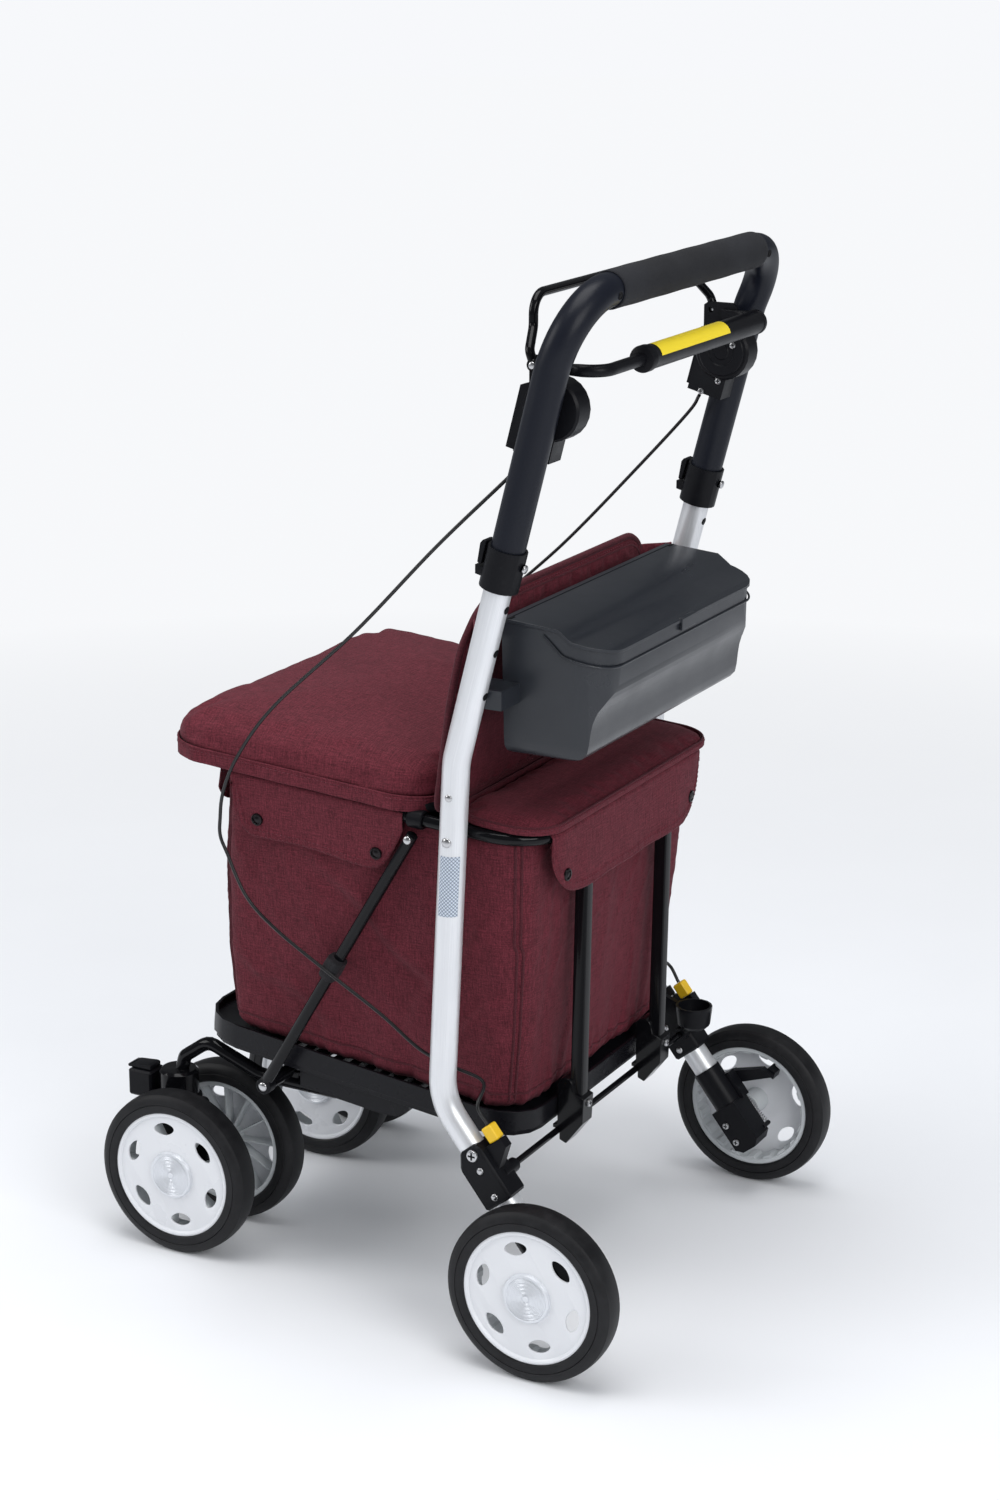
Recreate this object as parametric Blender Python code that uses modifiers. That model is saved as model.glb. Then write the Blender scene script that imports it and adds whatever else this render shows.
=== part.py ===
"""Shopping rollator with a bag, a padded seat, twin front casters and a brake for both hands.

Frame: +Z up, the ground at z = 0, travel towards -Y, the user's left at +X. The origin lies on
the ground midway between the front and rear wheels.
"""

import math

import bmesh
import bpy
from mathutils import Matrix, Vector

# Clearances
GAP = 0.0003                 # between pieces that touch

# Wheels: all six share one tyre and rim
WHEEL_R = 0.0845
WHEEL_STEPS = 20
TYRE_W = 0.0303
TYRE_TREAD_W = 0.0100
TYRE_SHOULDER_R = 0.0825
TYRE_SHOULDER_W = 0.0230
TYRE_SIDE_R = 0.0765
RIM_R = 0.0654
RIM_RECESS = 0.0028          # of the disc behind the tyre's face
RIM_WALL = 0.0055
DISC_T = 0.0032
CAP_R = 0.0245
HUB_R = 0.0130
HUB_REACH = 0.0145           # of the hub past the middle of the wheel, on its open side
HOLE_COUNT = 6
HOLE_RING_R = 0.0465
HOLE_LENGTH = 0.0210
HOLE_WIDTH = 0.0130
HOLE_SIDES = 8
HOLE_TURN = math.radians(12.0)
SPOKE_COUNT = 6
SPOKE_T = 0.0030
SPOKE_DEPTH = 0.0040
BRAKE_TOOTH_COUNT = 20
BRAKE_TOOTH_DEPTH = 0.0022
AXLE_R = 0.0040
HUB_BLIND = 0.0068           # end of the axle hole, from the middle of the wheel

# Places of the wheels
REAR_Y = 0.2181
REAR_X = 0.24985             # middle of each rear wheel
CASTER_X = 0.1343            # swivel axis and the middle between its two wheels
CASTER_PITCH = 0.0926        # between the two wheels of a caster
CASTER_Y = -0.2461           # swivel axis
TRAIL = 0.0280

# Side tubes: straight down from the handle, bent under the seat and again above the wheel
TUBE_X = 0.2070
TUBE_R = 0.01275
TUBE_WALL = 0.0018
TUBE_RES = 4                 # gives the big tubes 12 sides
TUBE_BORE = 0.0600           # of the bore below the collar
BORE_R = 0.0133              # of what is clamped round a tube, so that its flats clear it
UPPER_BEND = (0.1164, 0.5673)
LOWER_BEND = (0.0994, 0.2365)
UPPER_BEND_R = 0.080
LOWER_BEND_R = 0.062
TUBE_REACH = 0.110           # of the side tube into the handle above the collar
HANDLE_TILT = math.atan(0.262)
COLLAR_BASE = (0.1602, 0.7344)

# Handle
HANDLE_R = 0.0155
GRIP_R = 0.0176
GRIP_HALF = 0.1518
GRIP_Y = 0.2360
GRIP_Z = 0.9897
GRIP_BEND_R = 0.052
HANDLE_KNEE = (0.2115, 0.9300)
HANDLE_KNEE_R = 0.060
HANDLE_START = 0.0063        # of the handle tube above the collar's lower face
HANDLE_BORE = 0.1650
COLLAR_R = 0.0180
COLLAR_L = 0.0380
HEIGHT_PITCH = 0.0420        # between height holes
BUTTON_UP = 0.0220
BUTTON_R = 0.0036
CLIP_UP = 0.0280
CLIP_HINGE = (0.0150, -0.0210)

# Brake levers and their housings
CAP_Y = 0.2005
CAP_Z = 0.8890
HOUSING_CAP_R = 0.0280
HOUSING_IN = 0.1660          # inner face of a housing, from the middle plane
HOUSING_OUT = 0.1912
HOUSING_DROP = 0.0460
EAR_X = 0.1783
EAR_T = 0.0040
EAR_SIDE = ((0.1760, 0.9000), (0.1760, 0.9310), (0.1800, 0.9340), (0.2060, 0.9340), (0.2100, 0.9300),
            (0.2120, 0.9020))
BAIL_X = 0.1868
BAIL_R = 0.0042
BAIL_PIVOT = (0.1830, 0.9264)
BAIL_ANKLE = (0.1785, 0.9385)
BAIL_KNEE = (0.1720, 0.9560)
BAIL_TOP = (0.1720, 0.9840)
BAIL_TOP_X = 0.1670
BAIL_BEND_R = 0.018
PARK_X = 0.1780
PARK_PIVOT = (0.2020, 0.9250)
PARK_BAR_Y = 0.2450
PARK_BAR_Z = 0.9230
PARK_T = 0.0040
PARK_H = 0.0100
PARK_BEND_R = 0.022
PIVOT_R = 0.0025
SLEEVE_R = 0.0112
SLEEVE_FROM = -0.1500
SLEEVE_TO = 0.0955

# Legs, their clamps and the brake parts at the rear wheels
LEG_TILT = math.radians(38.0)
LEG_END = 0.0170             # of the silver tube above the axle
CARRIER_R = 0.0150
CARRIER_TOP = 0.0580
CARRIER_LOW = 0.0155
CARRIER_BOTTOM = -0.0350
CARRIER_IN = 0.1920           # inner and outer faces of the pieces clamped to a leg
CARRIER_OUT = 0.2220
BRACKET_LOW = 0.0820         # of the rear bracket above the axle, along the leg
BRACKET_HIGH = 0.1420
BRACKET_HALF = 0.0165
NUB_BACK = 0.0360
ROD_YZ = (0.1620, 0.1735)
ROD_R = 0.00325
ROD_HALF = 0.1955
BOSS_R = 0.0070
BOSS_IN = 0.1820
CABLE_END_UP = 0.1338        # lower end of the yellow cable end above the axle, along the leg
CABLE_END_BACK = 0.0287
CABLE_END_L = 0.0160
CABLE_END_W = 0.0120
SHOE_UP = 0.0355
SHOE_BACK = 0.0132
SHOE_X = (0.2226, 0.2315)
SHOE_EYE_R = 0.0072
TOOTH_X = 0.2450
TOOTH_R = (0.0490, 0.0562)
TOOTH_AT = (0.0190, 0.0480)
SPRING_FROM = (0.2110, 0.1070)
SPRING_TO = (0.2440, 0.0740)
SPRING_X = 0.2278
SPRING_R = 0.0026
SPRING_WIRE_R = 0.0005
SPRING_CURLS = 9
SPRING_POINTS = 8
CUP_X = 0.1835
CUP_Y = 0.1775
CUP_RIM_Z = 0.2090
CUP_R = 0.0190
CUP_DEPTH = 0.0240
CUP_WALL = 0.0024

# Bag hoop and the struts under it
HOOP_PIN = (0.1126, 0.4925)
HOOP_X = 0.1865
HOOP_R = 0.0060
HOOP_FRONT_Y = -0.1600
HOOP_REAR_Y = 0.1860
HOOP_REAR_Z = 0.4900
HOOP_SLOPE = -0.0714
HOOP_CORNER_R = 0.050
PIN_R = 0.0030
PIN_HEAD_R = 0.0050
PIN_HEAD_T = 0.0018
STRUT_TOP = (0.1945, 0.0640, 0.4870)
STRUT_FOOT_OUT = 0.0150         # of a strut's foot from the side of the tray
STRUT_R = 0.0057
STRUT_EYE_R = 0.0082
CLIP_R = 0.0092
CLIP_L = 0.0160
BAR_X = 0.0860
BAR_W = 0.0130
BAR_TOP_Y = 0.1860
BAR_FOOT_Y = 0.1810
BAR_FOOT_Z = 0.2050
BAR_TOP_Z = 0.4860
FOOT_W = 0.0210
EAR_Y = 0.1715
EAR_Z = 0.2220
EAR_R = 0.0085

# Tray
TRAY_HALF = 0.1630
TRAY_FRONT_Y = -0.2050
TRAY_REAR_Y = 0.1630
TRAY_CORNER_R = 0.048
TRAY_RIM_Z = 0.2272          # top of the rim at y = 0
TRAY_TILT = math.radians(-6.54)
TRAY_DEPTH = 0.0260
TRAY_WALL = 0.0030
TRAY_POCKET = 0.0080         # from the rim down to the floor
TRAY_LIP = 0.0030
TRAY_STEP_H = 0.0060
TRAY_CELLS = 5
LUG_X = 0.0600
SLOT_COUNT = 9
SLOT_PITCH = 0.0170
SLOT_W = 0.0070
SLOT_L = 0.0170
SLOT_X = TRAY_HALF - 0.0175
SLOT_Y = -0.0930
RAIL_X = TRAY_HALF - 0.0130
RAIL_T = 0.0040
RAIL_SINK = 0.0020           # of a rail into the tray's floor
RAIL_LOW = ((-0.0920, 0.1890), (0.0300, 0.1880), (0.0160, 0.1790), (-0.0020, 0.1790))
LUG_HALF = 0.0080
LUG_OUTER_X = CASTER_X - 0.0220

# Front frame and swivels
FRONT_TUBE_R = 0.0070
FRONT_PEAK = (-0.2090, 0.2080)
FRONT_LOW = (-0.1480, 0.1850)
FRONT_BACK = (-0.0600, 0.1840)
CROSS_TUBE = (-0.1140, 0.1965)
CROSS_HALF = TRAY_HALF + 0.0070
STRUT_FOOT = (TRAY_HALF + STRUT_FOOT_OUT, CROSS_TUBE[0] - 0.0010, CROSS_TUBE[1] + 0.0005)
HEAD_R = 0.0200
HEAD_LOW = 0.1440
HEAD_HIGH = 0.1730
FORK_W = 0.0340
FORK_TOP = 0.1437
FORK_SIDE = (                # side view of the web, clockwise from its front top corner
    (-0.2720, 0.1400), (-0.2220, 0.1400), (-0.2000, 0.0960), (-0.2030, 0.0750), (-0.2180, 0.0660),
    (-0.2360, 0.0780), (-0.2620, 0.1180),
)
KINGPIN_R = 0.0050
LOCK_FRONT = -0.3000
LOCK_REAR = -0.2722
LOCK_HALF = 0.0130
LOCK_TOP = 0.1660
LATCH_T = 0.0060
LATCH_HALF = 0.0090

# Bag, cover, seat and back pad
BAG_WALL = 0.0032
BAG_BASE_HALF = 0.1550
BAG_BASE_FRONT = -0.1720
BAG_BASE_REAR = 0.1500
BAG_BASE_Z = 0.2320          # at y = 0
BAG_BASE_SLOPE = -0.052
BAG_TOP_HALF = 0.1840
BAG_TOP_FRONT = -0.1560
BAG_TOP_REAR = 0.1735
BAG_CORNER = 0.030
COVER_FRONT = 0.1025
COVER_REAR = 0.1965
COVER_HALF = 0.1880
COVER_T = 0.0130
FLAP_LOW = 0.4300
FLAP_HALF = 0.1330
FLAP_T = 0.0030
SEAT_HALF = 0.1980
SEAT_FRONT = -0.2130
SEAT_REAR = 0.0865
SEAT_T = 0.0520
SEAT_CROWN = 0.0160
SEAT_HINGE_Z = 0.5720
BOARD_T = 0.0100
BOARD_INSET = 0.0060
PAD_LOW = 0.5130
PAD_HIGH = 0.7060
PAD_LOW_Y = 0.0943
PAD_HIGH_Y = 0.1180
PAD_T = 0.0110
PAD_LOW_HALF = 0.1930
PAD_HIGH_HALF = 0.1640
PAD_LOOPS = (-0.1500,)

# Organizer behind the seat
BOX_HALF = 0.1720            # half width at the rim
BOX_DRAFT = 0.0060           # by which each end has drawn in at the bottom
BOX_FRONT = 0.1430
BOX_LOW = 0.5680
BOX_CORNER = 0.0380          # rounding of the two rear corners
BOX_WALL = 0.0030
BOX_HINGE = (0.1500, 0.6940)
BOX_REAR = (                 # rear face from the bottom up: a scoop under an overhanging rim
    (0.2110, 0.5680), (0.2195, 0.5710), (0.2245, 0.5765), (0.2262, 0.5850), (0.2275, 0.5960), (0.2292,
                                                                                               0.6050),
    (0.2325, 0.6140), (0.2385, 0.6240), (0.2425, 0.6310), (0.2442, 0.6380), (0.2450, 0.6500),
)
STRIP_T = 0.0054             # of the strip in front of the lid
STRIP_TOP = 0.6945
LID_T = 0.0032
LID_LINE = ((0.1492, 0.6942), (0.1510, 0.6942), (0.1992, 0.6902), (0.2130, 0.6802), (0.2410, 0.6735),
            (0.2468, 0.6708))
CATCH_W = 0.0300
ARM_LOW = 0.6180
ARM_HIGH = 0.6360

# Brake cables
CABLE_R = 0.0017
CABLE_POINTS = 52
CABLE_START = (0.1780, 0.1730, 0.8430)
CABLE_ROUTE = (
    (0.1900, 0.1557, 0.8224), (0.2050, 0.0950, 0.7600), (0.2070, 0.0125, 0.6740), (0.2075, -0.0748, 0.5934),
    (0.2075, -0.1157, 0.5410), (0.2075, -0.1345, 0.5010), (0.2075, -0.1390, 0.4728),
    (0.2070, -0.1395, 0.4565), (0.2060, -0.1333, 0.4404), (0.2050, -0.1135, 0.4000),
    (0.2020, -0.0834, 0.3710), (0.1985, -0.0300, 0.3370), (0.1985, 0.0300, 0.3040),
    (0.1960, 0.0700, 0.2760), (0.1865, 0.1000, 0.2610), (0.1865, 0.1320, 0.2520),
)


# Tools

def collection(name, hidden=False):
    made = bpy.data.collections.new(name)
    bpy.context.scene.collection.children.link(made)
    made.hide_render = hidden
    return made


def material(name, colour, roughness, metallic=0.0):
    made = bpy.data.materials.new(name)
    made.use_nodes = True
    shader = made.node_tree.nodes["Principled BSDF"]
    shader.inputs["Base Color"].default_value = (*colour, 1.0)
    shader.inputs["Roughness"].default_value = roughness
    shader.inputs["Metallic"].default_value = metallic
    made.diffuse_color = (*colour, 1.0)
    return made


def mesh_object(name, mesh, matrix=None):
    made = bpy.data.objects.new(name, mesh)
    if matrix is not None:
        made.matrix_world = matrix
    bpy.context.scene.collection.objects.link(made)
    return made


def from_bmesh(name, bm, matrix=None):
    bmesh.ops.recalc_face_normals(bm, faces=bm.faces)
    mesh = bpy.data.meshes.new(name)
    bm.to_mesh(mesh)
    bm.free()
    return mesh_object(name, mesh, matrix)


def solid_of(source, name):
    """The evaluated shape of an object as a welded mesh in world coordinates; the source is removed."""
    bpy.context.view_layer.update()
    graph = bpy.context.evaluated_depsgraph_get()
    mesh = bpy.data.meshes.new_from_object(source.evaluated_get(graph))
    bm = bmesh.new()
    bm.from_mesh(mesh)
    bm.transform(source.matrix_world)
    bmesh.ops.remove_doubles(bm, verts=bm.verts, dist=1e-6)
    bmesh.ops.recalc_face_normals(bm, faces=bm.faces)
    bm.to_mesh(mesh)
    bm.free()
    made = mesh_object(name, mesh)
    bpy.data.objects.remove(source)
    return made


def tube(name, points, radius, resolution=2, cyclic=False):
    """A round bar or tube along a row of points."""
    data = bpy.data.curves.new(name, "CURVE")
    data.dimensions = "3D"
    data.bevel_depth = radius
    data.bevel_resolution = resolution
    data.use_fill_caps = not cyclic
    spline = data.splines.new("POLY")
    spline.points.add(len(points) - 1)
    for point, place in zip(spline.points, points):
        point.co = (*place, 1.0)
    spline.use_cyclic_u = cyclic
    curve = bpy.data.objects.new(name, data)
    bpy.context.scene.collection.objects.link(curve)
    return solid_of(curve, name)


def rounded(corners, radii, steps=5):
    """The corners of a path with an arc of its own radius at each inner corner."""
    path = [Vector(corners[0])]
    for before, corner, after, radius in zip(corners, corners[1:], corners[2:], radii):
        corner = Vector(corner)
        back = (Vector(before) - corner).normalized()
        on = (Vector(after) - corner).normalized()
        half = back.angle(on) / 2
        centre = corner + (back + on).normalized() * radius / math.sin(half)
        start = corner + back * radius / math.tan(half) - centre
        turn = math.pi - 2 * half
        axis = start.cross(corner - centre).normalized()
        path += [centre + Matrix.Rotation(turn * i / steps, 3, axis) @ start for i in range(steps + 1)]
    path.append(Vector(corners[-1]))
    return path


def ring_path(half, front, rear, radius, height, steps=5):
    """A closed rounded rectangle in plan, with its height a function of y."""
    corners = [(half, rear), (-half, rear), (-half, front), (half, front)]
    points = []
    for number, (x, y) in enumerate(corners):
        centre = (x - math.copysign(radius, x), y - math.copysign(radius, y - (front + rear) / 2))
        for i in range(steps + 1):
            angle = math.pi / 2 * (number + i / steps)
            points.append((centre[0] + radius * math.cos(angle), centre[1] + radius * math.sin(angle)))
    return [(x, y, height(y)) for x, y in points]


def prism(name, outline, low, high, axis="X", holes=()):
    """A flat outline of (y, z) points pushed along X, or of (x, y) points along Z."""
    data = bpy.data.curves.new(name, "CURVE")
    data.dimensions = "2D"
    data.fill_mode = "BOTH"
    data.extrude = (high - low) / 2
    for loop in (outline, *holes):
        spline = data.splines.new("POLY")
        spline.points.add(len(loop) - 1)
        for point, place in zip(spline.points, loop):
            point.co = (place[0], place[1], 0.0, 1.0)
        spline.use_cyclic_u = True
    curve = bpy.data.objects.new(name, data)
    bpy.context.scene.collection.objects.link(curve)
    middle = (low + high) / 2
    if axis == "X":
        curve.matrix_world = Matrix(((0, 0, 1, middle), (1, 0, 0, 0), (0, 1, 0, 0), (0, 0, 0, 1)))
    else:
        curve.location.z = middle
    return solid_of(curve, name)


def block(name, low, high, turn=0.0, about=(0.0, 0.0)):
    """A box between two corners, turned about the X direction through a (y, z) point."""
    bm = bmesh.new()
    bmesh.ops.create_cube(bm, size=1.0)
    low, high = Vector(low), Vector(high)
    size = high - low
    bmesh.ops.scale(bm, vec=[abs(value) for value in size], verts=bm.verts)
    bmesh.ops.translate(bm, vec=(low + high) / 2, verts=bm.verts)
    if turn:
        centre = Vector((0.0, *about))
        bmesh.ops.rotate(bm, cent=centre, matrix=Matrix.Rotation(turn, 3, "X"), verts=bm.verts)
    return from_bmesh(name, bm)


def rod(name, start, end, radius, sides=12, start_turn=0.5):
    """A round bar between two points."""
    start, end = Vector(start), Vector(end)
    bm = bmesh.new()
    bmesh.ops.create_cone(bm, cap_ends=True, segments=sides, radius1=radius, radius2=radius,
                          depth=(end - start).length)
    bmesh.ops.rotate(bm, matrix=Matrix.Rotation(math.tau * start_turn / sides, 3, "Z"), verts=bm.verts)
    turn = (end - start).normalized().to_track_quat("Z", "Y").to_matrix()
    bmesh.ops.rotate(bm, matrix=turn, verts=bm.verts)
    bmesh.ops.translate(bm, vec=(start + end) / 2, verts=bm.verts)
    return from_bmesh(name, bm)


def turned(name, profile, steps, matrix):
    """A profile of (radius, height) points, closed on itself, turned about its own Z."""
    bm = bmesh.new()
    verts = [bm.verts.new((radius, 0.0, height)) for radius, height in profile]
    for a, b in zip(verts, verts[1:] + verts[:1]):
        if a.co.x > 1e-6 or b.co.x > 1e-6:
            bm.edges.new((a, b))
    mesh = bpy.data.meshes.new(name)
    bm.to_mesh(mesh)
    bm.free()
    made = mesh_object(name, mesh)
    screw = made.modifiers.new("Turn", "SCREW")
    screw.steps = screw.render_steps = steps
    screw.use_merge_vertices = True
    screw.merge_threshold = 1e-5
    made.matrix_world = matrix
    return solid_of(made, name)


def aim_x(x, y, z, side=1.0, turn=0.0):
    """A matrix that stands a turned shape's axis along X, facing outwards on that side."""
    face = Matrix(((0, 0, side, 0), (side, 0, 0, 0), (0, 1, 0, 0), (0, 0, 0, 1)))
    return Matrix.Translation((x, y, z)) @ face @ Matrix.Rotation(turn, 4, "Z")


def operate(target, tool, operation):
    modifier = target.modifiers.new(tool.name, "BOOLEAN")
    modifier.operation = operation
    modifier.solver = "EXACT"
    modifier.object = tool
    for users in tuple(tool.users_collection):
        users.objects.unlink(tool)
    CUTTERS.objects.link(tool)
    tool.hide_render = True
    tool.display_type = "WIRE"
    return target


def cut(target, *tools):
    for tool in tools:
        operate(target, tool, "DIFFERENCE")
    return target


def fuse(target, *tools):
    for tool in tools:
        operate(target, tool, "UNION")
    return target


def soften(target, width, segments=1, angle=35.0):
    bevel = target.modifiers.new("Soft edges", "BEVEL")
    bevel.width = width
    bevel.segments = segments
    bevel.limit_method = "ANGLE"
    bevel.angle_limit = math.radians(angle)
    return target


def keep(obj, name, finish, parent=None):
    """Names a finished piece, gives it its material and hangs it on its joint's empty."""
    obj.name = name
    for users in tuple(obj.users_collection):
        users.objects.unlink(obj)
    PARTS.objects.link(obj)
    obj.data.materials.clear()
    obj.data.materials.append(finish)
    obj.data.shade_smooth()
    obj.data.set_sharp_from_angle(angle=math.radians(32.0))
    if parent is not None:
        world = obj.matrix_world.copy()
        obj.parent = parent
        obj.matrix_parent_inverse = parent.matrix_world.inverted()
        obj.matrix_world = world
    return obj


def pivot(name, x, y, z, parent=None):
    """An empty on a joint's axis."""
    empty = bpy.data.objects.new(name, None)
    empty.empty_display_size = 0.03
    empty.matrix_world = Matrix.Translation((x, y, z))
    PARTS.objects.link(empty)
    bpy.context.view_layer.update()
    if parent is not None:
        empty.parent = parent
        empty.matrix_parent_inverse = parent.matrix_world.inverted()
    bpy.context.view_layer.update()
    return empty


def arc(centre, radius, start, end, steps):
    """Points of (y, z) along an arc given in degrees."""
    return [(centre[0] + radius * math.cos(math.radians(start + (end - start) * i / steps)),
             centre[1] + radius * math.sin(math.radians(start + (end - start) * i / steps)))
            for i in range(steps + 1)]


def plan_outline(half, front, rear, radius, steps=5):
    return [(x, y) for x, y, _ in ring_path(half, front, rear, radius, lambda y: 0.0, steps)]


# Places that several pieces share

def on_handle(up, back, x):
    """A point up the handle's slope from the collar's lower face, and back square to it."""
    y = COLLAR_BASE[0] + up * math.sin(HANDLE_TILT) + back * math.cos(HANDLE_TILT)
    z = COLLAR_BASE[1] + up * math.cos(HANDLE_TILT) - back * math.sin(HANDLE_TILT)
    return (x, y, z)


def on_leg(up, back, x):
    """A point up the leg from the rear axle, and back square to it."""
    y = REAR_Y - up * math.sin(LEG_TILT) + back * math.cos(LEG_TILT)
    z = WHEEL_R + up * math.cos(LEG_TILT) + back * math.sin(LEG_TILT)
    return (x, y, z)


def leg_yz(up, back):
    return on_leg(up, back, 0.0)[1:]


def hoop_z(y):
    return HOOP_REAR_Z + HOOP_SLOPE * (y - HOOP_REAR_Y)


def board_z(y):
    """Underside of the seat board and of the rear cover, on the hoop."""
    return hoop_z(y) + HOOP_R + GAP


def seat_z(y):
    return board_z(y) + BOARD_T + GAP


def tray_rim_z(y):
    return TRAY_RIM_Z + math.tan(TRAY_TILT) * y



# Wheels

def wheel_matrix(x, y, side):
    """Where a wheel built about its own Z goes; a facet of the tread lies on the ground."""
    return aim_x(x, y, WHEEL_R, side, math.pi / 2 + math.pi / WHEEL_STEPS)


def tyre_mesh():
    out = 1.0 / math.cos(math.pi / WHEEL_STEPS)
    half = TYRE_W / 2
    bore = RIM_R + GAP
    profile = [(bore, half), (TYRE_SIDE_R * out, half), (TYRE_SHOULDER_R * out, TYRE_SHOULDER_W / 2),
               (WHEEL_R * out, TYRE_TREAD_W / 2), (WHEEL_R * out, -TYRE_TREAD_W / 2),
               (TYRE_SHOULDER_R * out, -TYRE_SHOULDER_W / 2), (TYRE_SIDE_R * out, -half), (bore, -half)]
    return turned("tyre", profile, WHEEL_STEPS, Matrix.Identity(4))


def rim_mesh(braked):
    """Rim with a dished disc, six oval holes, a centre cap and, inside, spokes or a toothed ring."""
    face = TYRE_W / 2 - RIM_RECESS
    inner = RIM_R - RIM_WALL
    disc = face - DISC_T
    profile = [(0.0, face + 0.0008), (CAP_R, face + 0.0008), (CAP_R + 0.0015, face - 0.0008),
               (RIM_R - 0.005, face - 0.0008), (RIM_R, face), (RIM_R, -face),
               (inner, -face), (inner, disc - 0.0012), (HUB_R, disc), (HUB_R, -HUB_REACH),
               (AXLE_R + GAP, -HUB_REACH), (AXLE_R + GAP, HUB_BLIND), (0.0, HUB_BLIND)]
    made = turned("rim", profile, WHEEL_STEPS, Matrix.Identity(4))
    for number in range(HOLE_COUNT):
        angle = math.tau * number / HOLE_COUNT + HOLE_TURN
        oval = [(HOLE_LENGTH / 2 * math.cos(math.tau * i / HOLE_SIDES),
                 HOLE_RING_R + HOLE_WIDTH / 2 * math.sin(math.tau * i / HOLE_SIDES))
                for i in range(HOLE_SIDES)]
        hole = prism("hole", oval, disc - DISC_T, face + DISC_T, axis="Z")
        hole.matrix_world = Matrix.Rotation(angle, 4, "Z") @ hole.matrix_world
        cut(made, hole)
    if braked:
        teeth = []
        for i in range(BRAKE_TOOTH_COUNT):
            for share, radius in ((0.0, inner - BRAKE_TOOTH_DEPTH), (0.5, inner - BRAKE_TOOTH_DEPTH / 4)):
                angle = math.tau * (i + share) / BRAKE_TOOTH_COUNT
                teeth.append((radius * math.cos(angle), radius * math.sin(angle)))
        middle = inner + RIM_WALL / 2
        circle = [(middle * math.cos(math.tau * i / WHEEL_STEPS),
                   middle * math.sin(math.tau * i / WHEEL_STEPS))
                  for i in range(WHEEL_STEPS)]
        fuse(made, prism("teeth", circle, -face + 0.001, disc - 0.004, axis="Z", holes=(teeth,)))
    else:
        for number in range(SPOKE_COUNT):
            angle = math.tau * (number + 0.5) / SPOKE_COUNT + HOLE_TURN
            spoke = block("spoke", (-SPOKE_T / 2, HUB_R - 0.002, -SPOKE_DEPTH),
                          (SPOKE_T / 2, inner + RIM_WALL / 2, disc + 0.0005))
            spoke.matrix_world = Matrix.Rotation(angle, 4, "Z")
            fuse(made, spoke)
    return solid_of(made, "rim")


def placed(source, name, matrix, finish, parent):
    """A wheel part at its axle, sharing its mesh with the others like it."""
    made = bpy.data.objects.new(name, source.data)
    made.matrix_world = matrix
    bpy.context.scene.collection.objects.link(made)
    bpy.context.view_layer.update()
    return keep(made, name, finish, parent)


def loft(name, rings):
    """A closed skin through rings of points of equal count, with flat ends."""
    bm = bmesh.new()
    rows = [[bm.verts.new(point) for point in ring] for ring in rings]
    for low, high in zip(rows, rows[1:]):
        for a, b, c, d in zip(low, low[1:] + low[:1], high[1:] + high[:1], high):
            bm.faces.new((a, b, c, d))
    bm.faces.new(rows[0][::-1])
    bm.faces.new(rows[-1])
    return from_bmesh(name, bm)


def slab_rings(half, front, rear, corner, ground, levels):
    """Rings for a cushion: each level is a height above the ground and a draw-in of the outline."""
    rings = []
    for height, inset in levels:
        radius = max(corner - inset, 0.010)
        rings.append(ring_path(half - inset, front + inset, rear - inset, radius,
                               lambda y, height=height: ground(y) + height, 4))
    return rings


def mirrored(source, name):
    """A baked copy on the other side of the middle plane."""
    copy = source.copy()
    copy.data = source.data.copy()
    bpy.context.scene.collection.objects.link(copy)
    baked = solid_of(copy, name)
    bm = bmesh.new()
    bm.from_mesh(baked.data)
    bm.transform(Matrix.Diagonal((-1, 1, 1, 1)))
    bmesh.ops.reverse_faces(bm, faces=bm.faces)
    bm.to_mesh(baked.data)
    bm.free()
    return baked


def both(source, name, finish, left_parent=None, right_parent=None):
    """Keeps a piece of the left side and its mirrored twin on the right."""
    right = mirrored(source, name + "_right")
    keep(right, name + "_right", finish, right_parent)
    return keep(source, name + "_left", finish, left_parent), right


# Frame

def side_tube_path(x):
    corners = [on_handle(TUBE_REACH, 0.0, x), (x, *UPPER_BEND), (x, *LOWER_BEND), on_leg(LEG_END, 0.0, x)]
    return rounded(corners, (UPPER_BEND_R, LOWER_BEND_R), steps=4)


def side_tube(x):
    """Silver tube with its bore at the top, three height holes and the hole of the hoop pin."""
    made = tube("side_tube", side_tube_path(x), TUBE_R, TUBE_RES)
    bore = rod("bore", on_handle(-TUBE_BORE, 0.0, x), on_handle(TUBE_REACH + 0.01, 0.0, x),
               TUBE_R - TUBE_WALL)
    cut(made, bore)
    for step in (-1, 0, 1):
        up = BUTTON_UP + step * HEIGHT_PITCH
        cut(made, rod("height hole", on_handle(up, 0.006, x), on_handle(up, 0.020, x), BUTTON_R + GAP, 12))
    cut(made, rod("pin hole", (x - 0.03, *HOOP_PIN), (x + 0.03, *HOOP_PIN), PIN_R + GAP, 12))
    return made


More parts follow.
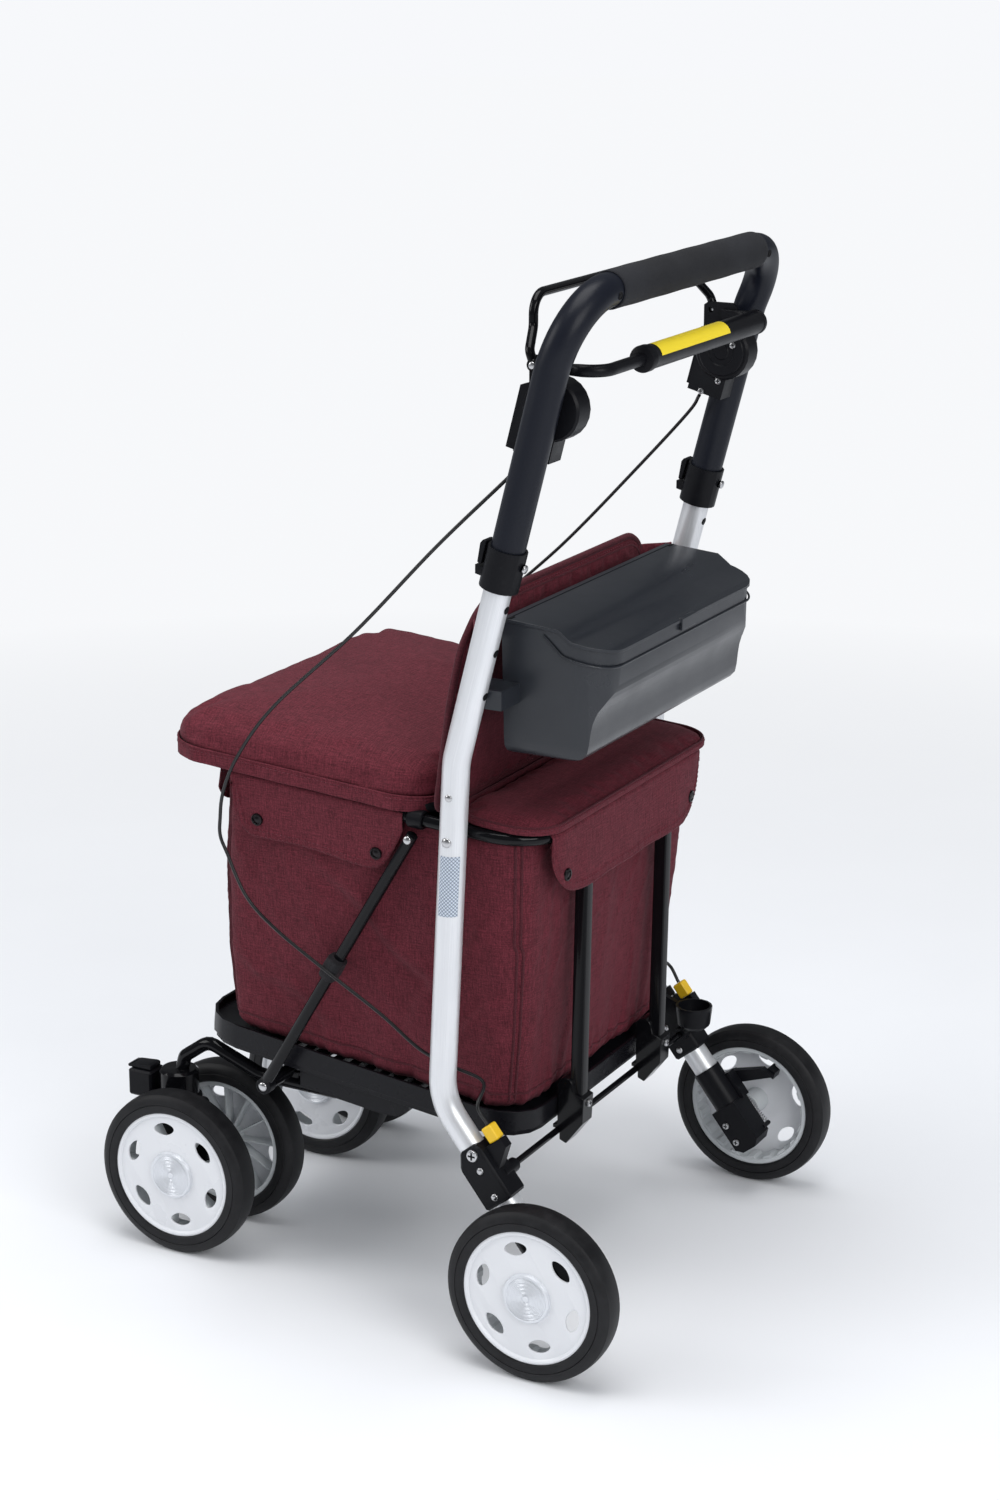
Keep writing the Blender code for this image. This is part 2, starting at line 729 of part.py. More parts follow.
def brake_carrier(x):
    """Sleeve on the end of the leg with the block that holds the axle."""
    made = rod("brake_carrier", on_leg(CARRIER_LOW - 0.004, 0, x), on_leg(CARRIER_TOP, 0, x),
               CARRIER_R + 0.0002)
    outline = [leg_yz(up, back) for up, back in (
        (CARRIER_LOW, CARRIER_R), (CARRIER_BOTTOM + 0.006, CARRIER_R), (CARRIER_BOTTOM, CARRIER_R - 0.007),
        (CARRIER_BOTTOM, -CARRIER_R + 0.007), (CARRIER_BOTTOM + 0.006, -CARRIER_R), (CARRIER_LOW,
                                                                                     -CARRIER_R))]
    lower = prism("lower block", outline, CARRIER_IN - 0.0003, CARRIER_OUT + 0.0002)
    shoulder = prism("shoulder", [leg_yz(up, back) for up, back in (
        (CARRIER_LOW - 0.002, 0.0), (CARRIER_LOW - 0.002, SHOE_BACK + 0.006), (SHOE_UP + 0.008,
                                                                               SHOE_BACK + 0.006),
        (SHOE_UP + 0.010, 0.0))], CARRIER_OUT - 0.014, CARRIER_OUT)
    axle = rod("axle", (CARRIER_IN + 0.004, REAR_Y, WHEEL_R), (REAR_X + HUB_BLIND - 0.0006, REAR_Y, WHEEL_R),
               AXLE_R, 12)
    pin = rod("shoe pin", (CARRIER_OUT - 0.004, *leg_yz(SHOE_UP, SHOE_BACK)),
              (SHOE_X[1] + 0.001, *leg_yz(SHOE_UP, SHOE_BACK)), PIVOT_R, 12)
    knob = rod("spring post", (CARRIER_OUT - 0.006, *SPRING_TO), (SPRING_X + 0.003, *SPRING_TO), 0.0025, 12)
    fuse(made, lower, shoulder, axle, pin, knob)
    return cut(made, rod("leg bore", on_leg(LEG_END - GAP, 0, x), on_leg(CARRIER_TOP + 0.01, 0, x), BORE_R))


def rear_bracket(x):
    """Block clamped round the leg, with the seat of the cable end and the boss of the cross rod."""
    outline = [leg_yz(up, back) for up, back in (
        (BRACKET_LOW, -BRACKET_HALF), (BRACKET_HIGH - 0.014, -BRACKET_HALF), (BRACKET_HIGH, -0.006),
        (BRACKET_HIGH, 0.012), (BRACKET_HIGH - 0.006, BRACKET_HALF), (BRACKET_LOW, BRACKET_HALF))]
    made = soften(prism("rear_bracket", outline, CARRIER_IN, CARRIER_OUT), 0.0022, 1)
    low, high = CABLE_END_UP - 0.016, CABLE_END_UP - GAP
    nub = prism("nub", [leg_yz(low - 0.012, 0.010), leg_yz(high, 0.010), leg_yz(high, NUB_BACK),
                        leg_yz(low + 0.006, NUB_BACK)], TUBE_X - 0.0050, TUBE_X + 0.0065)
    boss = rod("boss", (BOSS_IN, *ROD_YZ), (TUBE_X, *ROD_YZ), BOSS_R)
    fuse(made, nub, boss)
    cut(made, rod("leg bore", on_leg(BRACKET_LOW - 0.02, 0, x), on_leg(BRACKET_HIGH + 0.02, 0, x), BORE_R))
    return cut(made, rod("rod hole", (BOSS_IN - 0.01, *ROD_YZ), (ROD_HALF + GAP, *ROD_YZ), ROD_R + GAP, 12))


def cable_end():
    """Yellow end block of a brake cable, bored for the inner wire."""
    low, high = CABLE_END_UP, CABLE_END_UP + CABLE_END_L
    half = CABLE_END_W / 2
    outline = [leg_yz(up, back) for up, back in (
        (low, CABLE_END_BACK - half), (high, CABLE_END_BACK - half),
        (high, CABLE_END_BACK + half), (low, CABLE_END_BACK + half))]
    made = soften(prism("cable_end", outline, TUBE_X - half + 0.001, TUBE_X + half + 0.001), 0.0012)
    return made


def stick_cup():
    """Bowl for the tip of a stick, with an arm and a ring on the right leg."""
    x, y, z = -CUP_X, CUP_Y, CUP_RIM_Z
    profile = [(0.0, -CUP_DEPTH), (CUP_R - 0.006, -CUP_DEPTH), (CUP_R - 0.002, -CUP_DEPTH + 0.004),
               (CUP_R, -0.003), (CUP_R, 0.0), (CUP_R - CUP_WALL, 0.0),
               (CUP_R - 0.002 - CUP_WALL, -CUP_DEPTH + 0.006), (0.0, -CUP_DEPTH + CUP_WALL)]
    made = turned("stick_cup", profile, 16, Matrix.Translation((x, y, z)))
    arm = prism("arm", [(y - CUP_R + 0.001, z - 0.003), (y - CUP_R + 0.001, z - 0.019),
                        (y - CUP_R - 0.022, z - 0.014), (y - CUP_R - 0.036, z - 0.008),
                        (y - CUP_R - 0.036, z + 0.004), (y - CUP_R - 0.018, z + 0.004)],
                x - 0.0081, x - 0.0020)
    ring = rod("ring", on_leg(BRACKET_HIGH + GAP, 0, -TUBE_X), on_leg(BRACKET_HIGH + 0.010, 0, -TUBE_X),
               0.0166)
    fuse(made, arm, ring)
    return cut(made, rod("leg bore", on_leg(BRACKET_HIGH - 0.02, 0, -TUBE_X),
                         on_leg(BRACKET_HIGH + 0.03, 0, -TUBE_X), BORE_R))


# Handle and brake controls

def handle_tube():
    corners = [on_handle(HANDLE_START, 0, TUBE_X), (TUBE_X, *HANDLE_KNEE), (TUBE_X, GRIP_Y, GRIP_Z),
               (-TUBE_X, GRIP_Y, GRIP_Z), (-TUBE_X, *HANDLE_KNEE), on_handle(HANDLE_START, 0, -TUBE_X)]
    made = tube("handle_tube", rounded(corners, (HANDLE_KNEE_R, GRIP_BEND_R, GRIP_BEND_R, HANDLE_KNEE_R), 4),
                HANDLE_R, TUBE_RES)
    for x in (TUBE_X, -TUBE_X):
        cut(made, rod("bore", on_handle(-0.01, 0, x), on_handle(HANDLE_BORE, 0, x), BORE_R),
            rod("button hole", on_handle(BUTTON_UP, 0.006, x), on_handle(BUTTON_UP, 0.024, x),
                BUTTON_R + GAP, 12))
    return made


def handle_grip():
    """Foam sleeve over the straight of the handle, with rounded ends."""
    inner, outer, edge = HANDLE_R + 0.0006, GRIP_R, 0.0009
    profile = [(inner, GRIP_HALF), (outer - edge, GRIP_HALF), (outer, GRIP_HALF - edge),
               (outer, -GRIP_HALF + edge), (outer - edge, -GRIP_HALF), (inner, -GRIP_HALF)]
    return turned("handle_grip", profile, 16, aim_x(0, GRIP_Y, GRIP_Z))


def collar(x):
    """Clamp ring at the foot of the handle tube, with a lip under it and a boss for the button."""
    low, high = -0.003, COLLAR_L - 0.003
    made = rod("collar", on_handle(low, 0, x), on_handle(high, 0, x), COLLAR_R, 20)
    cheek = prism("cheek", [on_handle(up, back, x)[1:] for up, back in (
        (0.004, -0.010), (0.004, -COLLAR_R - 0.004), (0.012, -COLLAR_R - 0.006), (0.012, -0.010))],
        x - 0.0075, x + 0.0075)
    fuse(made, cheek)
    cut(made, rod("tube bore", on_handle(-0.02, 0, x), on_handle(0.06, 0, x), BORE_R),
        rod("handle bore", on_handle(HANDLE_START - GAP, 0, x), on_handle(0.06, 0, x), HANDLE_R + 0.0007),
        rod("button hole", on_handle(BUTTON_UP, 0.006, x), on_handle(BUTTON_UP, 0.024, x), BUTTON_R + GAP,
            12))
    return made


def snap_button(x):
    """Button that locks the height; its nose rests on the side tube."""
    start = on_handle(BUTTON_UP, TUBE_R + GAP, x)
    made = rod("snap_button", start, on_handle(BUTTON_UP, 0.0205, x), BUTTON_R, 12)
    return fuse(made, rod("head", on_handle(BUTTON_UP, 0.0185, x), on_handle(BUTTON_UP, 0.0215, x),
                          BUTTON_R + 0.0012, 12))


def clamp_clip(x):
    """Cam lever on the front of a collar."""
    outline = [on_handle(up, back, x)[1:] for up, back in (
        (CLIP_UP - 0.014, -COLLAR_R - 0.0006), (CLIP_UP - 0.014, -COLLAR_R - 0.005),
        (CLIP_UP + 0.004, -COLLAR_R - 0.0065), (CLIP_UP + 0.008, -COLLAR_R - 0.0045),
        (CLIP_UP + 0.008, -COLLAR_R - 0.0006))]
    return soften(prism("clip", outline, x - 0.0075, x + 0.0075), 0.0008)


def brake_housing():
    """Round cap, cable box, face flange and ear on the inner side of a handle tube."""
    def at(up, back):
        return (CAP_Y + up * math.sin(HANDLE_TILT) + back * math.cos(HANDLE_TILT),
                CAP_Z + up * math.cos(HANDLE_TILT) - back * math.sin(HANDLE_TILT))
    cap = rod("brake_housing", (HOUSING_IN, CAP_Y, CAP_Z), (HOUSING_OUT, CAP_Y, CAP_Z), HOUSING_CAP_R, 22)
    box = prism("box", [at(0.004, -0.025), at(-HOUSING_DROP, -0.025), at(-HOUSING_DROP, 0.011),
                        at(-0.010, 0.011)],
                HOUSING_IN + 0.002, HOUSING_OUT - 0.0004)
    flange = prism("flange", [at(0.020, -0.020), at(0.012, -0.033), at(-HOUSING_DROP + 0.001, -0.033),
                              at(-HOUSING_DROP + 0.001, -0.020)], EAR_X + 0.0035, HOUSING_OUT - 0.0009)
    ear = prism("ear", EAR_SIDE, EAR_X, EAR_X + EAR_T)
    soften(cap, 0.0020, 1, 60)
    fuse(cap, box, flange, ear)
    hole = PIVOT_R + GAP
    cut(cap, rod("bail hole", (0.17, *BAIL_PIVOT), (0.20, *BAIL_PIVOT), hole, 12),
        rod("park hole", (0.17, *PARK_PIVOT), (0.20, *PARK_PIVOT), hole, 12),
        rod("cable hole", (CABLE_START[0], *at(-0.036, -0.010)), CABLE_START, CABLE_R + 2 * GAP, 12))
    return cap


def brake_bail():
    """Sprung bar across the handle, bent from one rod, with an eye and a pin at each end."""
    corners = [(BAIL_X, *BAIL_PIVOT), (BAIL_X, *BAIL_ANKLE), (BAIL_TOP_X, *BAIL_KNEE),
               (BAIL_TOP_X, *BAIL_TOP)]
    corners += [(-x, y, z) for x, y, z in corners[::-1]]
    made = tube("brake_bail", rounded(corners, (0.010, 0.010, BAIL_BEND_R, BAIL_BEND_R, 0.010, 0.010), 3),
                BAIL_R, 2)
    for side in (1, -1):
        fuse(made, rod("eye", (side * (BAIL_X - 0.0038), *BAIL_PIVOT), (side * (BAIL_X + 0.0038),
                                                                        *BAIL_PIVOT),
                       0.0058, 14),
             rod("pin", (side * (BAIL_X - 0.001), *BAIL_PIVOT), (side * (EAR_X + 0.0002), *BAIL_PIVOT),
                 PIVOT_R, 12))
    return made


def parking_bar():
    """Flat band bent in a U behind the handle, with its two pivot pins."""
    corners = [(PARK_X, 0.1960, 0), (PARK_X, PARK_BAR_Y, 0), (-PARK_X, PARK_BAR_Y, 0), (-PARK_X, 0.1960, 0)]
    inner = PARK_X - PARK_T
    inside = [(-inner, 0.1960, 0), (-inner, PARK_BAR_Y - PARK_T, 0), (inner, PARK_BAR_Y - PARK_T, 0),
              (inner, 0.1960, 0)]
    radii = (PARK_BEND_R, PARK_BEND_R)
    inner_radii = (PARK_BEND_R - PARK_T, PARK_BEND_R - PARK_T)
    outline = [(p.x, p.y) for p in rounded(corners, radii) + rounded(inside, inner_radii)]
    made = prism("parking_bar", outline, PARK_BAR_Z - PARK_H / 2, PARK_BAR_Z + PARK_H / 2, axis="Z")
    for side in (1, -1):
        fuse(made, rod("pin", (side * (PARK_X - 0.001), *PARK_PIVOT), (side * (EAR_X + EAR_T), *PARK_PIVOT),
                       PIVOT_R, 12))
    return made


def parking_sleeve():
    """Plastic sleeve over the parking bar with a collar at its left end."""
    edge = 0.0012
    profile = [(0.0, SLEEVE_TO + 0.004), (SLEEVE_R + 0.001, SLEEVE_TO + 0.004),
               (SLEEVE_R + 0.001, SLEEVE_TO - 0.006),
               (SLEEVE_R, SLEEVE_TO - 0.008), (SLEEVE_R, SLEEVE_FROM + edge), (SLEEVE_R - edge, SLEEVE_FROM),
               (0.0, SLEEVE_FROM)]
    middle = PARK_BAR_Y - PARK_T / 2
    made = turned("parking_sleeve", profile, 16, aim_x(0, middle, PARK_BAR_Z))
    return cut(made, block("band slot", (SLEEVE_FROM - 0.01, middle - PARK_T / 2 - GAP,
                                         PARK_BAR_Z - PARK_H / 2 - GAP),
                           (SLEEVE_TO + 0.01, middle + PARK_T / 2 + GAP, PARK_BAR_Z + PARK_H / 2 + GAP)))


# Carrier: hoop, struts, tray and front frame

def bag_hoop():
    made = tube("bag_hoop", ring_path(HOOP_X, HOOP_FRONT_Y, HOOP_REAR_Y, HOOP_CORNER_R, hoop_z, 4), HOOP_R,
                3, True)
    for side in (1, -1):
        end = side * (TUBE_X + TUBE_R + GAP)
        fuse(made, rod("pin", (side * HOOP_X, *HOOP_PIN), (end + side * PIN_HEAD_T / 2, *HOOP_PIN), PIN_R,
                       12),
             rod("pin head", (end, *HOOP_PIN), (end + side * PIN_HEAD_T, *HOOP_PIN), PIN_HEAD_R, 12))
    return made


def side_strut():
    """Diagonal bar from a clip on the hoop down to the tray."""
    y = STRUT_TOP[1]
    z = hoop_z(y)
    half = CLIP_L / 2
    made = tube("side_strut", [(STRUT_TOP[0] - 0.001, STRUT_TOP[1], STRUT_TOP[2] + 0.004), STRUT_FOOT],
                STRUT_R, 3)
    clip = rod("clip", (HOOP_X, y - half, hoop_z(y - half)), (HOOP_X, y + half, hoop_z(y + half)), CLIP_R)
    foot = rod("foot", (CROSS_HALF + 2 * GAP, *CROSS_TUBE), (STRUT_FOOT[0] + STRUT_R, *CROSS_TUBE),
               STRUT_EYE_R)
    fuse(made, clip, foot)
    top = hoop_z(y) + HOOP_R - GAP
    cut(made, block("clip top", (HOOP_X - 0.02, y - 0.03, top), (HOOP_X + 0.02, y + 0.03, top + 0.02)))
    return cut(made, rod("hoop bore", (HOOP_X, y - 0.03, hoop_z(y - 0.03)), (HOOP_X, y + 0.03,
                                                                             hoop_z(y + 0.03)),
                         HOOP_R + 2 * GAP))


def rear_strut():
    """Square bar from the foot up to the hoop, notched round it."""
    top = BAR_TOP_Z
    outline = [(BAR_FOOT_Y - BAR_W / 2, BAR_FOOT_Z), (BAR_FOOT_Y + BAR_W / 2, BAR_FOOT_Z),
               (BAR_TOP_Y + BAR_W / 2, top), (BAR_TOP_Y - BAR_W / 2, top)]
    made = fuse(soften(prism("rear_strut", outline, BAR_X - BAR_W / 2, BAR_X + BAR_W / 2), 0.0012),
                rear_foot())
    return cut(made, rod("hoop notch", (BAR_X - 0.02, HOOP_REAR_Y, HOOP_REAR_Z), (BAR_X + 0.02, HOOP_REAR_Y,
                                                                                  HOOP_REAR_Z),
                         HOOP_R + 2 * GAP))


def rear_foot():
    """Clevis on the foot of a rear strut; its jaw closes over the cross rod from behind."""
    y, z = ROD_YZ
    clear = ROD_R + GAP
    outline = [(y - 0.0035, z + clear), (y + clear, z + clear), (y + clear, z - 0.0075),
               (y + clear + 0.007, z - 0.0105),
               (0.1900, 0.1860), (0.1915, 0.2120), (0.1815, 0.2160)]
    outline += arc((EAR_Y, EAR_Z), EAR_R, 20, 190, 8)
    front = TRAY_REAR_Y + GAP
    outline += [(front, 0.2120), (front, z + clear + 0.005), (y - 0.0035, z + clear + 0.004)]
    return soften(prism("rear_foot", outline, BAR_X - FOOT_W / 2, BAR_X + FOOT_W / 2), 0.0010)


def tray():
    """Raised rim over a slotted floor, ribbed below, with side rails and lugs for the frame."""
    corner = plan_outline(TRAY_HALF, TRAY_FRONT_Y, TRAY_REAR_Y, TRAY_CORNER_R, 4)
    made = prism("tray", corner, -TRAY_DEPTH, 0.0, axis="Z")
    wall = TRAY_WALL
    inside = plan_outline(TRAY_HALF - wall, TRAY_FRONT_Y + wall, TRAY_REAR_Y - wall, TRAY_CORNER_R - wall, 4)
    lip = plan_outline(TRAY_HALF - TRAY_LIP, TRAY_FRONT_Y + TRAY_LIP, TRAY_REAR_Y - TRAY_LIP,
                       TRAY_CORNER_R - TRAY_LIP, 4)
    cut(made, prism("pocket", inside, -TRAY_POCKET, 0.01, axis="Z"),
        prism("lip groove", plan_outline(TRAY_HALF + 0.01, TRAY_FRONT_Y - 0.01, TRAY_REAR_Y + 0.01,
                                         TRAY_CORNER_R, 4), -TRAY_DEPTH - 0.01, -TRAY_DEPTH + TRAY_STEP_H,
              axis="Z", holes=(lip,)))
    floor = TRAY_POCKET + wall
    first, last = TRAY_FRONT_Y + TRAY_CORNER_R, TRAY_REAR_Y - TRAY_CORNER_R
    cells = [(TRAY_FRONT_Y + 2 * wall, first, TRAY_HALF - TRAY_CORNER_R)]
    pitch = (last - first) / TRAY_CELLS
    cells += [(first + wall + pitch * i, first + pitch * (i + 1),
               TRAY_HALF - 2 * wall) for i in range(TRAY_CELLS)]
    cells += [(last + wall, TRAY_REAR_Y - 2 * wall, TRAY_HALF - TRAY_CORNER_R)]
    for front, rear, half in cells:
        cut(made, block("cell", (-half, front, -TRAY_DEPTH - 0.01), (half, rear, -floor)))
    made = solid_of(made, "tray")
    made.matrix_world = Matrix.Translation((0, 0, TRAY_RIM_Z)) @ Matrix.Rotation(TRAY_TILT, 4, "X")
    for number in range(SLOT_COUNT):
        y = SLOT_Y + SLOT_PITCH * number
        for side in (1, -1):
            slot = block("slot", (-SLOT_L / 2, -SLOT_W / 2, -0.03), (SLOT_L / 2, SLOT_W / 2, 0.005))
            slot.matrix_world = Matrix.Translation((side * (SLOT_X - SLOT_L / 2 + 0.004), y, tray_rim_z(y)))
            cut(made, slot)
    for side in (1, -1):
        low = min(side * (RAIL_X - RAIL_T), side * RAIL_X)
        top = wall - floor - RAIL_SINK
        rail = prism("rail", [RAIL_LOW[0], (RAIL_LOW[0][0], tray_rim_z(RAIL_LOW[0][0]) + top),
                              (RAIL_LOW[1][0],
                               tray_rim_z(RAIL_LOW[1][0]) + top), *RAIL_LOW[1:]], low, low + RAIL_T)
        fuse(made, rail)
        for x in (LUG_X, LUG_OUTER_X):
            top = tray_rim_z(CROSS_TUBE[0]) - TRAY_POCKET - wall / 2
            fuse(made, block("lug", (side * x - LUG_HALF, CROSS_TUBE[0] - FRONT_TUBE_R,
                                     CROSS_TUBE[1] + FRONT_TUBE_R + GAP),
                             (side * x + LUG_HALF, CROSS_TUBE[0] + FRONT_TUBE_R, top)))
    return made


def front_frame():
    """Two swivel heads, the bent tubes from them to under the tray, and a cross tube."""
    low_z = CROSS_TUBE[1]
    cross = rod("front_frame", (-CROSS_HALF, *CROSS_TUBE), (CROSS_HALF, *CROSS_TUBE), FRONT_TUBE_R)
    for side in (1, -1):
        x = side * CASTER_X
        corners = [(x, CASTER_Y + 0.003, HEAD_HIGH - 0.004), (x, CASTER_Y + 0.008, HEAD_HIGH + 0.014),
                   (x, *FRONT_PEAK),
                   (x, *FRONT_LOW), (x, *FRONT_BACK)]
        bent = tube("bent tube", rounded(corners, (0.010, 0.016, 0.030), 3), FRONT_TUBE_R, 3)
        fuse(cross, bent)
        fuse(cross, block("web", (x - 0.003, CROSS_TUBE[0] - 0.012, FRONT_LOW[1] - 0.003),
                          (x + 0.003, CROSS_TUBE[0] + 0.012, low_z)))
        head = rod("swivel head", (x, CASTER_Y, HEAD_LOW), (x, CASTER_Y, HEAD_HIGH), HEAD_R, 18)
        fuse(cross, soften(head, 0.0025, 1, 60))
        cut(cross, rod("kingpin bore", (x, CASTER_Y, HEAD_LOW - 0.01), (x, CASTER_Y, HEAD_HIGH - 0.006),
                       KINGPIN_R + GAP, 14))
    return cross


def caster_fork(x):
    """Web between the two wheels with its axle, kingpin and the block of the swivel lock."""
    wheel_y = CASTER_Y + TRAIL
    half = FORK_W / 2
    made = soften(prism("caster_fork", FORK_SIDE, x - half, x + half), 0.0025, 1)
    plate = rod("plate", (x, CASTER_Y, FORK_TOP - 0.009), (x, CASTER_Y, FORK_TOP), 0.0230, 18)
    nose = block("nose", (x - LOCK_HALF + 0.003, LOCK_FRONT + 0.004, FORK_TOP - 0.0067),
                 (x + LOCK_HALF - 0.003, CASTER_Y, FORK_TOP - GAP))
    lock = soften(block("lock block", (x - LOCK_HALF, LOCK_FRONT, FORK_TOP - 0.006),
                        (x + LOCK_HALF, LOCK_REAR, LOCK_TOP)),
                  0.0020, 1)
    reach = CASTER_PITCH / 2 + HUB_BLIND - 0.0006
    axle = rod("axle", (x - reach, wheel_y, WHEEL_R), (x + reach, wheel_y, WHEEL_R), AXLE_R, 12)
    spacing = CASTER_PITCH / 2 - HUB_REACH - 0.0006
    boss = rod("boss", (x - spacing, wheel_y, WHEEL_R), (x + spacing, wheel_y, WHEEL_R), 0.0095)
    kingpin = rod("kingpin", (x, CASTER_Y, FORK_TOP - 0.004), (x, CASTER_Y, HEAD_HIGH - 0.007), KINGPIN_R,
                  14)
    return fuse(made, plate, nose, lock, axle, boss, kingpin)


def swivel_lock(x):
    """Latch lever on the lock block."""
    low = LOCK_TOP + GAP
    outline = [(LOCK_FRONT - 0.0025, low), (LOCK_REAR - 0.002, low),
               (LOCK_REAR - 0.002, low + LATCH_T - 0.001),
               (LOCK_REAR - 0.006, low + LATCH_T), (LOCK_FRONT + 0.004, low + LATCH_T - 0.0015),
               (LOCK_FRONT - 0.0025, low + 0.003)]
    return soften(prism("swivel_lock", outline, x - LATCH_HALF, x + LATCH_HALF), 0.0008)


# Soft pieces

def bag():
    """Open bag: drawn in at the foot, its sides bulged a little, hung inside the hoop."""
    rings = []
    for share, bulge in ((0.0, -0.006), (0.035, 0.0), (0.30, 0.0035), (0.65, 0.0035), (0.96, 0.0),
                         (1.0, -0.0015)):
        half = BAG_BASE_HALF + (BAG_TOP_HALF - BAG_BASE_HALF) * share + bulge
        front = BAG_BASE_FRONT + (BAG_TOP_FRONT - BAG_BASE_FRONT) * share - bulge
        rear = BAG_BASE_REAR + (BAG_TOP_REAR - BAG_BASE_REAR) * share + bulge

        def height(y, share=share):
            base = BAG_BASE_Z + BAG_BASE_SLOPE * y
            return base + (hoop_z(y) - HOOP_R - GAP - base) * share
        rings.append(ring_path(half, front, rear, BAG_CORNER, height, 3))
    made = loft("bag", rings)
    inner = []
    for number, ring in enumerate(rings):
        centre_y = (BAG_BASE_FRONT + BAG_BASE_REAR) / 2
        lift = BAG_WALL if number == 0 else (0.01 if number == len(rings) - 1 else 0.0)
        inner.append([(p[0] * (1 - BAG_WALL / BAG_BASE_HALF),
                       centre_y + (p[1] - centre_y) * (1 - BAG_WALL / BAG_BASE_HALF),
                       p[2] + lift) for p in ring])
    cut(made, loft("hollow", inner))
    y = STRUT_TOP[1]
    reach = CLIP_L / 2 + GAP
    for x in (HOOP_X, -HOOP_X):
        cut(made, rod("clip notch", (x, y - reach, hoop_z(y - reach)), (x, y + reach, hoop_z(y + reach)),
                      CLIP_R + 2 * GAP))
    return made


def rear_cover():
    """Padded flap over the rear of the bag, with its hanging tail outside the hoop."""
    levels = ((0.0, 0.0035), (0.0022, 0.0004), (0.0060, 0.0), (0.0095, 0.0028), (0.0120, 0.0100),
              (COVER_T, 0.0230))
    made = loft("rear_cover", slab_rings(COVER_HALF, COVER_FRONT, COVER_REAR, 0.040, board_z, levels))
    y = COVER_REAR - FLAP_T + 0.0005
    top = board_z(y) + 0.006
    flap = prism("flap", [(-FLAP_HALF, top), (FLAP_HALF, top), (FLAP_HALF - 0.004, FLAP_LOW + 0.024),
                          (FLAP_HALF - 0.010, FLAP_LOW + 0.007), (FLAP_HALF - 0.026, FLAP_LOW),
                          (-FLAP_HALF + 0.026, FLAP_LOW), (-FLAP_HALF + 0.010, FLAP_LOW + 0.007),
                          (-FLAP_HALF + 0.004, FLAP_LOW + 0.024)], -FLAP_T / 2, FLAP_T / 2, axis="Z")
    flap.matrix_world = Matrix(((1, 0, 0, 0), (0, 0, 1, y + FLAP_T / 2), (0, 1, 0, 0), (0, 0, 0, 1)))
    return fuse(made, flap)


def seat_cushion():
    """Cushion with a crown and drawn-in sides, on the seat board."""
    levels = ((0.0, 0.0100), (0.0030, 0.0030), (0.0080, 0.0), (0.0240, 0.0020), (0.0400, 0.0060),
              (SEAT_T - 0.004, 0.0140), (SEAT_T + 0.004, 0.0300), (SEAT_T + SEAT_CROWN * 0.6, 0.0600),
              (SEAT_T + SEAT_CROWN, 0.1150))
    return loft("seat_cushion", slab_rings(SEAT_HALF, SEAT_FRONT, SEAT_REAR, 0.048, seat_z, levels))


def seat_board():
    outline = plan_outline(SEAT_HALF - BOARD_INSET, SEAT_FRONT + BOARD_INSET, SEAT_REAR, 0.040)
    made = prism("seat_board", outline, 0.0, BOARD_T, axis="Z")
    tilt = math.atan(HOOP_SLOPE)
    made.matrix_world = Matrix.Translation((0, 0, board_z(0.0))) @ Matrix.Rotation(tilt, 4, "X")
    return soften(made, 0.0015)


def back_pad():
    """Padded back rest between the side tubes, with two loops round each tube."""
    height = PAD_HIGH - PAD_LOW
    rise = (PAD_HIGH_Y - PAD_LOW_Y) / height
    rows = []
    outline = [(0.0, PAD_LOW_HALF), (0.55, PAD_LOW_HALF), (0.80, (PAD_LOW_HALF + PAD_HIGH_HALF) / 2 + 0.008),
               (0.94, PAD_HIGH_HALF), (1.0, PAD_HIGH_HALF - 0.022)]
    shape = [(half, share) for share, half in outline] + [(-half, share) for share, half in outline[::-1]]
    for depth, inset in ((-PAD_T / 2, 0.010), (-PAD_T / 2 + 0.0015, 0.003), (0.0, 0.0),
                         (PAD_T / 2 - 0.0015, 0.003), (PAD_T / 2, 0.010)):
        ring = []
        for x, share in shape:
            z = PAD_LOW + height * share
            z += inset if share == 0.0 else (-inset if share > 0.9 else 0.0)
            ring.append((x - math.copysign(inset, x), PAD_LOW_Y + rise * (z - PAD_LOW) + depth, z))
        rows.append(ring)
    made = loft("back_pad", rows)
    for side in (1, -1):
        for up in PAD_LOOPS:
            low, high = on_handle(up, 0, side * TUBE_X), on_handle(up + 0.016, 0, side * TUBE_X)
            middle = (low[2] + high[2]) / 2
            face = PAD_LOW_Y + rise * (middle - PAD_LOW)
            edge = side * (TUBE_X - BORE_R - 0.0012)
            tab = block("tab", (min(edge, edge - side * 0.005), face, middle - 0.007),
                        (max(edge, edge - side * 0.005), low[1], middle + 0.007))
            fuse(made, tab, rod("loop", low, high, BORE_R + 0.0018))
    for side in (1, -1):
        cut(made, rod("tube bore", on_handle(-0.17, 0, side * TUBE_X), on_handle(-0.02, 0, side * TUBE_X),
                      BORE_R))
    return made


def box_plan(half, rear, radius, steps=6):
    """Plan of the organizer: square in front, rounded at the two rear corners."""
    flat = half - radius
    angles = [math.pi / 2 * i / steps for i in range(steps + 1)]
    corner = [(flat + radius * math.cos(a), rear - radius + radius * math.sin(a)) for a in angles]
    return corner + [(-x, y) for x, y in corner[::-1]]


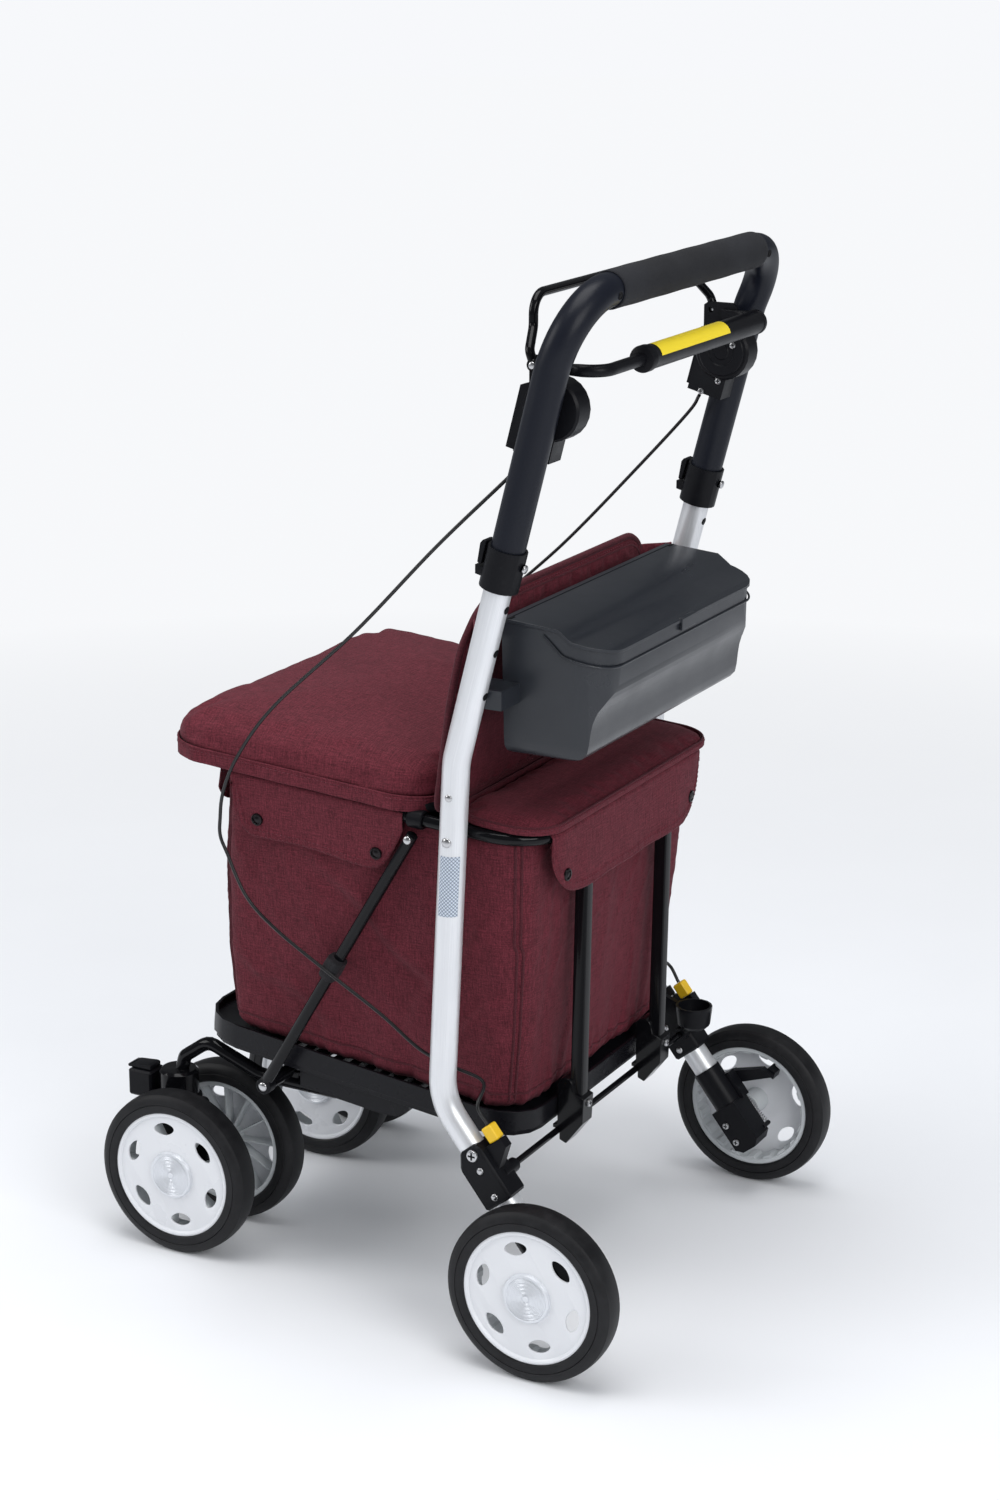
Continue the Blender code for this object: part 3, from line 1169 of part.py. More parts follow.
def box_shape(name, wall):
    """The organizer's outside, or its inside at a wall's depth: drawn-in plans met by the rear face."""
    rear = BOX_REAR[-1][0]
    levels = ((0.0, 0.0060), (0.0022, 0.0020), (0.0070, 0.0003), (0.0150, 0.0), (0.1500, 0.0))
    rings = []
    for up, inset in levels:
        half = BOX_HALF - BOX_DRAFT * (1 - up / 0.1500) - inset - wall
        front, z = BOX_FRONT + inset + wall, BOX_LOW + wall + up
        plan = box_plan(half, rear - wall, BOX_CORNER - wall) + [(-half, front), (half, front)]
        rings.append([(x, y, z) for x, y in plan])
    made = loft(name, rings)
    face = [(y - wall, z + wall) for y, z in BOX_REAR]
    outline = [(BOX_FRONT - 0.01, BOX_LOW + wall - 0.01), (face[0][0] - 0.004, BOX_LOW + wall - 0.01),
               *face, (rear - wall, 0.80), (BOX_FRONT - 0.01, 0.80)]
    return operate(made, prism("rear face", outline, -BOX_HALF - 0.02, BOX_HALF + 0.02), "INTERSECT")


def organizer_body():
    """Box with round rear corners and a scooped rear face, an arm to each tube and the hinge strip."""
    made = box_shape("organizer_body", 0.0)
    line = [(y, z - LID_T - GAP) for y, z in LID_LINE]
    top = [(BOX_FRONT - 0.02, line[0][1]), *line, (line[-1][0] + 0.02, line[-1][1]),
           (line[-1][0] + 0.02, 0.80),
           (BOX_FRONT - 0.02, 0.80)]
    cut(made, prism("above", top, -BOX_HALF - 0.02, BOX_HALF + 0.02))
    cut(made, box_shape("hollow", BOX_WALL))
    fuse(made, block("hinge strip", (-BOX_HALF + 0.0015, BOX_FRONT, STRIP_TOP - 0.0150),
                     (BOX_HALF - 0.0015, BOX_FRONT + STRIP_T, STRIP_TOP)))
    for side in (1, -1):
        inner, outer = side * (BOX_HALF - 0.0070), side * (TUBE_X - 0.0040)
        fuse(made, block("arm", (min(inner, outer), BOX_FRONT - 0.0210, ARM_LOW),
                         (max(inner, outer), BOX_FRONT + 0.0170, ARM_HIGH)))
        cut(made, rod("tube seat", on_handle(-0.15, 0, side * TUBE_X), on_handle(-0.02, 0, side * TUBE_X),
                      BORE_R))
    return made


def organizer_lid():
    """Hinged lid: flat, stepped and sloped to its rear edge, with the tab of its catch."""
    outline = [(y, z - LID_T) for y, z in LID_LINE[::-1]] + list(LID_LINE)
    made = prism("organizer_lid", outline, -BOX_HALF - 0.01, BOX_HALF + 0.01)
    edge_y, edge_z = LID_LINE[-1]
    plan = box_plan(BOX_HALF, edge_y, BOX_CORNER) + [(-BOX_HALF, BOX_FRONT - 0.01),
                                                     (BOX_HALF, BOX_FRONT - 0.01)]
    operate(made, prism("lid plan", plan, 0.60, 0.72, axis="Z"), "INTERSECT")
    tab = [(-0.0036, 0.0005), (-0.0012, 0.0016), (0.0016, 0.0004), (0.0014, -0.0105), (-0.0012, -0.0110),
           (-0.0012, -0.0020)]
    catch = prism("catch", [(edge_y + y, edge_z + z) for y, z in tab], -CATCH_W / 2, CATCH_W / 2)
    return fuse(made, catch)


# Cords and springs

def smooth_route(route, count):
    """Points at an even pitch along a smooth curve through the route's points."""
    knots = [Vector(point) for point in route]
    ends = [2 * knots[0] - knots[1]] + knots + [2 * knots[-1] - knots[-2]]
    fine = []
    for a, b, c, d in zip(ends, ends[1:], ends[2:], ends[3:]):
        for i in range(24):
            t = i / 24
            fine.append(0.5 * (2 * b + (c - a) * t + (2 * a - 5 * b + 4 * c - d) * t * t
                               + (3 * b - a - 3 * c + d) * t ** 3))
    fine.append(knots[-1])
    lengths = [0.0]
    for a, b in zip(fine, fine[1:]):
        lengths.append(lengths[-1] + (b - a).length)
    points, index = [], 0
    for number in range(count):
        want = lengths[-1] * number / (count - 1)
        while index < len(fine) - 2 and lengths[index + 1] < want:
            index += 1
        share = (want - lengths[index]) / (lengths[index + 1] - lengths[index])
        points.append(fine[index].lerp(fine[index + 1], min(share, 1.0)))
    return points, lengths[-1]


def brake_cable():
    """Outer cable from a lever's housing down past the hoop to its yellow end."""
    route = [CABLE_START, *CABLE_ROUTE,
             on_leg(CABLE_END_UP + CABLE_END_L + 0.020, CABLE_END_BACK + 0.002, TUBE_X + 0.001),
             on_leg(CABLE_END_UP + CABLE_END_L + GAP, CABLE_END_BACK, TUBE_X + 0.001)]
    points, length = smooth_route(route, CABLE_POINTS)
    print("brake cable length", round(length, 4))
    return tube("brake_cable", points, CABLE_R, 2)


def brake_spring():
    """Coil spring between a brake shoe and its post."""
    start, end = Vector((SPRING_X, *SPRING_FROM)), Vector((SPRING_X, *SPRING_TO))
    along = (end - start).normalized()
    start, end = start + along * 0.002, end - along * 0.0033
    side = Vector((1, 0, 0))
    across = along.cross(side)
    count = SPRING_CURLS * SPRING_POINTS
    points = []
    for i in range(count + 1):
        turn = math.tau * i / SPRING_POINTS
        points.append(start.lerp(end,
                                 i / count) + SPRING_R * (math.cos(turn) * side + math.sin(turn) * across))
    pitch = (end - start).length / SPRING_CURLS
    print("spring gap between curls", round(pitch - 2 * SPRING_WIRE_R, 5))
    return tube("brake_spring", points, SPRING_WIRE_R, 1)


def drivetrain(finish):
    """Both rear wheels, both casters with their locks, and the joints that carry them."""
    tyre_source, plain, toothed = tyre_mesh(), rim_mesh(False), rim_mesh(True)
    for side, word in ((1, "left"), (-1, "right")):
        x = side * REAR_X
        axle = pivot("rear_axle_" + word, x, REAR_Y, WHEEL_R)
        placed(tyre_source, "tyre_rear_" + word, wheel_matrix(x, REAR_Y, side), finish["tyre"], axle)
        placed(toothed, "rim_rear_" + word, wheel_matrix(x, REAR_Y, side), finish["rim"], axle)
        swivel = pivot("swivel_" + word, side * CASTER_X, CASTER_Y, FORK_TOP, CARRIER_PIVOT[0])
        keep(caster_fork(side * CASTER_X), "caster_fork_" + word, finish["black plastic"], swivel)
        hinge = pivot("lock_hinge_" + word, side * CASTER_X, LOCK_REAR - 0.004, LOCK_TOP + 0.003, swivel)
        keep(swivel_lock(side * CASTER_X), "swivel_lock_" + word, finish["black plastic"], hinge)
        for place, reach in (("outer", 1), ("inner", -1)):
            x = side * (CASTER_X + reach * CASTER_PITCH / 2)
            matrix = wheel_matrix(x, CASTER_Y + TRAIL, side * reach)
            axle = pivot(f"axle_{place}_{word}", x, CASTER_Y + TRAIL, WHEEL_R, swivel)
            placed(tyre_source, f"tyre_{place}_{word}", matrix, finish["tyre"], axle)
            placed(plain, f"rim_{place}_{word}", matrix, finish["rim"], axle)
    for source in (tyre_source, plain, toothed):
        bpy.data.objects.remove(source)


def finishes():
    return {
        "silver": material("silver", (0.62, 0.62, 0.64), 0.35, 1.0),
        "black tube": material("black tube", (0.020, 0.022, 0.028), 0.38, 0.3),
        "gloss black": material("gloss black", (0.010, 0.010, 0.012), 0.15),
        "black plastic": material("black plastic", (0.025, 0.025, 0.028), 0.50),
        "grey plastic": material("grey plastic", (0.085, 0.090, 0.100), 0.48),
        "foam": material("foam", (0.045, 0.045, 0.048), 0.85),
        "rim": material("rim", (0.78, 0.79, 0.80), 0.35),
        "tyre": material("tyre", (0.022, 0.022, 0.024), 0.70),
        "burgundy": material("burgundy", (0.300, 0.045, 0.075), 0.90),
        "yellow": material("yellow", (0.80, 0.55, 0.03), 0.45),
        "steel": material("steel", (0.60, 0.60, 0.62), 0.25, 1.0),
    }


def main():
    finish = finishes()
    left_x = TUBE_X
    both(side_tube(left_x), "side_tube", finish["silver"])
    both(rear_bracket(left_x), "rear_bracket", finish["black plastic"])
    both(brake_carrier(left_x), "brake_carrier", finish["black plastic"])
    keep(rod("cross_rod", (-ROD_HALF, *ROD_YZ), (ROD_HALF, *ROD_YZ), ROD_R, 12), "cross_rod",
         finish["gloss black"])
    both(cable_end(), "cable_end", finish["yellow"])
    keep(stick_cup(), "stick_cup", finish["black plastic"])
    both(brake_spring(), "brake_spring", finish["steel"])
    keep(organizer_body(), "organizer_body", finish["grey plastic"])
    keep(back_pad(), "back_pad", finish["burgundy"])
    both(brake_cable(), "brake_cable", finish["gloss black"])

    handle = pivot("handle_slide", 0.0, *COLLAR_BASE)
    keep(handle_tube(), "handle_tube", finish["black tube"], handle)
    keep(handle_grip(), "handle_grip", finish["foam"], handle)
    both(collar(left_x), "collar", finish["black plastic"], handle, handle)
    both(brake_housing(), "brake_housing", finish["black plastic"], handle, handle)
    buttons = [pivot("button_" + word, *on_handle(BUTTON_UP, 0.02, x), handle)
               for word, x in (("left", TUBE_X), ("right", -TUBE_X))]
    both(snap_button(left_x), "snap_button", finish["steel"], *buttons)
    clips = [pivot("clip_hinge_" + word, *on_handle(*CLIP_HINGE, x), handle)
             for word, x in (("left", TUBE_X), ("right", -TUBE_X))]
    both(clamp_clip(left_x), "clip", finish["black plastic"], *clips)
    keep(brake_bail(), "brake_bail", finish["gloss black"], pivot("bail_pivot", 0.0, *BAIL_PIVOT, handle))
    park = pivot("parking_pivot", 0.0, *PARK_PIVOT, handle)
    keep(parking_bar(), "parking_bar", finish["gloss black"], park)
    keep(parking_sleeve(), "parking_sleeve", finish["black plastic"], park)

    CARRIER_PIVOT.append(pivot("carrier_pivot", 0.0, *HOOP_PIN))
    carrier = CARRIER_PIVOT[0]
    keep(bag_hoop(), "bag_hoop", finish["gloss black"], carrier)
    both(side_strut(), "side_strut", finish["gloss black"], carrier, carrier)
    both(rear_strut(), "rear_strut", finish["black plastic"], carrier, carrier)
    keep(tray(), "tray", finish["black plastic"], carrier)
    keep(front_frame(), "front_frame", finish["gloss black"], carrier)
    keep(bag(), "bag", finish["burgundy"], carrier)
    keep(rear_cover(), "rear_cover", finish["burgundy"], carrier)
    seat = pivot("seat_hinge", 0.0, SEAT_REAR + 0.0015, SEAT_HINGE_Z, carrier)
    keep(seat_cushion(), "seat_cushion", finish["burgundy"], seat)
    keep(seat_board(), "seat_board", finish["black plastic"], seat)
    drivetrain(finish)
    shoes = [pivot("shoe_pivot_" + word, side * SHOE_X[0], *leg_yz(SHOE_UP, SHOE_BACK))
             for word, side in (("left", 1), ("right", -1))]
    both(brake_shoe(), "brake_shoe", finish["black plastic"], *shoes)
    keep(organizer_lid(), "organizer_lid", finish["grey plastic"], pivot("lid_hinge", 0.0, *BOX_HINGE))


def brake_shoe():
    """Lever on the carrier's pin whose tooth swings out against the toothed ring of the rim."""
    pin = (SHOE_UP, SHOE_BACK)
    made = rod("brake_shoe", (SHOE_X[0], *leg_yz(*pin)), (SHOE_X[1], *leg_yz(*pin)), SHOE_EYE_R, 18)
    up, back = TOOTH_AT
    arm = prism("arm", [leg_yz(pin[0] + 0.006, pin[1] + 0.003), leg_yz(up + 0.009, back - 0.001),
                        leg_yz(up - 0.004, back + 0.004), leg_yz(pin[0] - 0.006, pin[1] - 0.003)],
                SHOE_X[0], SHOE_X[1])
    angle = math.atan2(back, up)
    spread = 0.13
    tooth = prism("tooth", [leg_yz(r * math.cos(a), r * math.sin(a)) for r, a in (
        (TOOTH_R[0], angle - spread), (TOOTH_R[1], angle - spread * 0.6), (TOOTH_R[1], angle + spread * 0.6),
        (TOOTH_R[0], angle + spread))], SHOE_X[1] - 0.002, TOOTH_X)
    fuse(made, arm, tooth)
    return cut(made, rod("pin hole", (SHOE_X[0] - 0.01, *leg_yz(*pin)), (SHOE_X[1] + 0.01, *leg_yz(*pin)),
                         PIVOT_R + GAP, 12))


for leftover in tuple(bpy.data.objects):
    bpy.data.objects.remove(leftover)
PARTS = collection("shopping_rollator")
CUTTERS = collection("cutters", hidden=True)
CARRIER_PIVOT = []
main()
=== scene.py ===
"""Looks of the shopping rollator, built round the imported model.

The row frame is in metres: +Z up with the ground at z = 0, travel towards -Y, the user's left at
+X. Sizes that belong to one sub-assembly are fields of its class. Places that several of them
share, such as the slope of the handle and of the legs, are the constants below.
"""

import logging
import math
from dataclasses import dataclass, field
from enum import Enum
from typing import Callable

import bmesh
import bpy
import numpy as np
from mathutils import Matrix, Vector
from mathutils.bvhtree import BVHTree


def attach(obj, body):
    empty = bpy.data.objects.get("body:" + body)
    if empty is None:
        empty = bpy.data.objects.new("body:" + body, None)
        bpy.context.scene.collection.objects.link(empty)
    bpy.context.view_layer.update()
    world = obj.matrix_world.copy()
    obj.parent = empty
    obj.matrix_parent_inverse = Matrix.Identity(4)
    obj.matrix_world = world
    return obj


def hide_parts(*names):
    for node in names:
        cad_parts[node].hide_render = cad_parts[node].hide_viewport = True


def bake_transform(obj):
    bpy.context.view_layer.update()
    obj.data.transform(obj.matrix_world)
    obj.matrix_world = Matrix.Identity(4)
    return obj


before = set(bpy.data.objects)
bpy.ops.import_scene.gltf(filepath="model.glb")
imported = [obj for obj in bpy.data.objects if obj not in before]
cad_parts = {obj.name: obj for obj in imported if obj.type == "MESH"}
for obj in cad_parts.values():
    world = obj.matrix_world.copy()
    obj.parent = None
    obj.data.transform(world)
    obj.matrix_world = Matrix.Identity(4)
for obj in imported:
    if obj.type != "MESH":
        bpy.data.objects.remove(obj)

LOG = logging.getLogger("rollator")
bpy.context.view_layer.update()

# Places shared by several sub-assemblies, in metres
WHEEL_R = 0.0845
REAR_Y = 0.2181
TUBE_X = 0.2070
TUBE_R = 0.01275
HANDLE_TILT = math.atan(0.262)
COLLAR_BASE = (0.1602, 0.7344)
LEG_TILT = math.radians(38.0)
HOOP_X = 0.1865
HOOP_R = 0.0060
HOOP_REAR = (0.1860, 0.4900)
HOOP_SLOPE = -0.0714
HOOP_PIN = (0.1126, 0.4925)
CASTER_X = 0.1343
CASTER_Y = -0.2461
GAP = 0.0003
SIDES = (("left", 1.0), ("right", -1.0))

Point = tuple[float, float, float]


def on_handle(up: float, back: float, x: float) -> Point:
    """A point up the slope of the handle.

    Args:
        up: distance from the collar's lower face along the handle.
        back: distance square to the handle, towards the user.
        x: distance from the middle plane.

    Returns:
        The point: the base plus up along the slope plus back across it.
    """
    sin, cos = math.sin(HANDLE_TILT), math.cos(HANDLE_TILT)
    return (x, COLLAR_BASE[0] + up * sin + back * cos, COLLAR_BASE[1] + up * cos - back * sin)


def on_leg(up: float, back: float, x: float) -> Point:
    """A point up the leg from the rear axle.

    Args:
        up: distance from the axle along the leg.
        back: distance square to the leg, rearwards and up.
        x: distance from the middle plane.

    Returns:
        The point: the axle plus up along the leg plus back across it.
    """
    sin, cos = math.sin(LEG_TILT), math.cos(LEG_TILT)
    return (x, REAR_Y - up * sin + back * cos, WHEEL_R + up * cos + back * sin)


def hoop_z(y: np.ndarray | float) -> np.ndarray | float:
    """Height of the hoop's middle line, which falls evenly towards the rear."""
    return HOOP_REAR[1] + HOOP_SLOPE * (y - HOOP_REAR[0])


# Surfaces

@dataclass
class Shell:
    """Points and faces of a surface, kept as whole arrays until it becomes a mesh."""

    points: np.ndarray
    corners: np.ndarray
    sizes: np.ndarray
    uv: np.ndarray
    finish: int = 0
    finishes: np.ndarray | None = None

    def __post_init__(self) -> None:
        """Gives every face the shell's finish where it has none of its own."""
        if self.finishes is None:
            self.finishes = np.full(len(self.sizes), self.finish, np.int32)

    def moved(self, matrix: Matrix) -> "Shell":
        """The shell carried by a matrix, turned the right way out again if the matrix mirrors.

        Args:
            matrix: a 4 by 4 matrix in the row frame.

        Returns:
            A new shell.
        """
        m = np.array(matrix, float)
        points = self.points @ m[:3, :3].T + m[:3, 3]
        made = Shell(points, self.corners, self.sizes, self.uv, self.finish, self.finishes)
        return made.turned_over() if np.linalg.det(m[:3, :3]) < 0 else made

    def turned_over(self) -> "Shell":
        """The shell with the order of the corners of each face reversed."""
        starts = np.cumsum(self.sizes) - self.sizes
        face = np.repeat(np.arange(len(self.sizes)), self.sizes)
        place = np.arange(len(self.corners)) - starts[face]
        order = starts[face] + self.sizes[face] - 1 - place
        return Shell(self.points, self.corners[order], self.sizes, self.uv[order], self.finish,
                     self.finishes)

    def mirrored(self) -> "Shell":
        """The shell's twin on the other side of the middle plane."""
        return self.moved(Matrix.Diagonal((-1, 1, 1, 1)))

    def outward(self) -> "Shell":
        """The closed shell with its faces outwards: the sum of its corner tetrahedra is above zero."""
        starts = np.cumsum(self.sizes) - self.sizes
        face = np.repeat(np.arange(len(self.sizes)), self.sizes)
        place = np.arange(len(self.corners)) - starts[face]
        inner = (place > 0) & (place < self.sizes[face] - 1)
        at = np.nonzero(inner)[0]
        a = self.points[self.corners[starts[face[at]]]]
        b, c = self.points[self.corners[at]], self.points[self.corners[at + 1]]
        return self if np.einsum("ij,ij->i", a, np.cross(b, c)).sum() > 0 else self.turned_over()

    def with_finish(self, number: int) -> "Shell":
        """The shell with another material number on all its faces."""
        return Shell(self.points, self.corners, self.sizes, self.uv, number)

    def build(self, name: str, materials: list[bpy.types.Material],
              sharp: float = 35.0) -> bpy.types.Object:
        """Puts the shell into a mesh object at the origin.

        Args:
            name: the piece's name.
            materials: the materials that the face numbers point to.
            sharp: the angle in degrees from which an edge stays sharp.

        Returns:
            The new object.
        """
        mesh = bpy.data.meshes.new(name)
        mesh.vertices.add(len(self.points))
        mesh.vertices.foreach_set("co", np.ascontiguousarray(self.points, np.float32).ravel())
        mesh.loops.add(len(self.corners))
        mesh.loops.foreach_set("vertex_index", np.ascontiguousarray(self.corners, np.int32))
        mesh.polygons.add(len(self.sizes))
        mesh.polygons.foreach_set("loop_start", (np.cumsum(self.sizes) - self.sizes).astype(np.int32))
        mesh.polygons.foreach_set("material_index", self.finishes.astype(np.int32))
        mesh.update(calc_edges=True)
        layer = mesh.uv_layers.new(name="UVMap")
        layer.data.foreach_set("uv", np.ascontiguousarray(self.uv, np.float32).ravel())
        mesh.validate()
        mesh.shade_smooth()
        mesh.set_sharp_from_angle(angle=math.radians(sharp))
        for material in materials:
            mesh.materials.append(material)
        made = bpy.data.objects.new(name, mesh)
        bpy.context.scene.collection.objects.link(made)
        return made


def together(shells: list[Shell]) -> Shell:
    """Several shells as one, each keeping its material numbers.

    Args:
        shells: the shells to put side by side.

    Returns:
        One shell that holds all their faces.
    """
    offsets = np.cumsum([0] + [len(s.points) for s in shells[:-1]])
    return Shell(np.concatenate([s.points for s in shells]),
                 np.concatenate([s.corners + o for s, o in zip(shells, offsets)]),
                 np.concatenate([s.sizes for s in shells]),
                 np.concatenate([s.uv for s in shells]),
                 finishes=np.concatenate([s.finishes for s in shells]))


def grid(points: np.ndarray, around: bool = False, along: bool = False, caps: bool = False) -> Shell:
    """A surface of four-cornered faces over a grid of points.

    The map coordinates are arc lengths in metres: v down the first column and u along the middle
    row, so that a weave keeps its scale on every piece.

    Args:
        points: an array of rows, columns and 3.
        around: whether the last column meets the first.
        along: whether the last row meets the first.
        caps: whether the first and last rows are closed with a flat face.

    Returns:
        The shell, with its faces outwards where it is closed.
    """
    rows, columns = points.shape[:2]
    row_ends, column_ends = rows if along else rows - 1, columns if around else columns - 1
    r, c = np.meshgrid(np.arange(row_ends), np.arange(column_ends), indexing="ij")
    r, c = r.ravel(), c.ravel()
    r1, c1 = (r + 1) % rows, (c + 1) % columns
    corners = np.stack([r * columns + c, r * columns + c1, r1 * columns + c1, r1 * columns + c], 1)
    middle = points[rows // 2]
    u = np.concatenate([[0], np.cumsum(np.linalg.norm(np.roll(middle, -1, 0) - middle, axis=1))])
    column = points[:, 0]
    v = np.concatenate([[0], np.cumsum(np.linalg.norm(np.roll(column, -1, 0) - column, axis=1))])
    uv = np.stack([np.stack([u[c], v[r]], 1), np.stack([u[c + 1], v[r]], 1),
                   np.stack([u[c + 1], v[r + 1]], 1), np.stack([u[c], v[r + 1]], 1)], 1)
    corners, uv, sizes = corners.ravel(), uv.reshape(-1, 2), np.full(len(r), 4)
    if caps:
        for row, order in ((0, slice(None, None, -1)), (rows - 1, slice(None))):
            ring = (row * columns + np.arange(columns))[order]
            flat = points[row][order] - points[row].mean(0)
            axes = np.linalg.svd(flat, full_matrices=False)[2][:2]
            corners = np.concatenate([corners, ring])
            uv = np.concatenate([uv, flat @ axes.T])
            sizes = np.append(sizes, columns)
    made = Shell(points.reshape(-1, 3), corners, sizes, uv)
    return made.outward() if (around and (caps or along)) else made


def rounded(corners: list[Point], radii: list[float], steps: int = 8) -> np.ndarray:
    """A path through corners, each inner one turned into an arc of its own radius.

    The arc's centre lies on the bisector of the corner, and its points turn evenly from one
    straight to the next.

    Args:
        corners: the points of the path.
        radii: a radius for each inner corner.
        steps: the number of pieces in an arc.

    Returns:
        The points of the path, one a row.
    """
    places = [np.array(p, float) for p in corners]
    path = [places[0][None]]
    share = np.linspace(0, 1, steps + 1)[:, None]
    for before, corner, after, radius in zip(places, places[1:], places[2:], radii):
        back, on = before - corner, after - corner
        back, on = back / np.linalg.norm(back), on / np.linalg.norm(on)
        half = math.acos(float(np.clip(back @ on, -1, 1))) / 2
        bisector = (back + on) / np.linalg.norm(back + on)
        centre = corner + bisector * radius / math.sin(half)
        start = corner + back * radius / math.tan(half) - centre
        end = corner + on * radius / math.tan(half) - centre
        turn = math.pi - 2 * half
        path.append(centre + (np.sin((1 - share) * turn) * start + np.sin(share * turn) * end)
                    / math.sin(turn))
    path.append(places[-1][None])
    return np.concatenate(path)


def lengths(path: np.ndarray) -> np.ndarray:
    """The distance along a path at each of its points."""
    return np.concatenate([[0], np.cumsum(np.linalg.norm(np.diff(path, axis=0), axis=1))])


def read_off(path: np.ndarray, length: np.ndarray, want: np.ndarray) -> np.ndarray:
    """Points of a path at the wanted lengths, one a row."""
    return np.stack([np.interp(want, length, column) for column in path.T], 1)


def even_loop(loop: np.ndarray, count: int) -> np.ndarray:
    """Evenly spaced points round a loop."""
    closed = np.concatenate([loop, loop[:1]])
    length = lengths(closed)
    return read_off(closed, length, np.linspace(0, length[-1], count + 1)[:-1])


def lifted(flat: np.ndarray, height: np.ndarray | float) -> np.ndarray:
    """Points of a plan with a height added to each."""
    return np.concatenate([flat, np.broadcast_to(height, len(flat))[:, None]], 1)


def smooth_line(knots: np.ndarray, count: int) -> np.ndarray:
    """Evenly spaced points on a smooth curve through knots.

    Each span is the usual cubic whose slope at a knot is half the step between its neighbours,
    and the fine curve is then read off at equal lengths.

    Args:
        knots: the points that the curve passes through.
        count: how many points to return.

    Returns:
        The points, one a row.
    """
    ends = np.concatenate([[2 * knots[0] - knots[1]], knots, [2 * knots[-1] - knots[-2]]])
    a, b, c, d = (ends[i:len(ends) - 3 + i, None] for i in range(4))
    t = np.linspace(0, 1, 24, endpoint=False)[None, :, None]
    fine = 0.5 * (2 * b + (c - a) * t + (2 * a - 5 * b + 4 * c - d) * t ** 2
                  + (3 * b - a - 3 * c + d) * t ** 3)
    fine = np.concatenate([fine.reshape(-1, 3), knots[-1:]])
    length = lengths(fine)
    want = np.linspace(0, length[-1], count)
    return read_off(fine, length, want)


def even(path: np.ndarray, step: float) -> np.ndarray:
    """The same path with points added so that none lie further apart than a step."""
    length = lengths(path)
    want = np.union1d(length, np.linspace(0, length[-1], max(2, int(length[-1] / step) + 1)))
    want = want[np.concatenate([[True], np.diff(want) > 1e-6])]
    return read_off(path, length, want)


def frames(path: np.ndarray, closed: bool = False) -> tuple[np.ndarray, np.ndarray]:
    """Two directions square to a path at each of its points, turning as little as they can.

    Args:
        path: the points, one a row.
        closed: whether the last point leads back to the first.

    Returns:
        The side and the up direction at each point.
    """
    if closed:
        tangent = np.roll(path, -1, 0) - np.roll(path, 1, 0)
    else:
        tangent = np.gradient(path, axis=0)
    tangent /= np.linalg.norm(tangent, axis=1, keepdims=True)
    least = np.eye(3)[np.argmin(np.abs(tangent[0]))]
    side = np.cross(tangent[0], least)
    sides = [side / np.linalg.norm(side)]
    for along in tangent[1:]:
        side = sides[-1] - along * (sides[-1] @ along)
        sides.append(side / np.linalg.norm(side))
    sides = np.array(sides)
    if closed:
        last = sides[-1] - tangent[0] * (sides[-1] @ tangent[0])
        twist = math.atan2(float(np.cross(last, sides[0]) @ tangent[0]), float(last @ sides[0]))
        angle = twist * np.arange(len(path))[:, None] / len(path)
        sides = sides * np.cos(angle) + np.cross(tangent, sides) * np.sin(angle)
    return sides, np.cross(tangent, sides)


def level_frames(path: np.ndarray, closed: bool = False) -> tuple[np.ndarray, np.ndarray]:
    """The same two directions as frames gives, but with the side direction level."""
    along = np.cross(*frames(path, closed))
    side = np.cross(along, [0.0, 0.0, 1.0])
    side /= np.linalg.norm(side, axis=1, keepdims=True)
    return side, np.cross(side, along)


def swept(path: np.ndarray, section: np.ndarray, scale: np.ndarray | float = 1.0, closed: bool = False,
          level: bool = False) -> Shell:
    """A closed section carried along a path.

    Args:
        path: the points of the path.
        section: points of (side, up) round the section.
        scale: one size, or one for each point of the path.
        closed: whether the path is a loop.
        level: whether the section's first direction stays level instead of turning least.

    Returns:
        The closed shell: at each path point, side times the section's first number plus up times
        its second.
    """
    side, up = level_frames(path, closed) if level else frames(path, closed)
    size = np.broadcast_to(np.asarray(scale, float).reshape(-1, 1, 1), (len(path), 1, 1))
    points = path[:, None] + size * (side[:, None] * section[None, :, :1]
                                     + up[:, None] * section[None, :, 1:])
    return grid(points, around=True, along=closed, caps=not closed)


def circle(radius: float, sides: int) -> np.ndarray:
    """Points evenly round a circle of a radius."""
    angle = np.arange(sides) * 2 * math.pi / sides
    return np.stack([np.cos(angle), np.sin(angle)], 1) * radius


def tube(path: np.ndarray, radius: float, sides: int = 32, closed: bool = False,
         soft: float = 0.0) -> Shell:
    """A round bar along a path.

    Args:
        path: the points of the path.
        radius: of the bar.
        sides: number of flats round it.
        closed: whether the path is a loop.
        soft: length over which the ends are rounded off.

    Returns:
        The closed shell.
    """
    scale: np.ndarray | float = 1.0
    if soft:
        first, last = path[1] - path[0], path[-2] - path[-1]
        first, last = first / np.linalg.norm(first), last / np.linalg.norm(last)
        share = np.sin(np.linspace(0, 1, 5)[:-1] * math.pi / 2)
        lead = np.linspace(0, 1, 5)[:-1]
        lead = 1 - np.sqrt(1 - lead ** 2)
        head = path[0] + first * (1 - np.sqrt(1 - share[:, None] ** 2)) * soft
        tail = path[-1] + last * (1 - np.sqrt(1 - share[::-1, None] ** 2)) * soft
        path = np.concatenate([head, path[:1] + first * soft, path[1:-1], path[-1:] + last * soft, tail])
        size = (radius - soft) / radius + share * soft / radius
        scale = np.concatenate([size, np.ones(len(path) - 8), size[::-1]])
    return swept(path, circle(radius, sides), scale, closed)


def stepped(radius: float, height: float, *offsets: tuple[float, float]) -> list[tuple[float, float]]:
    """Points of a profile, each an offset from one (radius, height)."""
    return [(radius + out, height + up) for out, up in offsets]


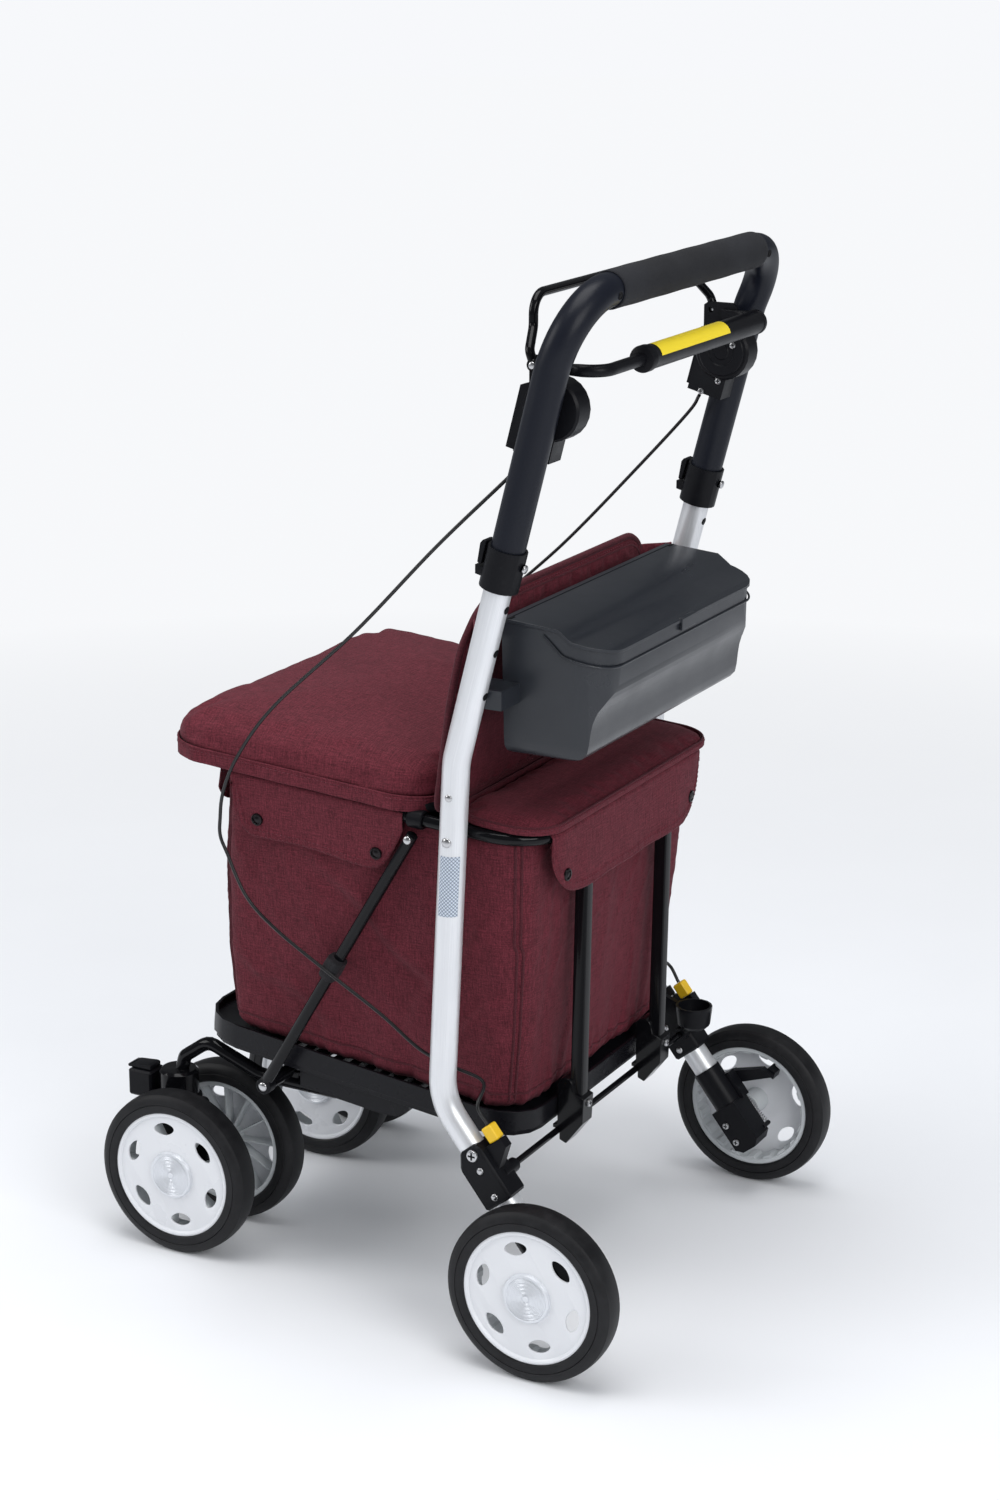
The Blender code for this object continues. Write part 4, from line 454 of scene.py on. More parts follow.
def turned(profile: list[tuple[float, float]], sides: int, matrix: Matrix) -> Shell:
    """A profile of (radius, height) spun about Z and put in place by a matrix.

    Args:
        profile: points from one end of the axis to the other, or a loop that clears it.
        sides: number of flats round the axis.
        matrix: where the spun shape goes.

    Returns:
        The closed shell. Ends on the axis are closed by small flats; a loop is joined to itself.
    """
    shape = np.array(profile, float)
    on_axis = shape[0, 0] < 1e-6 and shape[-1, 0] < 1e-6
    shape[:, 0] = np.maximum(shape[:, 0], 1e-5)
    ring = circle(1.0, sides)
    points = np.empty((len(shape), sides, 3))
    points[..., :2] = shape[:, None, :1] * ring[None]
    points[..., 2] = shape[:, None, 1]
    return grid(points, around=True, along=not on_axis, caps=on_axis).moved(matrix).outward()


def inset(outline: np.ndarray, depth: float) -> np.ndarray:
    """An outline drawn in by a depth, each corner moved along the mean of its two edge normals."""
    ahead = np.roll(outline, -1, 0) - outline
    ahead /= np.linalg.norm(ahead, axis=1, keepdims=True)
    behind = np.roll(ahead, 1, 0)
    area = np.sum(outline[:, 0] * np.roll(outline[:, 1], -1) - np.roll(outline[:, 0], -1) * outline[:, 1])
    turn = 1.0 if area > 0 else -1.0
    normal = np.stack([-(ahead + behind)[:, 1], (ahead + behind)[:, 0]], 1) * turn
    spread = 1 + np.sum(ahead * behind, 1)
    return outline + normal * depth / np.maximum(spread, 0.3)[:, None]


def plate(outline: list[tuple[float, float]] | np.ndarray, low: float, high: float, edge: float = 0.0005,
          axis: str = "X") -> Shell:
    """A flat outline pushed along an axis, its rims eased by a small round.

    Args:
        outline: points of (y, z) for X, of (x, z) for Y or of (x, y) for Z.
        low: where the plate starts on the axis.
        high: where it ends.
        edge: radius of the eased rim.
        axis: X, Y or Z.

    Returns:
        The closed shell.
    """
    flat = np.array(outline, float)
    rise = np.array([1 - math.cos(a) for a in (math.pi / 2, math.pi / 4, 0.0)])
    drop = np.array([1 - math.sin(a) for a in (math.pi / 2, math.pi / 4, 0.0)])
    rows, heights = [], []
    for r, d in zip(rise, drop):
        rows.append(inset(flat, edge * r))
        heights.append(low + edge * d)
    for r, d in zip(rise[::-1], drop[::-1]):
        rows.append(inset(flat, edge * r))
        heights.append(high - edge * d)
    stack = np.array(rows)
    level = np.broadcast_to(np.array(heights)[:, None], stack.shape[:2])
    order = {"X": (level, stack[..., 0], stack[..., 1]), "Y": (stack[..., 0], level, stack[..., 1]),
             "Z": (stack[..., 0], stack[..., 1], level)}[axis]
    return grid(np.stack(order, -1), around=True, caps=True)


def oblong(width: float, height: float, radius: float, steps: int = 5,
           at: tuple[float, float] = (0.0, 0.0)) -> np.ndarray:
    """Points round a rectangle with round corners."""
    angle = (np.arange(4)[:, None] + np.linspace(0, 1, steps + 1)[None]) * math.pi / 2
    sign = np.array([(1, 1), (-1, 1), (-1, -1), (1, -1)], float)[:, None]
    centre = sign * (np.array([width, height]) / 2 - radius)
    return (centre + radius * np.stack([np.cos(angle), np.sin(angle)], -1)).reshape(-1, 2) + np.array(at)


def box(low: Point, high: Point, edge: float = 0.0006) -> Shell:
    """A block between two corners with all its edges eased."""
    middle, size = (np.array(low) + np.array(high)) / 2, np.array(high) - np.array(low)
    return plate(oblong(size[0], size[1], edge * 1.5, 3, tuple(middle[:2])), low[2], high[2], edge, "Z")


def facing(place: Point, direction: Point) -> Matrix:
    """A matrix that carries Z onto a direction and the origin onto a place."""
    turn = Vector(direction).to_track_quat("Z", "Y").to_matrix().to_4x4()
    return Matrix.Translation(Vector(place)) @ turn


def rivet(place: Point, direction: Point, radius: float = 0.0034, height: float = 0.0016) -> Shell:
    """A low dome: its height falls off with the square of the distance from its middle."""
    share = np.linspace(0, 1, 7)
    profile = [(radius * math.sin(s * math.pi / 2), height * math.cos(s * math.pi / 2)) for s in share]
    return turned(profile + [(radius, -0.0008), (0.0, -0.0008)], 20, facing(place, direction))


def screw(place: Point, direction: Point, radius: float = 0.0033, height: float = 0.0018) -> list[Shell]:
    """A pan-head screw: a rounded head with the cross of its drive sunk into it, painted near-black as the
    shade in the recess.
    """
    head = turned([(0.0, height), (radius * 0.6, height), (radius * 0.88, height * 0.8),
                   (radius, height * 0.35), (radius, -0.0006), (0.0, -0.0006)], 20,
                  facing(place, direction))
    arm, wide = radius * 0.62, radius * 0.16
    cross = [(arm, wide), (wide, wide), (wide, arm), (-wide, arm), (-wide, wide), (-arm, wide),
             (-arm, -wide), (-wide, -wide), (-wide, -arm), (wide, -arm), (wide, -wide), (arm, -wide)]
    # Painted shade: the drive's cross takes the second finish, near-black for the shade in its recess.
    drive = plate(cross, height - 0.0004, height + 0.00006, 0.00002, "Z").moved(facing(place, direction))
    return [head, drive.with_finish(1)]


def refined(node: str, bevel: float = 0.0006, sharp: float = 32.0, merge: float = 2e-5) -> bpy.types.Object:
    """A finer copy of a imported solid: merged, its flats joined and its edges eased.

    Args:
        node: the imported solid's name.
        bevel: width of the eased edges.
        sharp: angle in degrees from which an edge is eased.
        merge: distance within which corners are the same.

    Returns:
        The new object, which stands for the node.
    """
    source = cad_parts[node]
    bm = bmesh.new()
    bm.from_mesh(source.data)
    bmesh.ops.remove_doubles(bm, verts=bm.verts, dist=merge)
    bmesh.ops.dissolve_limit(bm, angle_limit=math.radians(1.0), verts=bm.verts, edges=bm.edges)
    mesh = bpy.data.meshes.new(node + "_fine")
    bm.to_mesh(mesh)
    bm.free()
    mesh.shade_smooth()
    mesh.set_sharp_from_angle(angle=math.radians(sharp))
    made = bpy.data.objects.new(node + "_fine", mesh)
    bpy.context.scene.collection.objects.link(made)
    if bevel:
        ease = made.modifiers.new("ease", "BEVEL")
        ease.width, ease.segments = bevel, 2
        ease.limit_method, ease.angle_limit = "ANGLE", math.radians(sharp)
        ease.harden_normals = False
        ease.use_clamp_overlap = True
    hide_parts(node)
    return made


def seated(node: str, start: Point, direction: Point) -> Point:
    """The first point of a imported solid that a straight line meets.

    Args:
        node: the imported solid's name.
        start: where the line starts.
        direction: which way it goes.

    Returns:
        The point, or the start if the line misses the solid.
    """
    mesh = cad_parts[node].data
    tree = BVHTree.FromPolygons([v.co for v in mesh.vertices], [tuple(p.vertices) for p in mesh.polygons])
    spot = tree.ray_cast(Vector(start), Vector(direction).normalized())[0]
    return tuple(spot) if spot is not None else start


def settle(piece: bpy.types.Object, body: str, slot: str, *nodes: str) -> bpy.types.Object:
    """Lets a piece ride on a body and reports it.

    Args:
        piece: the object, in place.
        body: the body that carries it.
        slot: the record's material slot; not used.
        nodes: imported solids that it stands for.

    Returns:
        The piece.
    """
    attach(piece, body)
    if nodes:
        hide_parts(*nodes)
    LOG.info("%s rides on %s", piece.name, body)
    return piece


# Finishes

class Sheet:
    """The nodes of one material or group, with short calls to add and join them."""

    def __init__(self, tree: bpy.types.NodeTree) -> None:
        """Keeps the tree and counts the nodes so that they are laid out in rows."""
        self.tree = tree
        self.count = 0

    def add(self, kind: str, **settings: object) -> bpy.types.Node:
        """Adds a node.

        Args:
            kind: its type without the leading ShaderNode.
            settings: attributes by name.

        Returns:
            The node.
        """
        node = self.tree.nodes.new("ShaderNode" + kind)
        node.location = (self.count % 8 * 190, -(self.count // 8) * 260)
        self.count += 1
        for name, value in settings.items():
            setattr(node, name, value)
        return node

    def put(self, socket: bpy.types.NodeSocket, value: object) -> None:
        """Sets a socket to a number or colour, or joins it to another socket."""
        if isinstance(value, bpy.types.NodeSocket):
            self.tree.links.new(value, socket)
        else:
            socket.default_value = value

    def fill(self, node: bpy.types.Node, **values: object) -> None:
        """Sets sockets by name, with _ for a space: numbers and colours as they are, sockets joined."""
        for name, value in values.items():
            self.put(node.inputs[name.replace("_", " ")], value)

    def math(self, operation: str, *values: object) -> bpy.types.NodeSocket:
        """A sum on one to three numbers or sockets."""
        node = self.add("Math", operation=operation)
        for socket, value in zip(node.inputs, values):
            self.put(socket, value)
        return node.outputs[0]

    def vector(self, operation: str, *values: object) -> bpy.types.NodeSocket:
        """A sum on vectors."""
        node = self.add("VectorMath", operation=operation)
        for socket, value in zip(node.inputs, values):
            self.put(socket, value)
        return node.outputs[0]

    def noise(self, vector: bpy.types.NodeSocket, scale: object, detail: float = 3.0,
              rough: float = 0.55) -> bpy.types.NodeSocket:
        """Cloudy noise from 0 to 1 at a number of blotches a metre."""
        node = self.add("TexNoise")
        node.noise_dimensions = "3D"
        self.fill(node, Vector=vector, Scale=scale, Detail=detail, Roughness=rough)
        return node.outputs["Fac"]

    def span(self, value: bpy.types.NodeSocket, low: float, high: float, to_low: object = 0.0,
             to_high: object = 1.0) -> bpy.types.NodeSocket:
        """A value spread from one range to another, and held at its ends."""
        node = self.add("MapRange")
        node.clamp = True
        self.fill(node, Value=value, From_Min=low, From_Max=high, To_Min=to_low, To_Max=to_high)
        return node.outputs["Result"]

    def blend(self, share: object, a: object, b: object) -> bpy.types.NodeSocket:
        """A colour between two colours."""
        node = self.add("Mix", data_type="RGBA")
        self.put(node.inputs["Factor"], share)
        self.put(node.inputs[6], a)
        self.put(node.inputs[7], b)
        return node.outputs[2]

    def bump(self, height: bpy.types.NodeSocket, distance: float, strength: float = 1.0,
             normal: object = None) -> bpy.types.NodeSocket:
        """A normal that follows a height given in shares of a distance in metres."""
        node = self.add("Bump")
        self.fill(node, Strength=strength, Distance=distance, Height=height)
        if normal is not None:
            self.put(node.inputs["Normal"], normal)
        return node.outputs["Normal"]


def rgb(red: float, green: float, blue: float) -> tuple[float, float, float, float]:
    """A colour with full cover."""
    return (red, green, blue, 1.0)


def new_group(name: str, sockets_in: dict[str, str],
              sockets_out: dict[str, str]) -> tuple[Sheet, bpy.types.Node, bpy.types.Node]:
    """Starts a node group.

    Args:
        name: the group's name.
        sockets_in: names and kinds of its inputs.
        sockets_out: names and kinds of its outputs.

    Returns:
        The sheet to draw on, the group's input node and its output node.
    """
    tree = bpy.data.node_groups.new(name, "ShaderNodeTree")
    for direction, sockets in (("INPUT", sockets_in), ("OUTPUT", sockets_out)):
        for socket, kind in sockets.items():
            tree.interface.new_socket(name=socket, in_out=direction, socket_type="NodeSocket" + kind)
    sheet = Sheet(tree)
    start, end = tree.nodes.new("NodeGroupInput"), tree.nodes.new("NodeGroupOutput")
    start.location, end.location = (-300, 0), (1700, 0)
    return sheet, start, end


def flat_map_group() -> bpy.types.NodeTree:
    """Turns a place on the piece into two lengths across its face, by the way that the face looks.

    A face that looks mostly along X reads (y, z), along Y reads (x, z) and along Z reads (x, y).
    """
    sheet, start, end = new_group("face map", {"Vector": "Vector"}, {"Map": "Vector"})
    normal = sheet.add("TexCoord").outputs["Normal"]
    look = sheet.add("SeparateXYZ")
    sheet.put(look.inputs[0], sheet.vector("ABSOLUTE", normal))
    place = sheet.add("SeparateXYZ")
    sheet.put(place.inputs[0], start.outputs["Vector"])
    x, y, z = look.outputs
    is_x = sheet.math("MULTIPLY", sheet.math("GREATER_THAN", x, y), sheet.math("GREATER_THAN", x, z))
    is_z = sheet.math("MULTIPLY", sheet.math("GREATER_THAN", z, x), sheet.math("GREATER_THAN", z, y))
    across = sheet.add("Mix", data_type="FLOAT")
    up = sheet.add("Mix", data_type="FLOAT")
    for node, share, a, b in ((across, is_x, place.outputs[0], place.outputs[1]),
                              (up, is_z, place.outputs[2], place.outputs[1])):
        sheet.put(node.inputs["Factor"], share)
        sheet.put(node.inputs[2], a)
        sheet.put(node.inputs[3], b)
    both = sheet.add("CombineXYZ")
    sheet.put(both.inputs[0], across.outputs[0])
    sheet.put(both.inputs[1], up.outputs[0])
    sheet.put(end.inputs["Map"], both.outputs[0])
    return sheet.tree


def weave_group() -> bpy.types.NodeTree:
    """Plain weave with slubs.

    Threads cross as the product of two waves, and long thin blotches of noise along each thread
    direction make the thick and thin threads.
    """
    sheet, start, end = new_group("plain weave", {"Map": "Vector", "Threads": "Float", "Slub": "Float"},
                                  {"Height": "Float", "Melange": "Float"})
    place = sheet.add("SeparateXYZ")
    sheet.put(place.inputs[0], start.outputs["Map"])
    turns = sheet.math("MULTIPLY", start.outputs["Threads"], math.pi)
    wave_u = sheet.math("SINE", sheet.math("MULTIPLY", place.outputs[0], turns))
    wave_v = sheet.math("SINE", sheet.math("MULTIPLY", place.outputs[1], turns))
    cross = sheet.math("MULTIPLY", wave_u, wave_v)
    runs = []
    for along, across in ((60.0, 900.0), (900.0, 60.0)):
        stretch = sheet.vector("MULTIPLY", start.outputs["Map"], (along, across, 1.0))
        runs.append(sheet.noise(stretch, 1.0, 2.0, 0.6))
    slub = sheet.math("MULTIPLY", sheet.math("ADD", *runs), 0.5)
    sheet.put(end.inputs["Melange"], sheet.span(slub, 0.36, 0.64))
    spread = sheet.math("MULTIPLY", sheet.math("SUBTRACT", slub, 0.5), start.outputs["Slub"])
    sheet.put(end.inputs["Height"], sheet.math("ADD", sheet.math("MULTIPLY_ADD", cross, 0.25, 0.5), spread))
    return sheet.tree


def grain_group() -> bpy.types.NodeTree:
    """Fine cloudy grain of a moulded or painted surface, with slow smudges in its gloss."""
    sheet, start, end = new_group("moulded grain",
                                  {"Vector": "Vector", "Grain": "Float", "Smudge": "Float"},
                                  {"Height": "Float", "Gloss": "Float", "Dust": "Float"})
    fine = sheet.noise(start.outputs["Vector"], start.outputs["Grain"], 2.0, 0.5)
    slow = sheet.noise(start.outputs["Vector"], start.outputs["Smudge"], 4.0, 0.6)
    sheet.put(end.inputs["Height"], fine)
    sheet.put(end.inputs["Gloss"], sheet.span(slow, 0.3, 0.7, -1.0, 1.0))
    speck = sheet.noise(start.outputs["Vector"], 260.0, 3.0, 0.7)
    sheet.put(end.inputs["Dust"],
              sheet.math("MULTIPLY", sheet.span(speck, 0.55, 0.8), sheet.span(slow, 0.45, 0.7)))
    return sheet.tree


def scuff_group() -> bpy.types.NodeTree:
    """Hair-thin rubbed lines: noise drawn out thirty times along an axis and cut off near its top."""
    sheet, start, end = new_group("rubbed lines", {"Vector": "Vector", "Amount": "Float"},
                                  {"Mask": "Float"})
    lines = []
    for stretch in ((30.0, 1100.0, 1100.0), (1100.0, 35.0, 900.0), (900.0, 1000.0, 28.0)):
        drawn = sheet.vector("MULTIPLY", start.outputs["Vector"], stretch)
        lines.append(sheet.noise(drawn, 1.0, 1.0, 0.4))
    top = sheet.math("MAXIMUM", sheet.math("MAXIMUM", lines[0], lines[1]), lines[2])
    patch = sheet.span(sheet.noise(start.outputs["Vector"], 14.0, 2.0), 0.5, 0.7)
    sheet.put(end.inputs["Mask"],
              sheet.math("MULTIPLY", sheet.math("MULTIPLY", sheet.span(top, 0.70, 0.78), patch),
                         start.outputs["Amount"]))
    return sheet.tree


GROUPS = {"map": flat_map_group(), "weave": weave_group(), "grain": grain_group(), "scuff": scuff_group()}


def use(sheet: Sheet, group: str, **values: object) -> bpy.types.Node:
    """Places a shared group in a material with its own values.

    Args:
        sheet: the material's nodes.
        group: a key of GROUPS.
        values: inputs by name.

    Returns:
        The group node.
    """
    node = sheet.add("Group")
    node.node_tree = GROUPS[group]
    sheet.fill(node, **values)
    return node


@dataclass(frozen=True)
class Finish:
    """What every finish has: a name, a base colour and a gloss."""

    name: str
    colour: tuple[float, float, float, float]
    roughness: float = 0.5

    def start(self) -> tuple[bpy.types.Material, Sheet, bpy.types.Node]:
        """A new material with its shader.

        Returns:
            The material, its nodes and the shader node.
        """
        made = bpy.data.materials.new(self.name)
        made.use_nodes = True
        made.diffuse_color = self.colour
        shader = made.node_tree.nodes["Principled BSDF"]
        shader.location = (1900, 0)
        made.node_tree.nodes["Material Output"].location = (2200, 0)
        return made, Sheet(made.node_tree), shader

    def place(self, sheet: Sheet) -> bpy.types.NodeSocket:
        """Places on the piece in metres."""
        return sheet.add("TexCoord").outputs["Object"]


@dataclass(frozen=True)
class Moulded(Finish):
    """Plastic or painted metal: fine grain, uneven gloss, a little dust and rubbed lines."""

    grain: float = 1500.0
    depth: float = 0.00008
    metallic: float = 0.0
    coat: float = 0.0
    coat_roughness: float = 0.08
    dust: float = 0.25
    scuff: float = 0.3
    specular: float = 0.5
    dust_colour: tuple[float, float, float, float] = (0.30, 0.30, 0.31, 1.0)

    def build(self) -> bpy.types.Material:
        """The material."""
        made, sheet, shader = self.start()
        place = self.place(sheet)
        grain = use(sheet, "grain", Vector=place, Grain=self.grain, Smudge=16.0)
        scuff = use(sheet, "scuff", Vector=place, Amount=self.scuff)
        dusty = sheet.blend(sheet.math("MULTIPLY", grain.outputs["Dust"], self.dust), self.colour,
                            self.dust_colour)
        pale = tuple(min(1.0, c * 1.5 + 0.05) for c in self.colour[:3]) + (1.0,)
        sheet.put(shader.inputs["Base Color"], sheet.blend(scuff.outputs["Mask"], dusty, pale))
        gloss = sheet.math("MULTIPLY_ADD", grain.outputs["Gloss"], 0.05, self.roughness)
        sheet.fill(shader, Roughness=sheet.math("MULTIPLY_ADD", scuff.outputs["Mask"], 0.2, gloss),
                   Normal=sheet.bump(grain.outputs["Height"], self.depth, 0.6), Metallic=self.metallic,
                   Specular_IOR_Level=self.specular, Coat_Weight=self.coat,
                   Coat_Roughness=self.coat_roughness)
        return made


@dataclass(frozen=True)
class Drawn(Finish):
    """Bare or anodised metal with the lines of drawing or turning.

    lines_u and lines_v are how many lines a metre lie across the map's two directions.
    """

    metallic: float = 1.0
    lines_u: float = 2600.0
    lines_v: float = 12.0
    line_depth: float = 0.00003
    tint: tuple[float, float, float, float] = (0.42, 0.43, 0.45, 1.0)

    def build(self) -> bpy.types.Material:
        """The material."""
        made, sheet, shader = self.start()
        uv = sheet.add("UVMap").outputs["UV"]
        drawn = sheet.vector("MULTIPLY", uv, (self.lines_u, self.lines_v, 1.0))
        lines = sheet.noise(drawn, 1.0, 3.0, 0.6)
        slow = sheet.noise(self.place(sheet), 22.0, 3.0)
        sheet.put(shader.inputs["Base Color"],
                  sheet.blend(sheet.span(lines, 0.3, 0.75), self.colour, self.tint))
        rough = sheet.math("MULTIPLY_ADD", sheet.span(slow, 0.3, 0.7, -1.0, 1.0), 0.05, self.roughness)
        sheet.fill(shader, Roughness=sheet.math("MULTIPLY_ADD", lines, 0.12, rough),
                   Normal=sheet.bump(lines, self.line_depth, 0.6), Metallic=self.metallic)
        return made


@dataclass(frozen=True)
class Foam(Finish):
    """Closed foam: a dense field of tiny pores, paler where hands have polished it."""

    pores: float = 1300.0
    depth: float = 0.0004

    def build(self) -> bpy.types.Material:
        """The material."""
        made, sheet, shader = self.start()
        place = self.place(sheet)
        pore = sheet.add("TexVoronoi")
        sheet.fill(pore, Vector=place, Scale=self.pores)
        soft = sheet.noise(place, 420.0, 4.0, 0.6)
        slow = sheet.span(sheet.noise(place, 18.0, 3.0), 0.35, 0.65)
        pale = tuple(c * 1.55 for c in self.colour[:3]) + (1.0,)
        sheet.put(shader.inputs["Base Color"], sheet.blend(slow, self.colour, pale))
        sheet.put(shader.inputs["Roughness"], sheet.math("MULTIPLY_ADD", slow, -0.08, self.roughness))
        height = sheet.math("ADD", pore.outputs["Distance"], sheet.math("MULTIPLY", soft, 0.6))
        sheet.fill(shader, Normal=sheet.bump(height, self.depth, 0.55), Specular_IOR_Level=0.2,
                   Sheen_Weight=0.03, Sheen_Roughness=0.6)
        return made


@dataclass(frozen=True)
class Rubber(Finish):
    """Tyre rubber: nearly smooth, with fine radial rub marks and pale dust in them."""

    def build(self) -> bpy.types.Material:
        """The material."""
        made, sheet, shader = self.start()
        place = self.place(sheet)
        grain = use(sheet, "grain", Vector=place, Grain=1900.0, Smudge=30.0)
        cloud = sheet.span(sheet.noise(place, 45.0, 5.0, 0.65), 0.42, 0.75)
        dusty = sheet.blend(sheet.math("MULTIPLY", cloud, 0.30), self.colour, rgb(0.040, 0.040, 0.043))
        sheet.fill(shader, Base_Color=dusty,
                   Roughness=sheet.math("MULTIPLY_ADD", cloud, 0.14, self.roughness),
                   Normal=sheet.bump(grain.outputs["Height"], 0.00010, 0.5), Specular_IOR_Level=0.28)
        return made


@dataclass(frozen=True)
class Cloth(Finish):
    """Melange cloth in plain weave, darker and paler threads mixed, with a soft sheen."""

    dark: tuple[float, float, float, float] = (0.09, 0.01, 0.02, 1.0)
    pale: tuple[float, float, float, float] = (0.30, 0.06, 0.09, 1.0)
    threads: float = 1150.0
    slub: float = 1.2
    depth: float = 0.00035
    own_map: bool = False
    sheen: float = 0.25

    def build(self) -> bpy.types.Material:
        """The material."""
        made, sheet, shader = self.start()
        place = self.place(sheet)
        if self.own_map:
            flat = sheet.add("UVMap").outputs["UV"]
        else:
            flat = use(sheet, "map", Vector=place).outputs["Map"]
        weave = use(sheet, "weave", Map=flat, Threads=self.threads, Slub=self.slub)
        slow = sheet.span(sheet.noise(place, 9.0, 3.0), 0.3, 0.7)
        low = sheet.blend(weave.outputs["Melange"], self.dark, self.colour)
        high = sheet.blend(weave.outputs["Melange"], self.colour, self.pale)
        fleck = sheet.span(sheet.noise(place, 650.0, 2.0, 0.6), 0.35, 0.68)
        sheet.put(shader.inputs["Base Color"],
                  sheet.blend(sheet.math("MULTIPLY_ADD", slow, 0.2, sheet.math("MULTIPLY", fleck, 0.75)),
                              low, high))
        sheet.put(shader.inputs["Roughness"],
                  sheet.math("MULTIPLY_ADD", weave.outputs["Melange"], -0.08, self.roughness))
        crumple = sheet.noise(place, 26.0, 4.0, 0.55)
        soft = sheet.bump(crumple, 0.004, 0.22)
        sheet.fill(shader, Normal=sheet.bump(weave.outputs["Height"], self.depth, 0.9, soft),
                   Sheen_Weight=self.sheen, Sheen_Roughness=0.45, Sheen_Tint=rgb(0.9, 0.55, 0.62),
                   Specular_IOR_Level=0.25)
        return made


@dataclass(frozen=True)
class Reflector(Finish):
    """Woven reflective band: rows of small diamonds that catch the light."""

    def build(self) -> bpy.types.Material:
        """The material."""
        made, sheet, shader = self.start()
        uv = sheet.add("UVMap").outputs["UV"]
        place = sheet.add("SeparateXYZ")
        sheet.put(place.inputs[0], uv)
        u = sheet.math("MULTIPLY", place.outputs[0], 900.0)
        v = sheet.math("MULTIPLY", place.outputs[1], 900.0)
        one = sheet.math("ABSOLUTE", sheet.math("SINE", sheet.math("ADD", u, v)))
        two = sheet.math("ABSOLUTE", sheet.math("SINE", sheet.math("SUBTRACT", u, v)))
        cell = sheet.span(sheet.math("MULTIPLY", one, two), 0.15, 0.55)
        sheet.fill(shader, Base_Color=sheet.blend(cell, rgb(0.22, 0.26, 0.33), self.colour),
                   Roughness=sheet.math("MULTIPLY_ADD", cell, -0.25, 0.55),
                   Normal=sheet.bump(cell, 0.00015, 0.7), Metallic=0.5)
        return made


